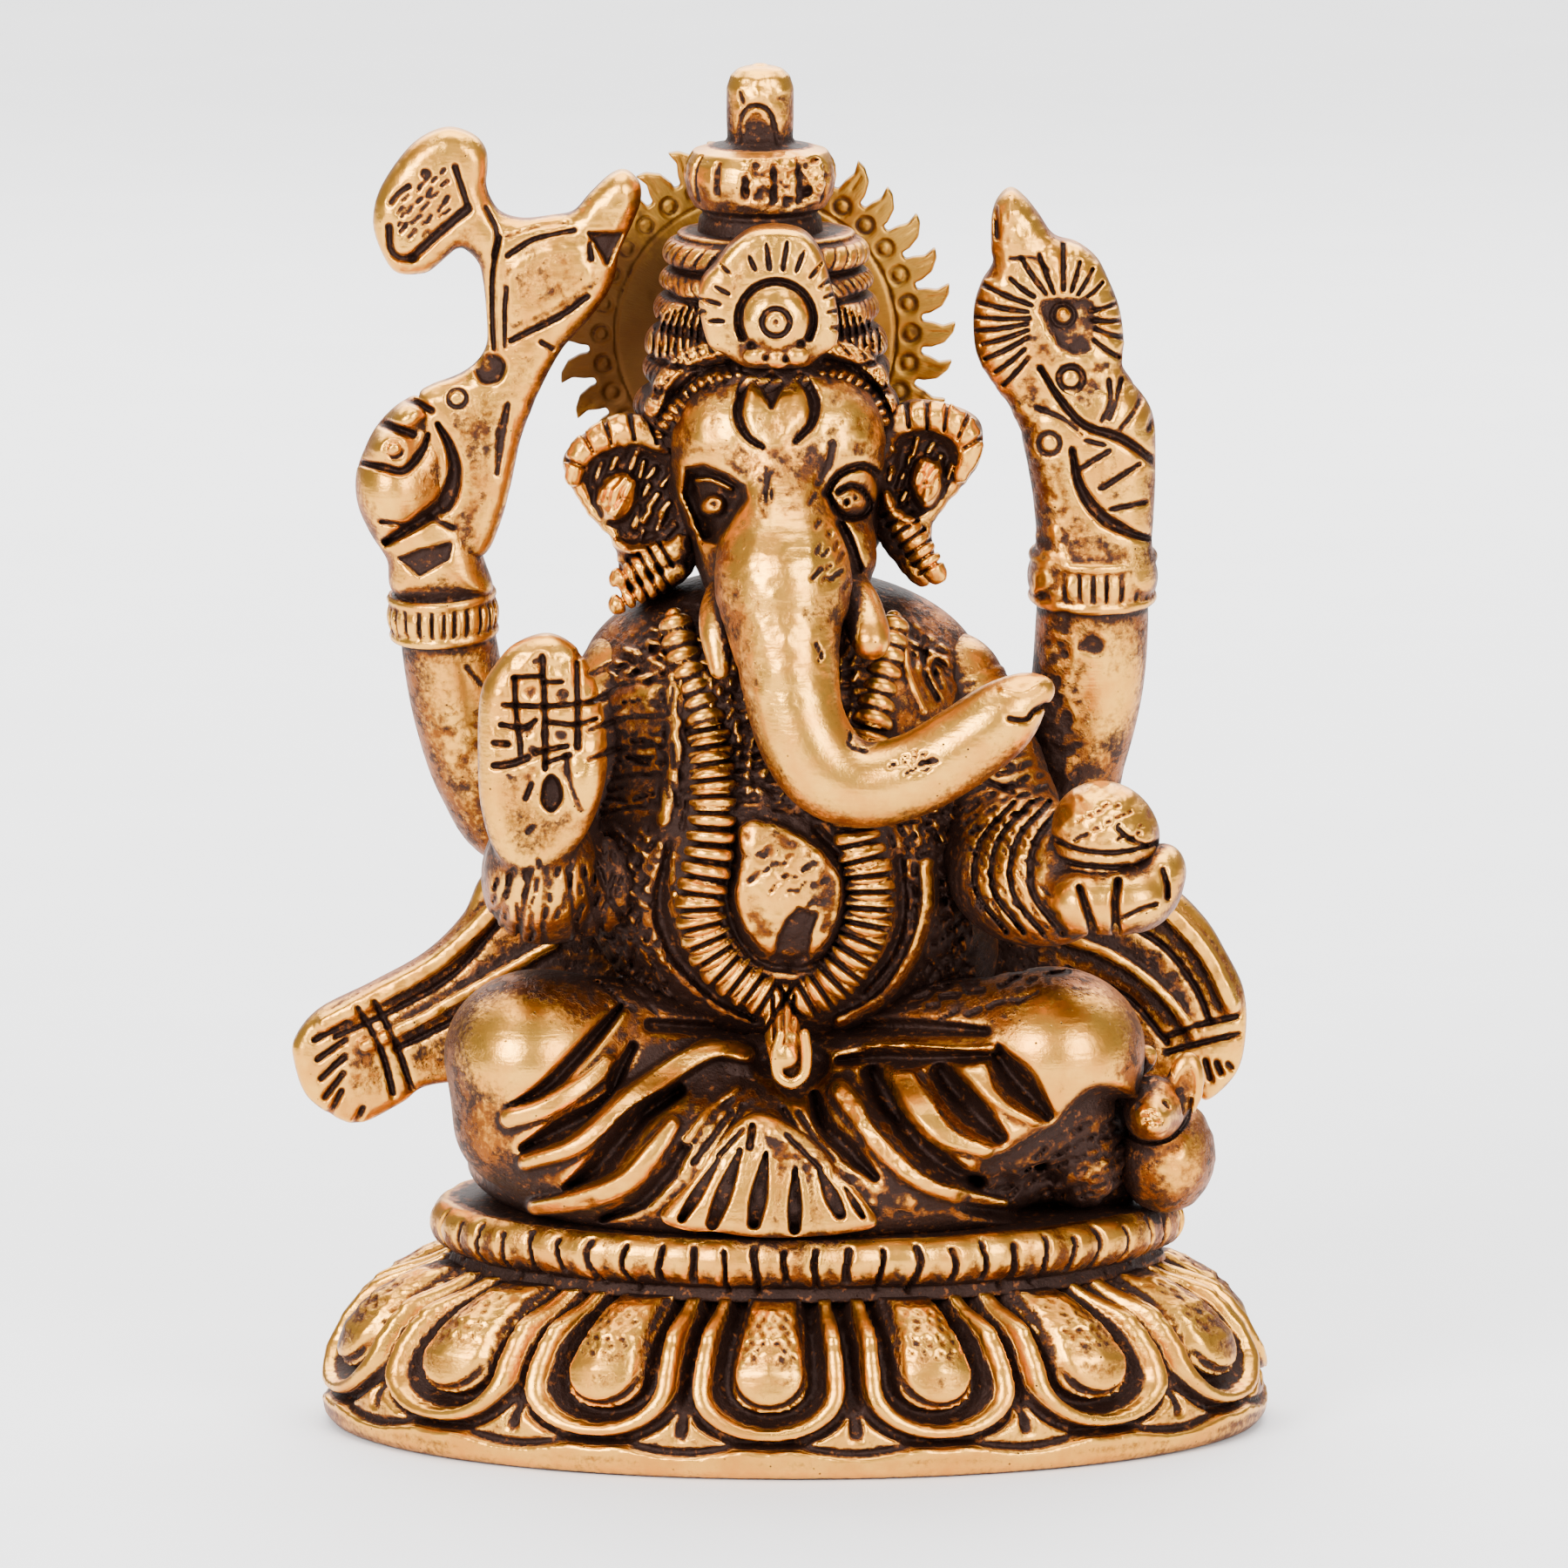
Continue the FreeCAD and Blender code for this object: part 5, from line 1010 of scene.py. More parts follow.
def ears():
    """Both ears: each outline, then the strokes of its relief."""
    ear("right_ear", [(-6.0, 64.6), (-8.6, 65.7), (-9.7, 66.4), (-11.0, 66.8), (-12.4, 66.2), (-14.2, 65.2),
                      (-15.2, 63.9), (-15.0, 62.8), (-14.3, 61.6), (-13.5, 60.3), (-12.6, 59.3),
                      (-11.8, 58.5), (-11.6, 57.0), (-11.4, 55.3), (-9.4, 54.6), (-6.2, 57.6)],
        rim=[(-8.6, 65.0, 0.8), (-9.7, 65.7, 1.0), (-11.1, 65.9, 1.1), (-12.6, 65.3, 1.1),
             (-14.0, 64.2, 1.0), (-14.4, 62.9, 0.75)],
        ribs=[(-9.5, 66.9, -9.0, 65.0), (-10.9, 67.4, -10.5, 65.2), (-12.6, 67.0, -12.0, 64.9),
              (-14.1, 66.0, -13.2, 64.4), (-15.6, 64.2, -13.8, 63.4)],
        hollow=[(-13.8, 62.6), (-13.2, 63.9), (-11.6, 64.6), (-9.8, 64.4), (-8.2, 63.6), (-7.8, 61.0),
                (-8.2, 58.8), (-10.4, 58.2), (-12.2, 59.8), (-13.2, 61.2)],
        lobe=[(-12.9, 61.8), (-12.0, 62.9), (-10.9, 63.0), (-10.4, 61.8), (-10.9, 60.4), (-11.9, 59.9),
              (-12.7, 60.6)],
        hem=[(-11.7, 58.4), (-10.8, 58.0), (-9.2, 58.4), (-8.0, 59.6)],
        lappets=[[(-11.4, 56.0, 0.8), (-9.8, 56.9, 0.95), (-7.6, 58.2, 0.9)],
                 [(-11.6, 54.4, 0.7), (-9.6, 55.5, 0.8), (-7.8, 56.6, 0.7)]])
    ear("left_ear", [(4.6, 63.6), (5.6, 66.2), (7.5, 67.7), (10.4, 67.3), (12.0, 66.4), (12.3, 65.0),
                     (12.0, 63.6), (10.8, 62.0), (9.8, 60.8), (8.9, 59.4), (9.2, 56.6), (8.0, 55.6),
                     (5.2, 59.2)],
        rim=[(5.6, 64.4, 0.7), (6.2, 65.9, 0.85), (7.6, 66.7, 1.0), (9.4, 66.7, 1.1), (10.9, 65.9, 1.05),
             (11.4, 64.6, 0.9), (10.8, 63.0, 0.6)],
        ribs=[(7.2, 68.2, 7.4, 66.0), (8.6, 68.3, 8.6, 66.0), (10.0, 68.0, 9.7, 65.8),
              (11.4, 67.1, 10.6, 65.3), (12.5, 65.6, 10.9, 64.6)],
        hollow=[(10.3, 64.6), (8.6, 65.6), (7.0, 65.2), (6.2, 63.6), (6.4, 61.4), (7.6, 60.2), (9.0, 61.2),
                (10.0, 62.6)],
        lobe=[(9.4, 63.6), (8.2, 64.0), (7.6, 62.8), (7.9, 61.3), (8.8, 60.9), (9.6, 62.2)],
        hem=[(6.0, 61.6), (6.4, 60.4), (7.4, 59.9)],
        lappets=[[(6.3, 61.0, 0.8), (7.2, 59.4, 0.95), (8.3, 57.8, 0.95), (9.2, 56.4, 0.75)]])


# ---------------------------------------------------------------- crown, finial, halo

def crown():
    """The crown: rolled bands, the pad for the halo, and the bands that part over the brow."""
    b = Block((-11.2, -8.6, 64.4), (7.4, 10.8, 80.2), 0.14)
    x, y, z = b.grids()
    out, angle = about(b, -1.9, 1.0)
    profile = np.array([(64.4, 7.2), (66.2, 7.9), (67.4, 8.3), (68.6, 8.2), (69.2, 7.7), (70.6, 7.8),
                        (72.0, 7.5), (74.0, 7.0), (76.0, 6.6), (77.6, 6.3), (78.6, 6.1), (79.2, 5.4)])
    for k, level in enumerate(z[0, 0]):
        radius = np.interp(level, profile[:, 0], profile[:, 1])
        # six rolled bands, the slanting cuts of each leaning the other way from the last
        for middle, half, rise, count, slant in ((67.4, 1.2, 0.45, 40, 2.6), (69.9, 0.8, 0.35, 52, -3.0),
                                                 (71.9, 0.9, 0.4, 46, 2.4), (74.1, 0.8, 0.4, 58, -3.2),
                                                 (75.9, 0.65, 0.4, 52, 3.0), (77.7, 0.85, 0.5, 34, -1.6)):
            w = float(bump(level - middle, half))
            if w > 0.0:
                strand = np.abs(np.sin(count / 2.0 * angle + (level - middle) * slant))
                radius = radius + (rise + 0.25) * math.sqrt(w) - 0.25 - 0.42 * bump(strand, 0.42) * w
            elif abs(level - middle) < half + 0.25:
                radius = radius - 0.25
        b.f[:, :, k] = out - radius
    b.f = np.maximum(b.f, np.maximum(65.2 - z, z - 79.0))
    # the boss behind the crown that the halo lies on
    pad_radius, pad_face = 4.0, 7.15
    pad = np.maximum(np.hypot(x - HALO_X, z - HALO_Z) - pad_radius, np.maximum(1.0 - y, y - 7.2))
    b.f = np.maximum(np.minimum(b.f, pad), y - pad_face)
    r = Relief(-11.5, 7.5, 62.0, 81.0)
    # the ribbed wings either side of the plate
    r.area([(-9.4, 70.8), (-8.9, 73.4), (-7.4, 75.0), (-5.6, 75.6), (-5.4, 71.4)], 0.55, edge=0.5)
    r.area([(2.0, 71.2), (2.0, 75.2), (3.4, 74.6), (4.8, 73.2), (5.6, 71.0)], 0.55, edge=0.5)
    for k in range(8):
        x = -9.3 + 0.5 * k
        r.line([(x, 71.2 + 0.1 * k - 0.5), (x + 0.15, 72.4 + 0.1 * k), (x + 0.5, 73.4 + 0.16 * k)], 0.32,
               -0.6)
    for k in range(7):
        x = 2.5 + 0.5 * k
        r.line([(x, 71.6 - 0.08 * k), (x - 0.1, 73.0 - 0.14 * k), (x - 0.35, 74.4 - 0.26 * k)], 0.32, -0.6)
    # the punched band and the beaded band that part over the brow
    left, right = [(-9.3, 67.4), (-8.5, 69.2), (-7.0, 70.6), (-4.6, 71.4)], [(2.6, 71.2), (4.0, 70.8),
                                                                             (5.3, 69.7), (6.1, 67.6)]
    for path in (left, right):
        r.line([(x, g - 0.05) for x, g in path], 1.5, 0.75, "max", flat=0.5)
        p = curve(path, step=0.2)
        for q in p[2:-2:4]:
            r.ring(q[0], q[1], 0.24, 0.2, 0.28)
    left, right = [(-8.9, 65.6), (-7.6, 67.6), (-5.8, 69.0), (-3.8, 69.7)], [(1.8, 69.8), (3.4, 69.3),
                                                                             (4.9, 68.2), (5.9, 66.4)]
    for path in (left, right):
        r.line([(x, g + 0.75) for x, g in path], 0.7, -0.8, "min")
        r.line(path, 1.0, 0.55, "max", flat=0.4, ticks=(0.62, 0.55, 0.3))
    r.line([(-4.2, 70.2), (-1.4, 69.7), (2.2, 70.3)], 1.3, -0.7)
    r.press(b, 1.6, 1.6)
    cast("crown", b)


def crown_front_plate():
    """The leaf-shaped plate with its jewel, on the front of the crown."""
    b = Block((-9.8, -11.2, 69.6), (6.4, -3.2, 82.4), 0.12)
    y = -7.0
    outline = [(-5.6, 71.4), (-6.1, 73.0), (-6.3, 74.6), (-6.0, 75.7), (-5.2, 76.6), (-4.3, 77.8),
               (-3.0, 78.8), (-1.6, 79.1), (0.1, 78.9), (1.1, 78.2), (1.8, 77.0), (2.3, 75.3), (2.6, 74.2),
               (2.8, 72.8), (2.6, 71.4), (1.6, 70.7), (0.6, 70.0), (-1.3, 69.9), (-3.2, 70.0), (-4.6, 70.8)]
    jx, jg = -1.27, 72.9
    build(b, [
        (slab(ups(outline, y), -8.0, -4.6, edge=0.6, dome=0.5), 0),
        (oval(up(jx, jg, -8.1), (2.15, 1.15, 2.2)), 0.2),
        (oval(up(jx - 1.2, jg - 2.2, -8.0), (1.0, 0.9, 0.7)), 0.2),
        (oval(up(jx + 0.1, jg - 2.4, -8.0), (0.9, 0.9, 0.7)), 0.2),
        (oval(up(jx + 1.3, jg - 2.2, -8.0), (0.9, 0.9, 0.7)), 0.2), ])
    r = Relief(-10.0, 7.0, 66.0, 83.0)
    arch = [(jx + 2.45 * math.cos(t), jg + 0.1 + 2.5 * math.sin(t)) for t in np.radians(np.linspace(-28.0,
                                                                                                    208.0,
                                                                                                    15))]
    r.line(arch, 0.72, -0.85)
    r.ring(jx, jg - 0.1, 0.9, 0.42, 0.45, middle=0.2)
    r.dot(jx, jg - 0.1, 0.28, -0.35)
    for t, near, far in ((68, 3.5, 5.0), (82, 3.4, 5.3), (97, 3.4, 5.2), (112, 3.6, 4.6), (52, 3.6, 4.9),
                         (38, 3.6, 4.7), (26, 3.5, 4.2), (134, 4.4, 5.2), (150, 3.5, 4.6), (163, 3.8, 5.2),
                         (172, 4.6, 5.6), (180, 3.4, 4.4), (10, 3.4, 4.2), (-6, 3.6, 4.6)):
        c, q = math.cos(math.radians(t)), math.sin(math.radians(t))
        r.line([(jx + near * c, jg + near * q, 0.7), (jx + (near + far) / 2 * c, jg + (near + far) / 2 * q,
                                                      1.1),
                (jx + far * c, jg + far * q, 0.5)], 0.42, -0.4)
    for x, g in ((jx - 0.7, jg - 2.4), (jx + 0.6, jg - 2.5), (jx - 1.6, jg - 1.6), (jx + 1.6, jg - 1.5)):
        r.dot(x, g, 0.3, -0.35)
    r.grain(outline, 0.07, 0.7, 15)
    r.press(b, -5.6, 0.8)
    cast("crown_front_plate", b)


def crown_finial():
    """The ribbed pot and the bud on top of the crown."""
    b = Block((-8.2, -4.6, 78.2), (3.6, 6.6, 90.3), 0.13)
    z = b.grids()[2]
    out, angle = about(b, -2.3, 1.0)
    profile = np.array([(78.7, 4.15), (79.5, 4.05), (80.2, 3.95), (80.6, 4.3), (81.4, 4.75), (82.6, 5.0),
                        (83.6, 4.85), (84.3, 4.4), (84.6, 3.4), (84.75, 2.4), (85.1, 2.15), (86.4, 2.2),
                        (88.4, 2.2), (89.2, 1.95), (89.7, 1.4), (89.95, 0.3)])
    for k, level in enumerate(z[0, 0]):
        radius = np.interp(level, profile[:, 0], profile[:, 1])
        slit = (7.5 * angle / math.pi) % 1.0 - 0.5
        index = np.floor(7.5 * angle / math.pi)
        length = bump(level - 82.7 - 0.2 * np.sin(index * 2.1), 1.35 + 0.35 * np.sin(index * 1.3))
        radius = radius - 0.5 * bump(slit, 0.16) * np.sqrt(length)
        radius = radius - 0.25 * bump(level - 80.3, 0.35)
        b.f[:, :, k] = out - radius
    b.f = np.maximum(b.f * 0.9, np.maximum(78.7 - z, z - 90.0))
    r = Relief(-8.5, 4.0, 76.0, 91.0)
    r.line([(-3.7, 84.9), (-3.5, 86.6), (-2.7, 87.3), (-1.8, 87.0), (-1.4, 86.0), (-1.1, 84.8)], 0.5, -0.5)
    r.line([(-3.6, 88.2), (-3.4, 87.4)], 0.4, -0.4)
    r.area([(-3.3, 85.2), (-3.2, 86.4), (-2.4, 86.9), (-1.7, 86.0), (-1.5, 85.0)], -0.35, edge=0.3)
    r.area([(-2.6, 81.0), (-2.8, 83.6), (-1.2, 83.2), (-0.2, 83.6), (0.6, 83.2), (1.2, 81.6), (-0.4, 80.7)],
           -0.45, edge=0.5)
    r.grain([(-3.2, 80.8), (-3.2, 84.0), (1.8, 84.0), (1.8, 80.8)], 0.45, 0.55, 17)
    r.grain([(-3.9, 85.0), (-3.9, 89.0), (-0.4, 89.0), (-0.4, 85.0)], 0.14, 0.6, 18)
    r.press(b, 0.0, 1.0)
    cast("crown_finial", b)


HALO_RADIUS, HALO_TEETH = 11.0, 32
HALO_BORE = 1.3


def halo_disc():
    """The halo: a toothed disc of sheet brass."""
    b = Block((-16.4, 6.6, 57.4), (11.2, 9.0, 85.0), 0.13)
    x, _, z = b.grids()
    px, pz = (x - HALO_X)[:, :, 0], (z - HALO_Z)[0]
    radius = np.hypot(px, pz)
    turn = np.arctan2(px, pz)
    pitch = 2.0 * math.pi / HALO_TEETH
    folded = (turn + pitch / 2.0) % pitch - pitch / 2.0
    index = np.floor((turn + pitch / 2.0) / pitch)
    u, v = radius * np.sin(folded), radius * np.cos(folded)
    tooth = polygon_distance([(-0.88, 10.2), (0.88, 10.2), (0.92, 11.5), (0.62, 12.4), (-0.1, 13.0),
                              (-0.78, 13.15), (-0.5, 12.3),
                              (-0.72, 11.6)], u, v - 0.12 * np.sin(index * 2.7))
    flat = blend_min(radius - HALO_RADIUS, tooth, 0.15)
    flat = np.maximum(flat, HALO_BORE - radius)
    # engraved work on the front and the back: punched circles, a scribed ring, a fine line up each tooth
    cut = 0.16 * bump(np.hypot(u, v - 10.15) - 0.5, 0.22)
    cut = cut + 0.12 * bump(radius - 9.2, 0.16)
    cut = cut + 0.10 * bump(u + 0.1, 0.13) * smooth(11.2, 11.6, radius) * smooth(12.9, 12.5, radius)
    rng = np.random.default_rng(21)
    for _ in range(26):
        t, r0 = rng.uniform(0.0, 2.0 * math.pi), rng.uniform(4.5, 8.5)
        size = rng.uniform(0.25, 0.6)
        cut = cut + rng.uniform(0.05, 0.12) * bump(np.hypot(px - r0 * math.cos(t), pz - r0 * math.sin(t)),
                                                   size)
    bow = 0.12 * np.sin(px * 0.21 + 0.6) * np.cos(pz * 0.19)
    middle, half, edge = 7.78, 0.55, 0.22
    for n, depth in enumerate(b.axes[1]):
        w = np.abs(depth - middle - bow) - half + cut
        p, q = flat + edge, w + edge
        corner = np.sqrt(np.maximum(p, 0.0) ** 2 + np.maximum(q, 0.0) ** 2)
        b.f[:, n, :] = np.minimum(np.maximum(p, q), 0.0) + corner - edge
    cast("halo_disc", b)


# ---------------------------------------------------------------- arms and what they hold

def wrist_ring(a, v, radius):
    """One rounded ring round a wrist that starts at a and runs along v, as a solid."""
    step = np.linalg.norm(v)
    unit = v / step
    side = np.cross(unit, (0.0, 0.0, 1.0) if abs(unit[2]) < 0.8 else (0.0, 1.0, 0.0))
    side /= np.linalg.norm(side)
    other = np.cross(unit, side)
    c = a + unit * step * 0.5
    ring = [tuple(c + radius * (math.cos(t) * side + math.sin(t) * other)) + (step * 0.56,)
            for t in np.linspace(0.0, 2.0 * math.pi, 25)]
    return tube(ring, step=0.8), 0.12


def cuff(start, along, radius):
    """A broad bracelet: a plain swelling band with a narrow ring above and below."""
    a, v = np.array(start, float), np.array(along, float)
    lower = wrist_ring(a, v * 0.2, radius - 0.1)
    upper = wrist_ring(a + v * 0.82, v * 0.2, radius - 0.1)

    def band(block, reach):
        found = block.part((a + v * 0.2 - radius - 1).clip(-99, 99), a + v * 0.8 + radius + 1, reach)
        if found is None:
            return None
        cuts, x, y, z = found
        unit = v / np.linalg.norm(v)
        px, py, pz = x - a[0], y - a[1], z - a[2]
        s = px * unit[0] + py * unit[1] + pz * unit[2]
        off = [p - s * u for p, u in zip((px, py, pz), unit)]
        out = np.sqrt(np.maximum(off[0] ** 2 + off[1] ** 2 + off[2] ** 2, 0.0))
        length = np.linalg.norm(v)
        swell = radius + 0.3 * bump(s - length / 2.0, length * 0.36)
        turn = np.arctan2(px, -py)
        tick = np.abs(np.sin(13.0 * turn + 0.5 * np.sin(turn * 5.0)))
        swell = swell - 0.5 * bump(tick, 0.5) * bump(s - length / 2.0, length * 0.4)
        d = np.maximum(out - swell, np.abs(s - length / 2.0) - length * 0.34)
        return cuts, (d * 0.9).astype(f32)
    return [(band, 0.15), lower, upper]


def rear_right_arm():
    """The raised arm with the fist round the axe's haft."""
    b = Block((-30.2, -4.6, 33.0), (-6.6, 8.4, 70.2), 0.16)
    fist = ups([(-26.0, 55.0), (-26.8, 57.4), (-27.9, 59.2), (-28.6, 61.2), (-28.7, 63.2), (-28.2, 64.7),
                (-27.6, 65.9), (-26.7, 67.0), (-25.8, 67.7), (-24.7, 68.1), (-23.6, 66.6), (-22.6, 64.6),
                (-22.4, 62.4), (-21.2, 59.6), (-20.4, 57.0), (-20.3, 55.0)], 0.8)
    build(b, [
        (tube([(-8.0, 3.6, 47.4, 3.6), (-13.0, 4.2, 42.8, 3.5), (-18.0, 4.0, 39.6, 3.4),
               (-20.4, 3.6, 42.4, 3.3), (-21.9, 3.0, 46.6, 3.2), (-22.7, 2.4, 51.0, 3.15),
               (-23.2, 2.0, 55.4, 2.9)]), 0),
        (slab(fist, -0.9, 3.0, edge=1.6, dome=1.1), 0.8),
        (oval(up(-26.2, 62.0, -0.2), (2.4, 2.4, 3.0)), 0.8),
        (oval(up(-26.3, 65.0, -0.2), (1.7, 2.2, 1.2), (0, -30, 0)), 0.5),
        (oval(up(-25.3, 66.9, 0.0), (1.5, 2.0, 0.9), (0, -35, 0)), 0.4),
    ] + cuff((-23.05, 2.3, 51.9), (-0.2, -0.3, 3.0), 3.4))
    r = Relief(-30.5, -6.5, 30.0, 71.0)
    hand_grooves(r)
    r.line([(-21.6, 50.2), (-20.6, 49.0)], 0.4, -0.3)
    r.grain([(-28.6, 35.0), (-7.0, 35.0), (-18.0, 46.0), (-24.0, 46.0)], 0.14, 0.9, 31)
    r.press(b, 1.4, 1.5)
    cast("rear_right_arm", b)


def hand_grooves(r):
    """The cuts that part the fingers from the axe's haft; they run over both castings."""
    r.line([(-23.4, 66.3, 0.4), (-22.6, 64.8, 0.8), (-22.3, 63.0, 1.1), (-22.9, 61.2, 1.5),
            (-24.4, 60.0, 1.2), (-26.8, 58.5, 0.7)], 1.15, -1.1)
    r.line([(-27.1, 59.8, 0.8), (-25.2, 59.6, 0.6)], 0.7, -0.5)
    r.line([(-24.0, 60.2), (-22.4, 59.4)], 0.55, -0.5)
    r.area([(-26.0, 57.4), (-24.6, 58.0), (-22.5, 58.4), (-22.7, 57.3), (-24.6, 56.2)], -0.5, edge=0.2,
           rounded=False)
    r.line([(-28.6, 63.8, 0.6), (-26.9, 63.4, 1.0), (-25.6, 63.2, 1.1), (-24.5, 64.4, 1.0),
            (-24.0, 65.6, 0.5)], 0.8, -0.75)
    r.line([(-27.0, 66.4), (-25.0, 65.6)], 0.8, -0.7)
    r.line([(-25.3, 68.0), (-23.8, 67.2)], 0.7, -0.6)
    r.ring(-22.1, 68.0, 0.6, 0.32, 0.3)
    r.ring(-26.2, 64.6, 0.55, 0.3, 0.28)


def battle_axe():
    """The axe: blade, socket and haft in one flat leaf."""
    b = Block((-29.0, -2.4, 56.6), (-8.6, 4.0, 87.2), 0.12)
    y = 0.6
    outline = ups([(-27.6, 79.9), (-27.2, 81.7), (-25.9, 83.8), (-24.5, 85.2), (-22.7, 85.9), (-21.0, 85.4),
                   (-20.2, 84.4), (-20.1, 83.2), (-20.2, 82.2), (-19.9, 81.2), (-19.2, 80.3), (-17.8, 79.9),
                   (-15.9, 80.1), (-14.5, 80.4), (-13.4, 81.6), (-12.1, 82.8), (-11.1, 83.1), (-10.2, 82.3),
                   (-10.1, 81.1), (-10.7, 79.5), (-11.5, 77.7), (-11.9, 75.8), (-13.2, 73.7), (-15.2, 71.4),
                   (-16.6, 68.9), (-17.2, 67.5), (-18.0, 65.3), (-18.6, 62.5), (-19.4, 59.6), (-20.6, 57.6),
                   (-23.4, 57.6), (-24.4, 61.0), (-24.8, 65.0), (-24.7, 68.0), (-24.0, 68.8), (-22.0, 69.6),
                   (-20.8, 70.5), (-20.2, 71.7), (-20.2, 73.6), (-20.4, 75.7), (-20.7, 77.0), (-21.4, 77.8),
                   (-22.1, 78.0), (-23.3, 77.0), (-24.1, 76.4), (-25.6, 76.3), (-26.5, 76.8),
                   (-27.3, 78.4)], y)
    build(b, [(slab(outline, -0.9, 2.4, edge=1.2, dome=0.3), 0)])
    r = Relief(-29.5, -8.0, 55.0, 88.0)
    # the engraved five-sided figure on the blade, worn through in places
    r.line([(-22.2, 83.3), (-21.8, 82.0), (-21.4, 80.8)], 0.6, -0.45)
    r.line([(-21.4, 80.5), (-23.2, 79.0), (-25.0, 77.3)], 1.0, -0.6)
    r.line([(-25.0, 77.3), (-25.8, 77.3), (-26.4, 77.9), (-26.5, 79.3)], 0.85, -0.6)
    r.line([(-26.4, 80.9), (-25.9, 81.5), (-25.2, 82.0)], 0.6, -0.4)
    r.dot(-24.1, 82.8, 0.45, -0.35)
    scatter(r, [(-25.6, 81.4), (-22.6, 83.2), (-22.2, 80.8), (-24.6, 78.2), (-26.0, 79.2)], 48, 0.62, 0.7,
            104, 0.34, -0.26)
    # the socket: grooves beside its left edge, along its top and its lower right edge
    r.line([(-20.2, 80.6), (-19.5, 79.0), (-19.7, 77.4)], 0.55, -0.35)
    r.line([(-19.3, 78.6), (-19.75, 76.4), (-19.8, 73.6), (-19.7, 71.2)], 0.5, -0.55)
    r.line([(-18.86, 75.3), (-19.0, 73.4), (-19.0, 71.4)], 0.4, -0.4)
    r.line([(-18.8, 77.4), (-17.3, 78.4), (-15.9, 78.8), (-14.4, 79.1)], 0.5, -0.45)
    r.line([(-18.9, 78.6), (-17.0, 79.3), (-15.0, 79.6)], 0.4, -0.2)
    r.line([(-18.6, 71.8), (-17.2, 72.5), (-15.25, 73.5), (-13.6, 74.7)], 0.6, -0.5)
    r.line([(-13.4, 78.2), (-13.3, 77.2)], 0.5, -0.45)
    r.area([(-13.5, 78.9), (-11.4, 78.9), (-12.3, 76.9)], -0.9, edge=0.25, rounded=False)
    r.area([(-20.9, 70.4), (-19.8, 70.9), (-19.0, 70.3), (-19.4, 69.2), (-20.5, 69.1)], -0.9, edge=0.25)
    r.area([(-18.3, 76.9), (-14.6, 78.2), (-13.6, 77.0), (-13.6, 75.4), (-18.4, 73.0)], 0.18, edge=0.3)
    r.line([(-16.6, 71.7), (-15.9, 71.3)], 0.5, -0.4)
    hand_grooves(r)
    r.line([(-18.8, 67.6, 0.5), (-19.2, 65.6, 1.2), (-19.5, 63.0, 0.5)], 0.9, -0.35)
    r.grain([(-27.0, 58.0), (-12.0, 58.0), (-11.0, 83.0), (-27.0, 85.0)], 0.06, 0.8, 33)
    r.press(b, 0.6, 1.0)
    back = Relief(-29.5, -8.0, 55.0, 88.0, 0.12)
    back.line([(-22.0, 83.0), (-21.6, 80.6), (-25.0, 77.4), (-26.4, 79.2), (-25.2, 82.0), (-22.0, 83.0)],
              0.55, -0.4, rounded=False)
    back.line([(-19.7, 78.0), (-19.8, 73.6), (-16.0, 73.0), (-13.4, 76.4), (-15.0, 78.8), (-19.7, 78.0)],
              0.5, -0.4, rounded=False)
    back.press(b, 1.2, 1.0, facing=-1.0, slope=0.0)
    cast("battle_axe", b)


def rear_left_arm():
    """The raised arm with the fingers round the lotus stem."""
    b = Block((6.6, -4.0, 33.0), (25.4, 8.4, 70.4), 0.16)
    hand = ups([(15.8, 55.0), (15.8, 58.8), (15.6, 61.3), (15.2, 63.8), (14.8, 65.8), (15.0, 67.6),
                (17.0, 69.6), (19.6, 70.0), (21.6, 69.4), (23.0, 67.9), (23.5, 66.6), (23.6, 65.1),
                (23.6, 62.6), (23.4, 58.8), (23.1, 55.0)], 1.0)
    build(b, [
        (tube([(8.0, 3.6, 47.4, 3.6), (12.6, 4.2, 42.8, 3.5), (17.0, 4.0, 40.4, 3.5), (18.4, 3.6, 44.2, 3.5),
               (19.2, 3.0, 48.6, 3.7), (19.5, 2.4, 53.0, 3.7), (19.5, 2.0, 56.6, 3.5)]), 0),
        (slab(hand, -0.9, 3.2, edge=1.7, dome=1.1), 0.8),
    ] + cuff((19.5, 2.3, 54.3), (0.05, -0.3, 3.3), 4.0))
    r = Relief(6.0, 26.0, 30.0, 71.0)
    finger_grooves(r)
    r.area([(18.6, 51.4), (19.4, 52.4), (20.2, 51.8), (19.9, 51.0)], -0.25, edge=0.25)
    r.grain([(7.0, 36.0), (18.0, 36.0), (18.0, 60.0), (15.6, 60.0)], 0.26, 0.8, 35)
    r.grain([(7.0, 36.0), (24.0, 36.0), (24.2, 68.0), (15.0, 68.0)], 0.05, 0.9, 36)
    r.press(b, 1.4, 1.5)
    cast("rear_left_arm", b)


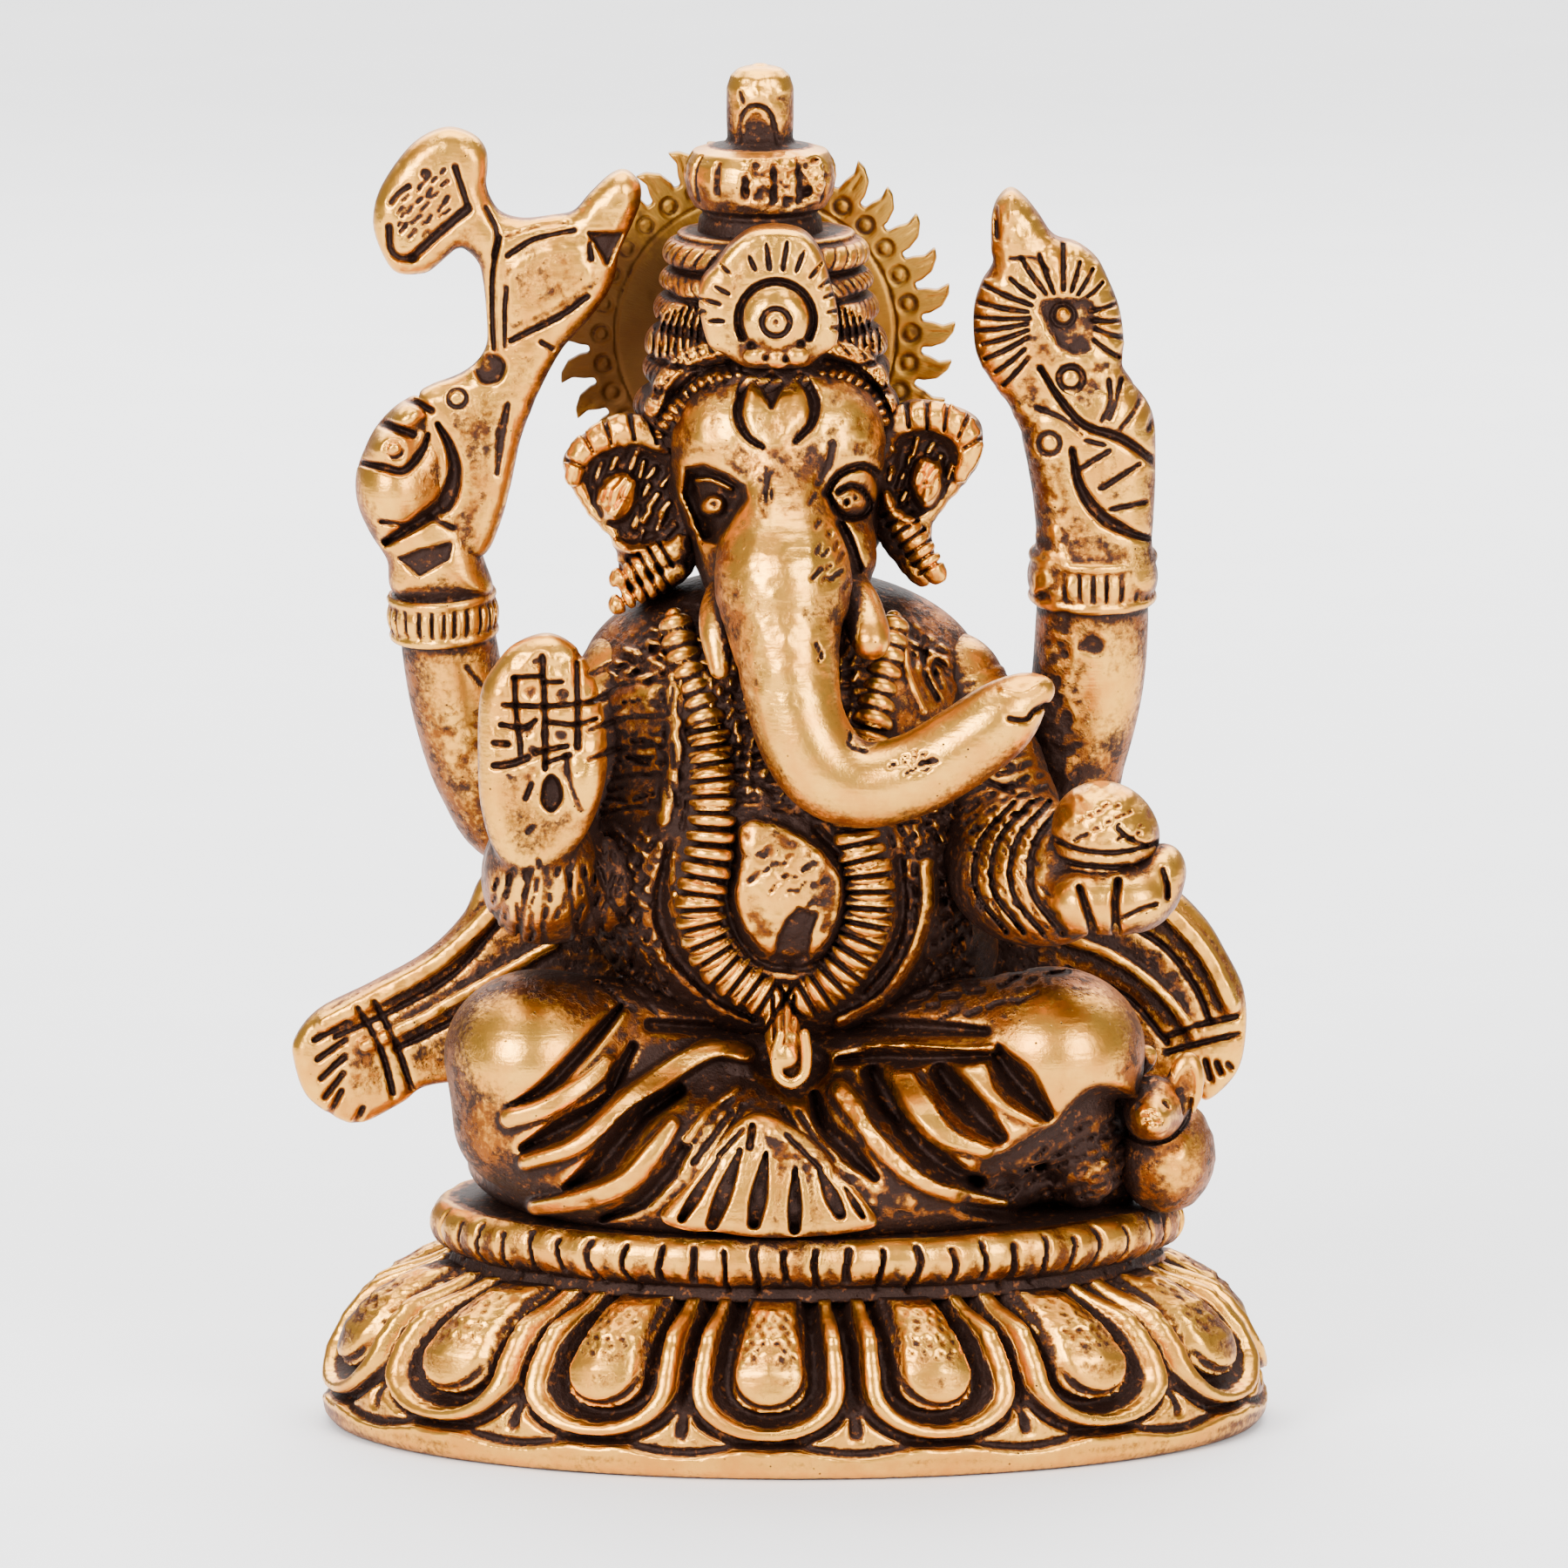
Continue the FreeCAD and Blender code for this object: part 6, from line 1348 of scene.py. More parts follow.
def finger_grooves(r):
    """The folded fingers round the lotus stem: two long diagonal cuts with short ticks between."""
    r.line([(16.0, 70.0, 0.6), (17.4, 67.8, 0.9), (18.9, 66.2, 1.0), (21.4, 65.3, 1.2), (23.9, 63.5, 0.9)],
           0.85, -0.85)
    r.line([(18.1, 64.6, 0.5), (18.6, 62.2, 0.9), (19.9, 60.3, 1.3), (21.7, 59.2, 1.0), (23.2, 58.7, 0.5)],
           1.0, -0.9)
    for path in ([(20.5, 69.2), (20.6, 67.8), (20.0, 66.4)], [(21.3, 69.3), (20.9, 67.6), (20.5, 66.6)],
                 [(22.8, 68.6), (22.2, 67.2), (21.2, 65.9)], [(23.5, 66.9), (23.1, 65.9)],
                 [(18.6, 63.3), (20.5, 64.5)], [(20.0, 62.0), (22.6, 63.7)], [(20.6, 60.6), (22.9, 61.1)],
                 [(19.0, 65.2), (20.2, 64.9)]):
        r.line(path, 0.5, -0.45)
    r.ring(16.6, 65.0, 0.7, 0.35, 0.35)
    r.line([(15.8, 67.4), (17.6, 66.6), (18.8, 65.6)], 0.5, -0.4)


def lotus_flower():
    """The lotus: a flat bud with its petals engraved as rays round a hub."""
    b = Block((10.2, -2.8, 61.0), (25.0, 5.4, 84.0), 0.12)
    y = 1.0
    body = ups([(14.1, 81.9), (13.3, 81.3), (12.85, 80.1), (12.8, 78.2), (12.9, 76.9), (12.2, 75.7),
                (11.7, 74.0), (11.7, 72.0), (12.1, 70.4), (13.1, 68.9), (14.0, 67.6), (14.8, 65.9),
                (15.4, 63.8), (18.0, 62.6), (21.4, 63.6), (22.6, 66.6), (22.2, 68.8), (21.4, 70.2),
                (21.5, 72.0), (21.2, 74.0), (20.5, 75.8), (19.7, 77.3), (18.4, 78.3), (16.9, 78.8),
                (15.9, 80.2), (15.0, 81.3)], y)
    build(b, [(slab(body, -0.7, 3.2, edge=1.2, dome=0.9), 0)])
    r = Relief(9.0, 26.0, 60.0, 85.0)
    hub = (17.5, 73.2)
    r.area([(16.0, 74.2), (17.4, 74.6), (19.4, 74.4), (19.8, 72.6), (18.8, 71.0), (17.2, 71.6)], -0.5,
           edge=0.4)
    r.dot(hub[0], hub[1] + 0.3, 0.55, 0.55)
    r.ring(hub[0], hub[1] + 0.3, 0.75, 0.3, 0.3)
    for t, near, far, w in ((124, 2.0, 4.9, 0.55), (110, 1.8, 4.6, 0.5), (90, 1.9, 5.0, 0.6),
                            (74, 1.9, 4.0, 0.5), (60, 1.9, 3.9, 0.5), (44, 2.2, 3.6, 0.45),
                            (18, 1.9, 3.8, 0.5), (0, 1.9, 4.0, 0.6), (-16, 2.2, 4.2, 0.6),
                            (-34, 2.4, 4.4, 0.5), (142, 2.4, 4.4, 0.45), (156, 2.3, 5.8, 0.55),
                            (168, 2.4, 5.6, 0.6), (178, 2.2, 5.7, 0.5), (187, 2.4, 5.7, 0.6),
                            (197, 2.4, 5.5, 0.55), (207, 2.6, 5.7, 0.55), (218, 3.2, 5.6, 0.5),
                            (228, 3.4, 5.8, 0.45)):
        c, q = math.cos(math.radians(t)), math.sin(math.radians(t))
        r.line([(hub[0] + near * c, hub[1] + near * q, 0.8),
                (hub[0] + (near + far) / 2 * c, hub[1] + (near + far) / 2 * q - 0.1, 1.0),
                (hub[0] + far * c, hub[1] + far * q, 0.8)], w, -0.5)
    r.ring(18.0, 69.3, 0.78, 0.5, 0.45, middle=0.1)
    finger_grooves(r)
    r.line([(13.1, 80.6), (13.2, 78.6)], 0.5, -0.4)
    r.line([(14.0, 77.2), (15.6, 77.2), (16.6, 76.4)], 0.4, -0.25)
    r.grain([(12.0, 64.0), (23.0, 64.0), (21.0, 78.0), (13.0, 80.0)], 0.12, 0.6, 37)
    r.press(b, 1.0, 1.0)
    back = Relief(9.0, 26.0, 60.0, 85.0, 0.12)
    for k in range(7):
        t = math.radians(k * 30.0)
        c, q = math.cos(t), math.sin(t)
        back.line([(17.0 + 0.8 * c, 70.0 + 0.8 * q), (17.0 + 4.4 * c, 70.0 + 6.4 * q)], 0.6, -0.45,
                  rounded=False)
    back.press(b, 2.4, 1.0, facing=-1.0, slope=0.0)
    cast("lotus_flower", b)


def front_right_arm():
    """The arm with the open blessing palm."""
    b = Block((-21.9, -16.6, 31.6), (-6.0, 5.2, 56.2), 0.16)
    y = -13.6
    palm = ups([(-16.2, 52.3), (-18.2, 51.6), (-19.4, 50.3), (-20.4, 48.4), (-20.6, 44.7), (-20.4, 40.9),
                (-19.4, 37.8), (-17.7, 36.5), (-15.9, 36.8), (-13.9, 38.7), (-12.7, 41.2), (-12.2, 44.0),
                (-12.5, 47.4), (-13.4, 50.2), (-14.6, 51.7)], y)
    build(b, [
        (tube([(-10.4, 0.8, 49.0, 4.0), (-13.4, -0.8, 43.4, 4.2), (-15.4, -2.6, 39.2, 4.1),
               (-16.4, -6.4, 38.4, 3.9), (-16.6, -10.6, 39.2, 3.5)]), 0),
        (slab(palm, -15.2, -12.0, edge=1.3, dome=0.3), 1.0),
        (oval(up(-13.8, 42.6, -15.0), (1.1, 0.8, 2.4), (0, 8, 0)), 0.6),
        (tube([(-15.0, -4.0, 37.4, 4.2), (-16.4, -8.0, 37.2, 4.0), (-16.8, -11.4, 38.0, 3.3)]), 0.8),
        (oval((-13.6, -7.4, 37.0), (3.6, 2.4, 3.4)), 0.8), ])
    r = Relief(-22.5, -5.5, 28.0, 57.0)
    for path, w in (([(-18.2, 49.4), (-18.1, 47.4), (-17.8, 44.4)], 0.55),
                    ([(-16.4, 50.8), (-16.25, 47.4), (-16.2, 43.4)], 0.65),
                    ([(-14.2, 50.4), (-14.1, 47.6), (-14.1, 44.8)], 0.7),
                    ([(-18.3, 49.4), (-16.4, 49.5)], 0.4),
                    ([(-16.3, 49.1), (-15.1, 49.1)], 0.4), ([(-18.9, 47.6), (-16.2, 47.5), (-13.0, 47.8)],
                                                            0.5),
                    ([(-19.1, 46.3), (-17.6, 46.1), (-16.8, 46.6)], 0.5),
                    ([(-16.1, 46.5), (-14.4, 46.3), (-12.9, 46.7)], 0.45),
                    ([(-19.5, 45.1), (-18.6, 45.0)], 0.65), ([(-16.8, 44.5), (-14.8, 44.9)], 0.5),
                    ([(-19.5, 43.6), (-18.4, 43.7), (-17.4, 44.1)], 0.7),
                    ([(-16.2, 43.8), (-14.6, 44.3)], 0.45)):
        r.line(path, w, -0.65)
    for x, g in ((-17.4, 46.0), (-15.2, 45.6), (-17.2, 48.4), (-15.0, 48.2), (-17.0, 44.4)):
        r.dot(x, g, 0.6, -0.3)
    r.area([(-16.3, 42.4), (-15.8, 43.0), (-15.3, 42.4), (-15.2, 41.4), (-15.8, 40.6), (-16.4, 41.2)], -1.0,
           edge=0.2)
    r.line([(-17.1, 42.4), (-17.5, 41.4)], 0.5, -0.5)
    r.line([(-17.0, 39.6), (-17.4, 39.2)], 0.4, -0.4)
    r.dot(-14.0, 50.9, 0.35, -0.4)
    r.dot(-16.8, 50.4, 0.35, -0.35)
    r.line([(-14.9, 44.4), (-14.6, 42.4), (-13.9, 40.6)], 0.5, -0.3)
    r.grain([(-19.4, 43.0), (-13.6, 43.0), (-13.6, 50.4), (-19.0, 50.4)], 0.16, 0.6, 41)
    r.press(b, -12.6, 0.8)
    arm = Relief(-22.5, -5.5, 28.0, 57.0)
    for k in range(4):
        g = 44.0 + 1.9 * k
        arm.line([(-13.4, g), (-10.6, g + 1.0), (-7.4, g + 0.8)], 0.6, -0.4)
    for x, depth in ((-19.8, -0.2), (-18.0, -0.35), (-16.4, -0.15), (-14.2, -0.3), (-12.6, -0.25),
                     (-11.0, -0.35)):
        arm.line([(x, 32.0 + 0.04 * (x + 16.0) ** 2), (x * 0.8 - 3.2, 34.6), (x * 0.62 - 6.0, 36.8)], 0.6,
                 depth)
    scatter(arm, [(-20.0, 32.4), (-9.0, 32.4), (-9.0, 40.6), (-12.2, 41.0), (-13.4, 37.4), (-20.0, 37.0)],
            80, 0.9, 1.0, 103, 0.45)
    arm.press(b, -1.0, 1.5)
    cast("front_right_arm", b)


def front_left_arm():
    """The arm with the open hand under the sweet."""
    b = Block((6.0, -18.4, 31.8), (27.0, 5.2, 53.2), 0.16)
    build(b, [
        (tube([(10.0, 0.8, 48.6, 4.0), (12.4, -0.8, 43.0, 4.2), (13.4, -3.2, 39.4, 4.6),
               (14.8, -6.4, 38.0, 4.9), (16.4, -9.2, 37.8, 4.5),
               (17.6, -11.2, 37.8, 3.5)], ripple=(0.62, 0.16, 0.5)), 0),
        (oval((20.6, -13.0, 37.4), (4.3, 4.1, 2.6)), 0.7),
        (oval((18.6, -14.4, 37.2), (2.2, 2.6, 2.1)), 0.5),
        (oval((22.0, -14.4, 37.4), (2.4, 2.6, 2.1)), 0.5),
        (oval((23.6, -13.0, 38.6), (1.75, 2.6, 2.2), (0, 20, 0)), 0.7), ])
    r = Relief(5.5, 27.5, 28.0, 54.0)
    r.line([(18.4, 35.6, 0.8), (18.8, 34.4, 1.0), (19.3, 32.8, 1.0)], 0.85, -0.9, rounded=False)
    r.line([(20.9, 36.0, 0.8), (20.7, 34.6, 1.0), (20.8, 32.8, 1.0)], 0.85, -0.9, rounded=False)
    r.line([(23.8, 36.8), (24.1, 35.8), (24.1, 34.9)], 0.5, -0.6, rounded=False)
    r.line([(21.2, 33.6), (22.4, 34.2), (23.4, 34.5)], 0.5, -0.5, rounded=False)
    for shift, width in ((0.0, 0.8), (-1.3, 0.55), (-2.5, 0.5), (-3.6, 0.45)):
        r.line([(17.9 + shift, 41.2), (15.7 + shift, 38.6), (15.4 + shift, 35.4), (17.4 + shift, 32.6)],
               width, -0.55)
    scatter(r, [(11.4, 34.6), (16.0, 31.8), (17.6, 33.6), (15.8, 36.8), (15.8, 40.4), (11.4, 40.0)], -50,
            0.7, 0.9, 93, 0.32, -0.3)
    for k in range(4):
        g = 42.4 + 1.7 * k
        r.line([(8.0, g + 1.0), (11.4, g + 0.6), (14.2, g - 0.6)], 0.6, -0.4)
    scatter(r, [(7.0, 40.0), (13.6, 39.0), (17.0, 41.6), (13.0, 50.0), (7.4, 50.0)], 25, 0.9, 1.1, 102, 0.5)
    r.press(b, -2.5, 1.5)
    cast("front_left_arm", b)


def modak_sweet():
    """The sweet: a ball with a smaller one rising from it."""
    b = Block((15.8, -17.2, 36.8), (24.6, -8.2, 45.8), 0.13)
    build(b, [(oval((20.2, -12.7, 41.1), (3.5, 3.5, 3.35)), 0), (oval((19.7, -12.9, 42.4), (2.6, 2.6, 2.2)),
                                                                 1.2)])
    r = Relief(15.0, 25.0, 34.0, 45.0)
    r.line([(16.4, 39.0), (18.4, 38.1), (21.0, 37.9), (23.8, 38.6)], 0.5, -0.5)
    r.line([(16.6, 37.6), (19.0, 37.0), (22.0, 37.0), (23.8, 37.8)], 0.5, -0.5)
    r.line([(20.9, 39.4), (21.8, 38.7), (22.8, 38.3)], 0.45, -0.4, rounded=False)
    scatter(r, [(17.8, 38.6), (22.6, 38.8), (22.0, 41.0), (18.4, 41.2)], 25, 1.2, 0.5, 84, 0.32, -0.3)
    r.grain([(16.6, 36.0), (23.6, 36.0), (23.6, 42.6), (16.6, 42.6)], 0.14, 0.7, 43)
    r.press(b, -12.4, 1.0)
    cast("modak_sweet", b)


def shawl(name, outline, border, ridge, lines, fringe):
    """A flying end of the shawl: a flat leaf of cloth with a hem, folds and a fringed end."""
    line = np.array(outline)
    b = Block((line[:, 0].min() - 1.2, 2.8, line[:, 1].min() - 2.4), (line[:, 0].max() + 1.2, 9.2,
                                                                      line[:, 1].max() + 1.0), 0.15)
    y = 5.2
    build(b, [(slab(ups(outline, y), 4.4, 6.9, edge=0.8, dome=0.35), 0)])
    # the same folds on the front and on the back, where the map is read straight and not aslant
    for behind in (False, True):
        r = Relief(line[:, 0].min() - 2.0, line[:, 0].max() + 2.0, line[:, 1].min() - 3.0,
                   line[:, 1].max() + 3.0)
        r.line(border, 1.7, 0.55, "max", flat=0.4)
        r.line(ridge, 1.2, 0.4, "max", flat=0.3)
        for inner in lines:
            r.line(inner, 0.6, -0.5)
        for tick in fringe:
            r.line(tick, 0.6, -0.6, rounded=False)
        r.grain(outline, 0.10, 0.9, 51)
        if behind:
            r.g = r.g - TILT * y
            r.press(b, 5.8, 0.8, facing=-1.0, slope=0.0)
        else:
            r.press(b, 5.4, 0.8)
    cast(name, b)


def shawls():
    """Both flying ends of the shawl."""
    shawl("right_shawl_tail",
          [(-12.0, 35.6), (-16.0, 37.6), (-20.3, 36.5), (-22.0, 33.5), (-24.5, 31.0), (-28.0, 29.0),
           (-31.5, 27.2), (-33.1, 25.3), (-33.2, 23.9), (-32.3, 21.4), (-30.0, 19.8), (-28.5, 19.7),
           (-26.0, 21.0), (-24.0, 22.2), (-18.0, 22.6), (-12.0, 23.0)],
          [(-18.6, 35.6), (-21.0, 32.8), (-24.0, 30.2), (-27.8, 28.1), (-31.0, 26.3)],
          [(-16.0, 31.6), (-20.6, 29.0), (-24.4, 26.8), (-28.4, 24.8)],
          [[(-19.6, 33.0), (-22.6, 29.6), (-26.6, 27.2), (-30.4, 25.4)],
           [(-18.0, 29.0), (-22.4, 26.6), (-26.4, 24.6)], [(-28.9, 27.4), (-27.4, 24.6), (-26.6, 21.6)],
           [(-27.8, 27.8), (-26.4, 25.0), (-25.4, 22.0)]],
          [[(-29.6 - 0.1 * k, 26.4 - 1.15 * k), (-31.8 - 0.1 * k + 0.32 * k,
                                                 25.2 - 1.3 * k)] for k in range(5)]
          + [[(-28.6, 20.6), (-29.2, 19.4)]])
    shawl("left_shawl_tail",
          [(12.0, 23.0), (18.0, 22.8), (24.0, 22.6), (26.4, 21.6), (27.4, 21.2), (29.2, 23.0), (29.8, 25.4),
           (29.7, 28.4), (28.5, 31.0), (27.0, 33.4), (24.5, 35.6), (20.0, 37.2), (15.6, 37.0), (12.0, 35.6)],
          [(19.6, 36.2), (23.8, 34.4), (26.2, 32.2), (27.6, 30.2), (28.8, 27.6)],
          [(16.0, 32.6), (20.6, 31.0), (24.0, 28.6), (26.4, 25.6)],
          [[(20.4, 33.8), (24.2, 31.6), (26.4, 28.8), (27.4, 26.4)], [(18.0, 30.0), (22.0, 28.0),
                                                                      (24.6, 25.0)],
           [(24.4, 25.4), (26.6, 26.2), (29.2, 26.8)], [(24.6, 24.4), (26.8, 25.0), (29.3, 25.6)]],
          [[(25.6 + 0.75 * k, 24.0 - 0.1 * k), (26.0 + 0.72 * k, 21.9 + 0.35 * k)] for k in range(5)])


for make in (lotus_base, seat_rim, folded_legs, skirt_pleats, mouse, torso, garland, head, tusks, ears,
             crown,
             crown_front_plate, crown_finial, halo_disc, rear_right_arm, battle_axe, rear_left_arm,
             lotus_flower,
             front_right_arm, front_left_arm, modak_sweet, shawls):
    make()


# ---------------------------------------------------------------- wear, dirt and painted shade

ROOM_CORNER, ROOM_SIZE = (-36.0, -23.0, -3.0), (70.0, 46.0, 96.0)     # a box round the whole figure
CELL = 0.4
NEAR_BLUR, WIDE_BLUR, FINE_BLUR = 0.8, 2.4, 0.34


def occupancy(step):
    """How much metal fills each cell of the whole figure."""
    lo = np.array(ROOM_CORNER)
    shape = [int(n / step) for n in ROOM_SIZE]
    axes = [l + step * np.arange(n) for l, n in zip(lo, shape)]
    full = np.zeros(shape, f32)
    for piece in pieces.values():
        block = piece["block"]
        spans, picks = [], []
        for axis, own in zip(axes, block.axes):
            inside = np.nonzero((axis >= own[0]) & (axis <= own[-1]))[0]
            spans.append(slice(inside[0], inside[-1] + 1))
            picks.append(np.clip(np.round((axis[inside] - own[0]) / block.step).astype(int), 0,
                                 len(own) - 1))
        f = block.f[np.ix_(*picks)]
        part = np.clip(0.5 - f / step, 0.0, 1.0)
        full[tuple(spans)] = np.maximum(full[tuple(spans)], part)
    return lo, full


# how far the polishing wheel reached, and painted shade: by casting, then by place, as a centre, a radius
# and an amount; the dark places on the halo beside and under the crown are painted shadow, and those under
# the thighs are painted shade over crust
PIECE_REACH = {"torso": -0.2, "lotus_base": -0.07, "front_left_arm": -0.05, "mouse": -0.12,
               "folded_legs": -0.03,
               "garland": -0.04, "right_ear": 0.02, "left_ear": 0.08, "left_shawl_tail": -0.08,
               "right_shawl_tail": -0.08, "crown": -0.08}
PLACE_REACH_AND_SHADE = (((-15.6, -9.0, 34.6), 4.4, -0.4), ((14.6, -7.0, 37.0), 5.0, -0.3),
               ((9.6, -8.0, 28.6), 5.0, -0.5), ((-10.6, -8.0, 29.0), 4.4, -0.42),
               ((17.0, -12.0, 17.2), 4.8, -0.6), ((-20.6, -9.0, 17.4), 4.2, -0.4),
               ((0.0, -13.0, 20.0), 4.0, -0.4), ((10.4, 0.0, 53.0), 4.2, 0.28),
               ((-10.5, -1.0, 51.0), 3.4, 0.18), ((-3.8, -11.0, 34.0), 4.4, 0.12),
               ((11.5, -2.0, 37.0), 5.0, -0.25), ((16.4, 2.0, 47.0), 3.0, -0.3),
               ((0.0, -16.0, 13.0), 3.0, -0.2), ((-2.0, 1.0, 80.2), 6.0, -0.15),
               ((20.6, 4.0, 27.0), 4.0, -0.2), ((2.2, -8.5, 63.4), 2.4, -0.22),
               ((-7.0, -4.0, 59.0), 2.6, -0.3), ((5.2, -4.0, 59.0), 2.4, -0.25),
               ((21.8, 0.0, 48.4), 3.6, 0.3), ((0.0, -13.0, 52.0), 6.0, 0.2),
               ((6.0, -15.0, 46.0), 6.0, 0.22), ((-0.6, -9.0, 59.6), 3.4, 0.16),
               ((-10.0, 7.4, 71.0), 5.6, -0.95), ((3.4, 7.4, 66.0), 4.0, -0.25),
               ((16.0, -9.4, 28.0), 3.0, 0.15), ((-17.6, -11.0, 24.6), 4.2, 0.25),
               ((18.6, -11.0, 26.0), 3.6, 0.2), ((14.2, 1.0, 62.0), 3.4, -0.2),
               ((-24.2, 1.0, 80.8), 1.7, -0.3), ((-11.0, -1.0, 61.4), 3.0, 0.32),
               ((8.4, -1.0, 63.2), 3.0, 0.32), ((-9.4, 0.0, 55.2), 3.0, 0.2),
               ((12.4, 1.0, 73.0), 3.6, -0.12))


def reach_and_shade_of(name, points):
    """How much better (or worse) than the average each point of a casting was polished, with the painted
    shade of the places added in.
    """
    total = np.full(len(points), PIECE_REACH.get(name, 0.0))
    for centre, radius, amount in PLACE_REACH_AND_SHADE:
        total += amount * np.exp(-((points - np.array(centre)) ** 2).sum(1) / radius ** 2)
    return total


corner, metal = occupancy(CELL)
near_metal = soften(metal, NEAR_BLUR / CELL)
wide_metal = soften(metal, WIDE_BLUR / CELL)

# every casting's mesh, with its wear, patina and painted-shade layers as point attributes for the material
# to read
made = {}
for name, piece in pieces.items():
    block, points, quads = piece["block"], piece["points"], piece["quads"]
    thing = make_mesh(name + "_casting", points, quads)
    normal = normals_of(points, quads)
    start = np.array([a[0] for a in block.axes])
    softened = soften(np.clip(block.f, -1.5, 1.5), FINE_BLUR / block.step)
    # fine is low in grooves and high on crests; mid and broad are high where metal crowds round
    layers = {
        "fine": sample(softened, start, block.step, points) / FINE_BLUR,
        "mid": sample(near_metal, corner, CELL, points + 0.25 * normal),
        "broad": sample(wide_metal, corner, CELL, points + 0.8 * normal),
        # reach is the wheel's reach together with the painted shade of the places
        "reach": reach_and_shade_of(name, points),
    }
    for layer, values in layers.items():
        attribute = thing.data.attributes.new(layer, "FLOAT", "POINT")
        attribute.data.foreach_set("value", values.astype(f32))
    made[name] = thing


# ---------------------------------------------------------------- materials

class Nodes:
    """A short way to write node trees: each call adds one node and returns its output."""

    def __init__(self, name):
        self.material = bpy.data.materials.new(name)
        self.material.use_nodes = True
        self.tree = self.material.node_tree
        self.tree.nodes.clear()

    def node(self, kind, inputs=None, **settings):
        """Adds a node, with its sockets linked or set and its own settings."""
        n = self.tree.nodes.new(kind)
        for key, value in settings.items():
            setattr(n, key, value)
        for key, value in (inputs or {}).items():
            socket = n.inputs[key]
            if isinstance(value, bpy.types.NodeSocket):
                self.tree.links.new(value, socket)
            else:
                socket.default_value = value
        return n

    def layer(self, name):
        """One of the meshes' wear, patina and painted-shade layers."""
        return self.node("ShaderNodeAttribute", attribute_name=name,
                         attribute_type="GEOMETRY").outputs["Fac"]

    def math(self, operation, a, b=0.0, c=0.0, clamp=False):
        return self.node("ShaderNodeMath", {0: a, 1: b, 2: c}, operation=operation,
                         use_clamp=clamp).outputs[0]

    def plus(self, base, value, gain, offset):
        """base + value * gain + offset"""
        return self.math("ADD", base, self.math("MULTIPLY_ADD", value, gain, offset))

    def step(self, value, lo, hi):
        """A smooth step from 0 at lo to 1 at hi."""
        return self.node("ShaderNodeMapRange", {"Value": value, "From Min": lo, "From Max": hi},
                         interpolation_type="SMOOTHSTEP").outputs["Result"]

    def noise(self, scale, detail, rough, where):
        """Cloudy noise, about 0.5 on the average."""
        inputs = {"Scale": scale, "Detail": detail, "Roughness": rough, "Vector": where}
        return self.node("ShaderNodeTexNoise", inputs).outputs["Fac"]

    def mix(self, share, a, b):
        """The colour a, going to b as share goes to 1."""
        return self.node("ShaderNodeMix", {0: share, 6: a, 7: b}, data_type="RGBA").outputs[2]

    def stretched(self, where, scale):
        """Coordinates scaled along each axis."""
        return self.node("ShaderNodeVectorMath", {0: where, 1: scale}, operation="MULTIPLY").outputs[0]


def colour(*rgb):
    """A display colour, 0 to 255, as linear light."""
    parts = [v / 255.0 for v in rgb]
    return tuple(v / 12.92 if v <= 0.04 else ((v + 0.055) / 1.055) ** 2.4 for v in parts) + (1.0,)


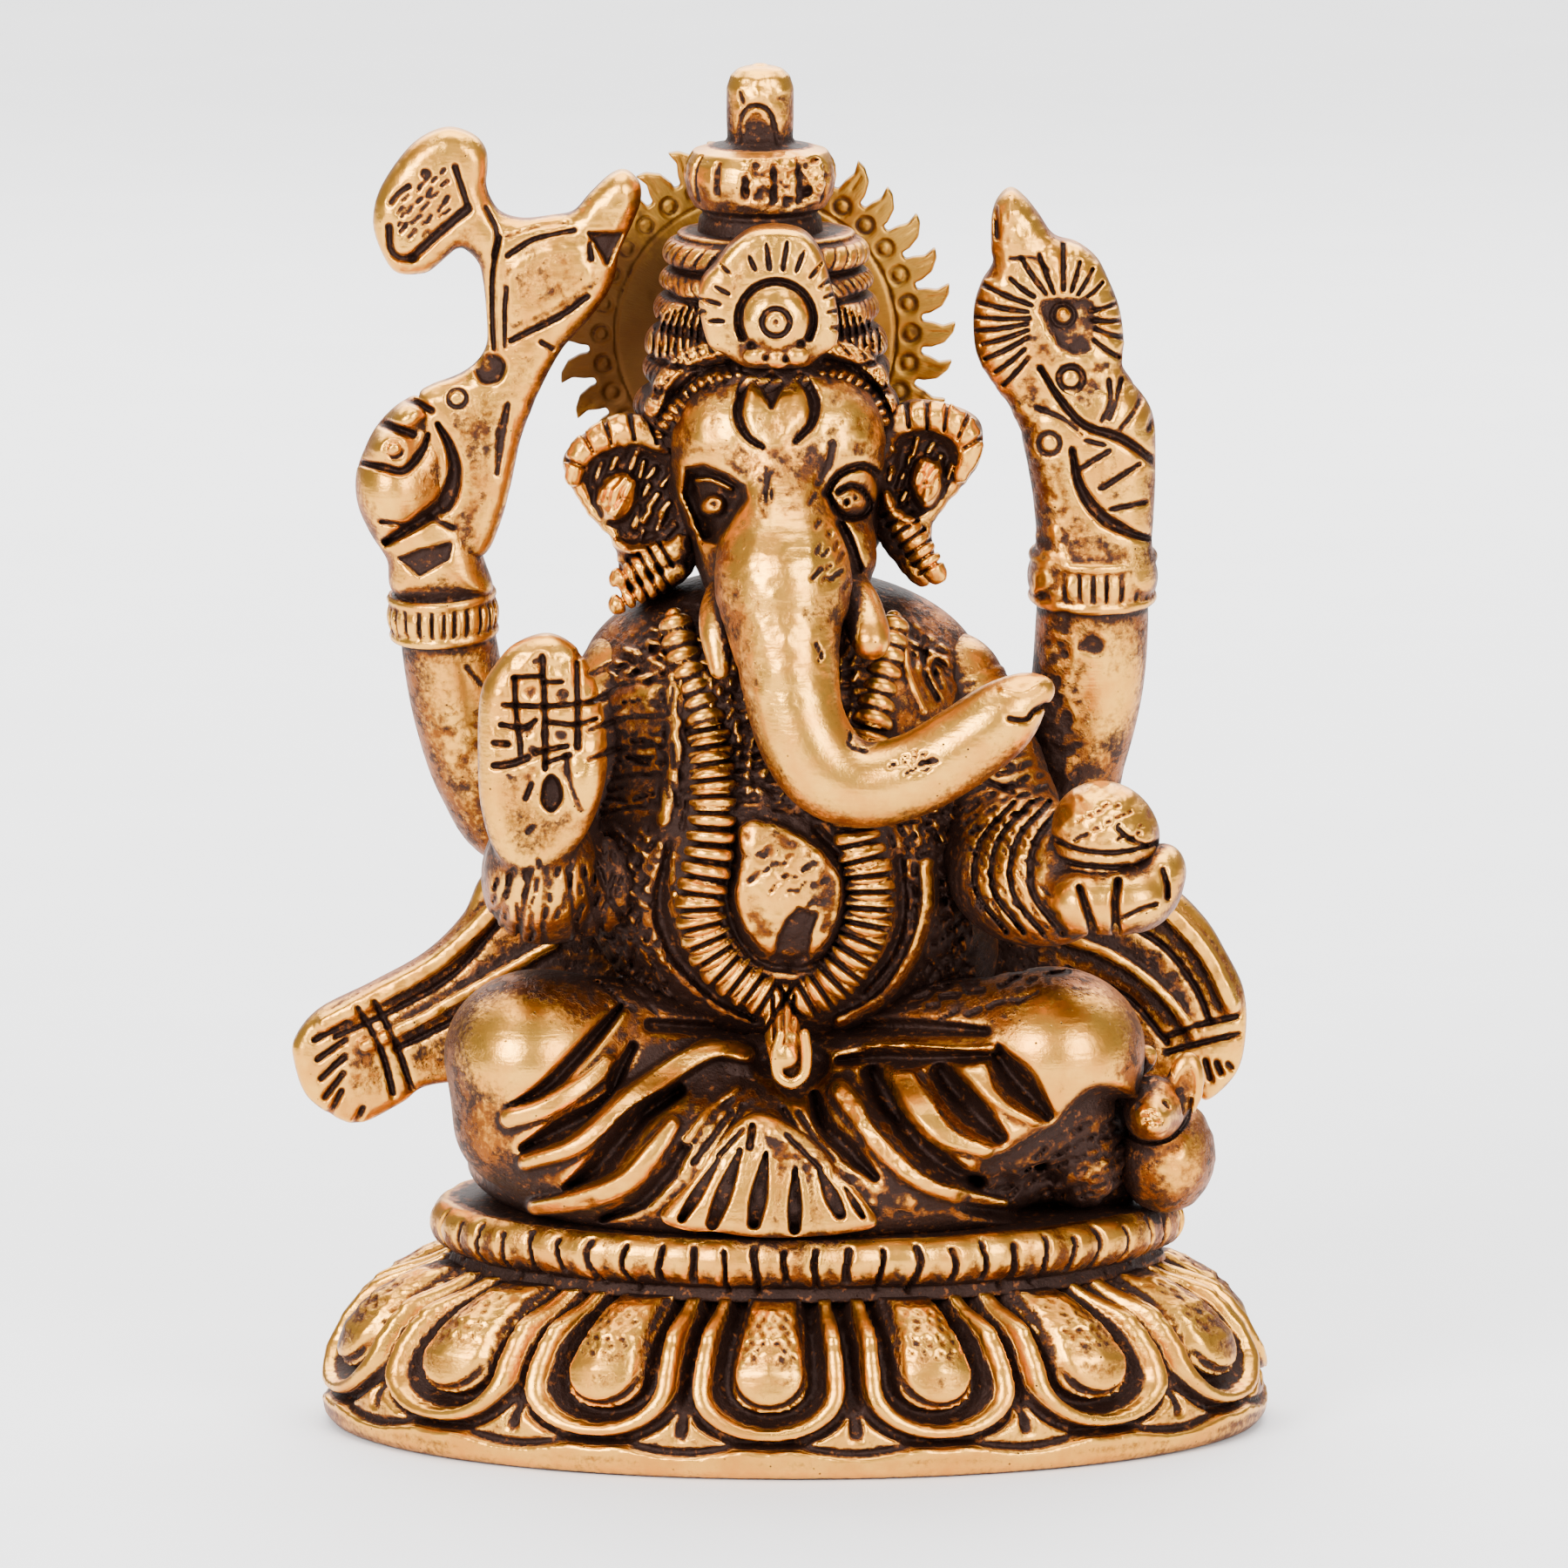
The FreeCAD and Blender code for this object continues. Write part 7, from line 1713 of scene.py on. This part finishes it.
def old_brass(name, pale, warm, dark):
    """Cast brass: lapped bright where it stands proud, with a painted highlight where it faces the front,
    the back or up, coppery on its slopes and darker underneath as painted shade, black in its hollows.
    """
    n = Nodes(name)
    where = n.node("ShaderNodeTexCoord").outputs["Object"]
    fine, mid, broad = n.layer("fine"), n.layer("mid"), n.layer("broad")
    grit = n.noise(2600.0, 4.0, 0.6, where)
    blotch = n.noise(420.0, 4.0, 0.62, where)
    cloud = n.noise(90.0, 3.0, 0.5, where)
    cells = n.node("ShaderNodeTexVoronoi", {"Vector": where, "Scale": 1500.0, "Randomness": 1.0})
    speck = cells.outputs["Distance"]
    # which way the surface looks, read for painted light: surfaces facing the front or back, and upward, are
    # painted paler as if lit from there
    normal = n.node("ShaderNodeNewGeometry").outputs["Normal"]
    facing = n.math("ABSOLUTE", n.node("ShaderNodeSeparateXYZ", {0: normal}).outputs["Y"])
    up_facing_painted_light = n.node("ShaderNodeSeparateXYZ", {0: normal}).outputs["Z"]
    # how proud the surface stands: crests and outer surfaces high, grooves low
    proud = n.math("MULTIPLY_ADD", fine, 0.85, 0.0)
    proud = n.plus(proud, mid, -1.5, 0.62)
    proud = n.plus(proud, broad, -1.5, 0.45)
    # the reach layer also carries the painted shade of its places
    proud = n.math("MULTIPLY_ADD", n.layer("reach"), 0.45, proud)
    # polish and painted light: what the wheel reached, plus a painted highlight on surfaces facing the
    # front, the back or up
    worn = n.plus(proud, facing, 0.5, -0.33)
    worn = n.math("MULTIPLY_ADD", n.layer("reach"), 0.65, worn)
    worn = n.plus(worn, up_facing_painted_light, 0.3, -0.05)
    worn = n.plus(worn, blotch, 0.55, -0.28)
    worn = n.plus(worn, grit, 0.6, -0.3)
    polish_and_painted_light = n.step(worn, 0.08, 0.46)
    # grime and painted shade: what fills the hollows, painted shade on surfaces facing down and from the
    # reach layer's places, a broken film over the unpolished parts, and the casting's pits
    sunk = n.plus(proud, blotch, 0.45, -0.22)
    sunk = n.plus(sunk, grit, 0.4, -0.2)
    sunk = n.math("MULTIPLY_ADD", up_facing_painted_light, 0.14, sunk)
    grime_and_shade = n.step(sunk, 0.12, -0.12)
    unpolished = n.math("MULTIPLY_ADD", polish_and_painted_light, -1.15, 0.95, clamp=True)
    film = n.math("MULTIPLY", n.step(n.noise(620.0, 5.0, 0.7, where), 0.46, 0.58), unpolished)
    grime_and_shade = n.math("MAXIMUM", grime_and_shade, n.math("MULTIPLY", film, n.step(sunk, 0.5, 0.1)))
    pits = n.math("MULTIPLY", n.step(speck, 0.16, 0.06), n.step(n.noise(700.0, 2.0, 0.5, where), 0.5, 0.62))
    grime_and_shade = n.math("MAXIMUM", grime_and_shade, pits)
    # colour: copper brown, gold over it where lapped and where the painted highlight falls, and the black
    # crust over both
    body = n.mix(n.step(cloud, 0.35, 0.7), warm[0], warm[1])
    body = n.mix(n.math("MULTIPLY", n.step(grit, 0.5, 0.72), 0.45), body, warm[2])
    bright = n.mix(n.step(blotch, 0.35, 0.7), pale[0], pale[1])
    tone = n.mix(polish_and_painted_light, body, bright)
    crust = n.mix(n.step(n.noise(1700.0, 3.0, 0.6, where), 0.58, 0.7), dark[0], dark[1])
    tone = n.mix(grime_and_shade, tone, crust)
    # finish: smooth where lapped, dull and rough where crusted
    rough = n.math("MULTIPLY_ADD", polish_and_painted_light, -0.14, 0.44)
    rough = n.plus(rough, blotch, 0.2, -0.1)
    rough = n.math("MULTIPLY_ADD", grime_and_shade, 0.16, rough)
    metal_share = n.math("MULTIPLY_ADD", grime_and_shade, -0.35, 1.0)
    relief = n.math("ADD", n.math("MULTIPLY", grit, 0.5), n.math("MULTIPLY", blotch, 0.6))
    relief = n.math("MULTIPLY_ADD", pits, -0.6, relief)
    relief = n.math("MULTIPLY", relief, n.math("MULTIPLY_ADD", polish_and_painted_light, -0.55, 1.0))
    relief = n.math("MULTIPLY", relief, n.math("MULTIPLY_ADD", grime_and_shade, 1.2, 1.0))
    scratch = n.noise(900.0, 2.0, 0.5, n.stretched(where, (0.35, 1.0, 3.2)))
    relief = n.math("MULTIPLY_ADD", scratch, 0.25, relief)
    bumped = n.node("ShaderNodeBump", {"Height": relief, "Strength": 0.55, "Distance": 0.00022}).outputs[0]
    shader = n.node("ShaderNodeBsdfPrincipled", {"Base Color": tone, "Metallic": metal_share,
                                                 "Roughness": rough, "Normal": bumped})
    n.node("ShaderNodeOutputMaterial", {"Surface": shader.outputs[0]})
    return n.material


def brushed_brass(name):
    """Sheet brass for the halo: brushed outwards from its middle, dark in its scribed lines."""
    n = Nodes(name)
    where = n.node("ShaderNodeTexCoord").outputs["Object"]
    fine = n.layer("fine")
    split = n.node("ShaderNodeSeparateXYZ", {0: where})
    px = n.math("SUBTRACT", split.outputs["X"], (HALO_X + SHIFT) * MM)
    pz = n.math("SUBTRACT", split.outputs["Z"], HALO_Z * MM)
    turn = n.math("ARCTAN2", px, pz)
    radius = n.math("SQRT", n.math("ADD", n.math("MULTIPLY", px, px), n.math("MULTIPLY", pz, pz)))
    polar = n.node("ShaderNodeCombineXYZ", {"X": n.math("MULTIPLY", turn, 60.0),
                                            "Y": n.math("MULTIPLY", radius, 900.0)}).outputs[0]
    hairs = n.noise(1.6, 4.0, 0.7, polar)
    cloud = n.noise(160.0, 4.0, 0.6, where)
    blotch = n.noise(500.0, 4.0, 0.65, where)
    spots = n.step(n.noise(380.0, 3.0, 0.6, where), 0.64, 0.72)
    tone = n.mix(hairs, colour(122, 80, 22), colour(210, 160, 66))
    tone = n.mix(n.step(cloud, 0.3, 0.75), tone, colour(164, 110, 36))
    # dirt and painted shade: dirt in the scribed lines and in spots, painted shade near the crown where
    # metal crowds round, and where the wheel missed together with the painted shadow on the halo's left part
    dirt_and_shade = n.step(n.plus(fine, blotch, 0.5, -0.28), 0.0, -0.22)
    dirt_and_shade = n.math("MAXIMUM", dirt_and_shade, n.math("MULTIPLY", spots, 0.75))
    shade = n.math("ADD", n.layer("broad"), n.math("MULTIPLY_ADD", blotch, 0.5, -0.25))
    dirt_and_shade = n.math("MAXIMUM", dirt_and_shade, n.math("MULTIPLY", n.step(shade, 0.3, 0.62), 0.7))
    missed_and_shadowed = n.math("ADD", n.layer("reach"), n.math("MULTIPLY_ADD", blotch, 0.7, -0.35))
    dirt_and_shade = n.math("MAXIMUM", dirt_and_shade, n.math("MULTIPLY", n.step(missed_and_shadowed, 0.0, -0.4), 0.8))
    tone = n.mix(dirt_and_shade, tone, colour(66, 34, 10))
    rough = n.math("MULTIPLY_ADD", hairs, 0.2, 0.26)
    rough = n.math("MULTIPLY_ADD", dirt_and_shade, 0.25, rough)
    relief = n.math("MULTIPLY_ADD", hairs, 0.6, n.math("MULTIPLY", blotch, 0.5))
    bumped = n.node("ShaderNodeBump", {"Height": relief, "Strength": 0.4, "Distance": 0.00012}).outputs[0]
    shader = n.node("ShaderNodeBsdfPrincipled", {"Base Color": tone, "Roughness": rough, "Normal": bumped,
                                                 "Metallic": n.math("MULTIPLY_ADD", dirt_and_shade, -0.3, 1.0)})
    n.node("ShaderNodeOutputMaterial", {"Surface": shader.outputs[0]})
    return n.material


def plain_metal(name, low, high, rough):
    """Turned metal with fine scratches and a little tarnish, for the fixings."""
    n = Nodes(name)
    where = n.node("ShaderNodeTexCoord").outputs["Object"]
    scratch = n.noise(1400.0, 3.0, 0.6, n.stretched(where, (1.0, 1.0, 4.0)))
    stain = n.noise(500.0, 4.0, 0.6, where)
    tone = n.mix(n.math("MULTIPLY_ADD", scratch, 0.5, n.math("MULTIPLY", stain, 0.5)), low, high)
    bumped = n.node("ShaderNodeBump", {"Height": scratch, "Strength": 0.3, "Distance": 0.0001}).outputs[0]
    shader = n.node("ShaderNodeBsdfPrincipled", {"Base Color": tone, "Metallic": 1.0, "Normal": bumped,
                                                 "Roughness": n.math("MULTIPLY_ADD", stain, 0.25, rough)})
    n.node("ShaderNodeOutputMaterial", {"Surface": shader.outputs[0]})
    return n.material


gold = old_brass("cast_gold_brass",
                 (colour(238, 171, 64), colour(222, 148, 50)),
                 (colour(142, 78, 24), colour(92, 46, 14), colour(190, 122, 48)),
                 (colour(38, 15, 4), colour(112, 60, 20)))
sheet_brass = brushed_brass("halo_sheet_brass")
steel = plain_metal("fixing_steel", colour(96, 92, 86), colour(176, 172, 164), 0.3)
rivet_brass = plain_metal("rivet_brass", colour(126, 90, 36), colour(206, 164, 84), 0.3)

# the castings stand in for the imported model's nodes; the fixings keep theirs and get a finish
for name, thing in made.items():
    thing.data.materials.append(sheet_brass if name == "halo_disc" else gold)
    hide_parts(name)
    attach(thing, "root")

for name, finish in (("base_screw", steel), ("base_washer", steel), ("halo_rivet", rivet_brass)):
    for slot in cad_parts[name].material_slots:
        slot.material = finish


# ---------------------------------------------------------------- floor, light and camera

def studio_floor():
    """The white paper that the idol stands on."""
    n = Nodes("studio_paper")
    where = n.node("ShaderNodeTexCoord").outputs["Object"]
    grain = n.noise(60.0, 3.0, 0.5, where)
    tone = n.mix(grain, colour(240, 240, 241), colour(247, 247, 248))
    shader = n.node("ShaderNodeBsdfPrincipled", {"Base Color": tone, "Roughness": 0.85})
    n.node("ShaderNodeOutputMaterial", {"Surface": shader.outputs[0]})
    mesh = bpy.data.meshes.new("studio_floor")
    half = 1.4
    mesh.from_pydata([(-half, -half, 0), (half, -half, 0), (half, half, 0), (-half, half, 0)], [],
                     [(0, 1, 2, 3)])
    thing = bpy.data.objects.new("studio_floor", mesh)
    thing.location.z = -0.0001
    bpy.context.scene.collection.objects.link(thing)
    mesh.materials.append(n.material)


def light(name, place, aim, size, power):
    """A white rectangular softbox; size in metres, power in watts."""
    lamp = bpy.data.lights.new(name, "AREA")
    lamp.shape = "RECTANGLE"
    lamp.size, lamp.size_y = size
    lamp.energy = power
    thing = bpy.data.objects.new(name, lamp)
    thing.location = place
    thing.rotation_euler = (Vector(aim) - Vector(place)).to_track_quat("-Z", "Y").to_euler()
    bpy.context.scene.collection.objects.link(thing)


def world_light():
    """Even white light from all round."""
    world = bpy.data.worlds.new("studio_air")
    world.use_nodes = True
    tree = world.node_tree
    tree.nodes["Background"].inputs[0].default_value = (1.0, 1.0, 1.0, 1.0)
    tree.nodes["Background"].inputs[1].default_value = 0.42
    bpy.context.scene.world = world


def camera():
    """The photo's view: from the front, looking down a little, with a long lens."""
    cam = bpy.data.cameras.new("photo_camera")
    cam.lens = 400.0
    cam.sensor_width = 36.0
    cam.clip_start = 0.01
    thing = bpy.data.objects.new("photo_camera", cam)
    view_width = 0.103
    distance = view_width * cam.lens / cam.sensor_width
    target = Vector((0.00036, 0.0, 0.0424))
    thing.location = target + distance * Vector((0.0, -math.cos(LOOK_DOWN), math.sin(LOOK_DOWN)))
    thing.rotation_euler = (target - thing.location).to_track_quat("-Z", "Y").to_euler()
    bpy.context.scene.collection.objects.link(thing)
    bpy.context.scene.camera = thing


studio_floor()
world_light()
light("key_softbox", (-0.28, -0.40, 0.26), (0, 0, 0.045), (0.24, 0.26), 4.8)
light("fill_softbox", (0.26, -0.38, 0.22), (0, 0, 0.045), (0.22, 0.3), 2.9)
light("top_softbox", (0.0, 0.05, 0.55), (0, 0, 0.04), (0.5, 0.4), 5.0)
light("back_softbox", (0.0, 0.5, 0.30), (0, 0, 0.05), (0.5, 0.3), 2.0)
light("floor_wash", (0.0, 0.75, 0.7), (0, 0.75, 0.0), (1.6, 0.7), 22.0)
camera()
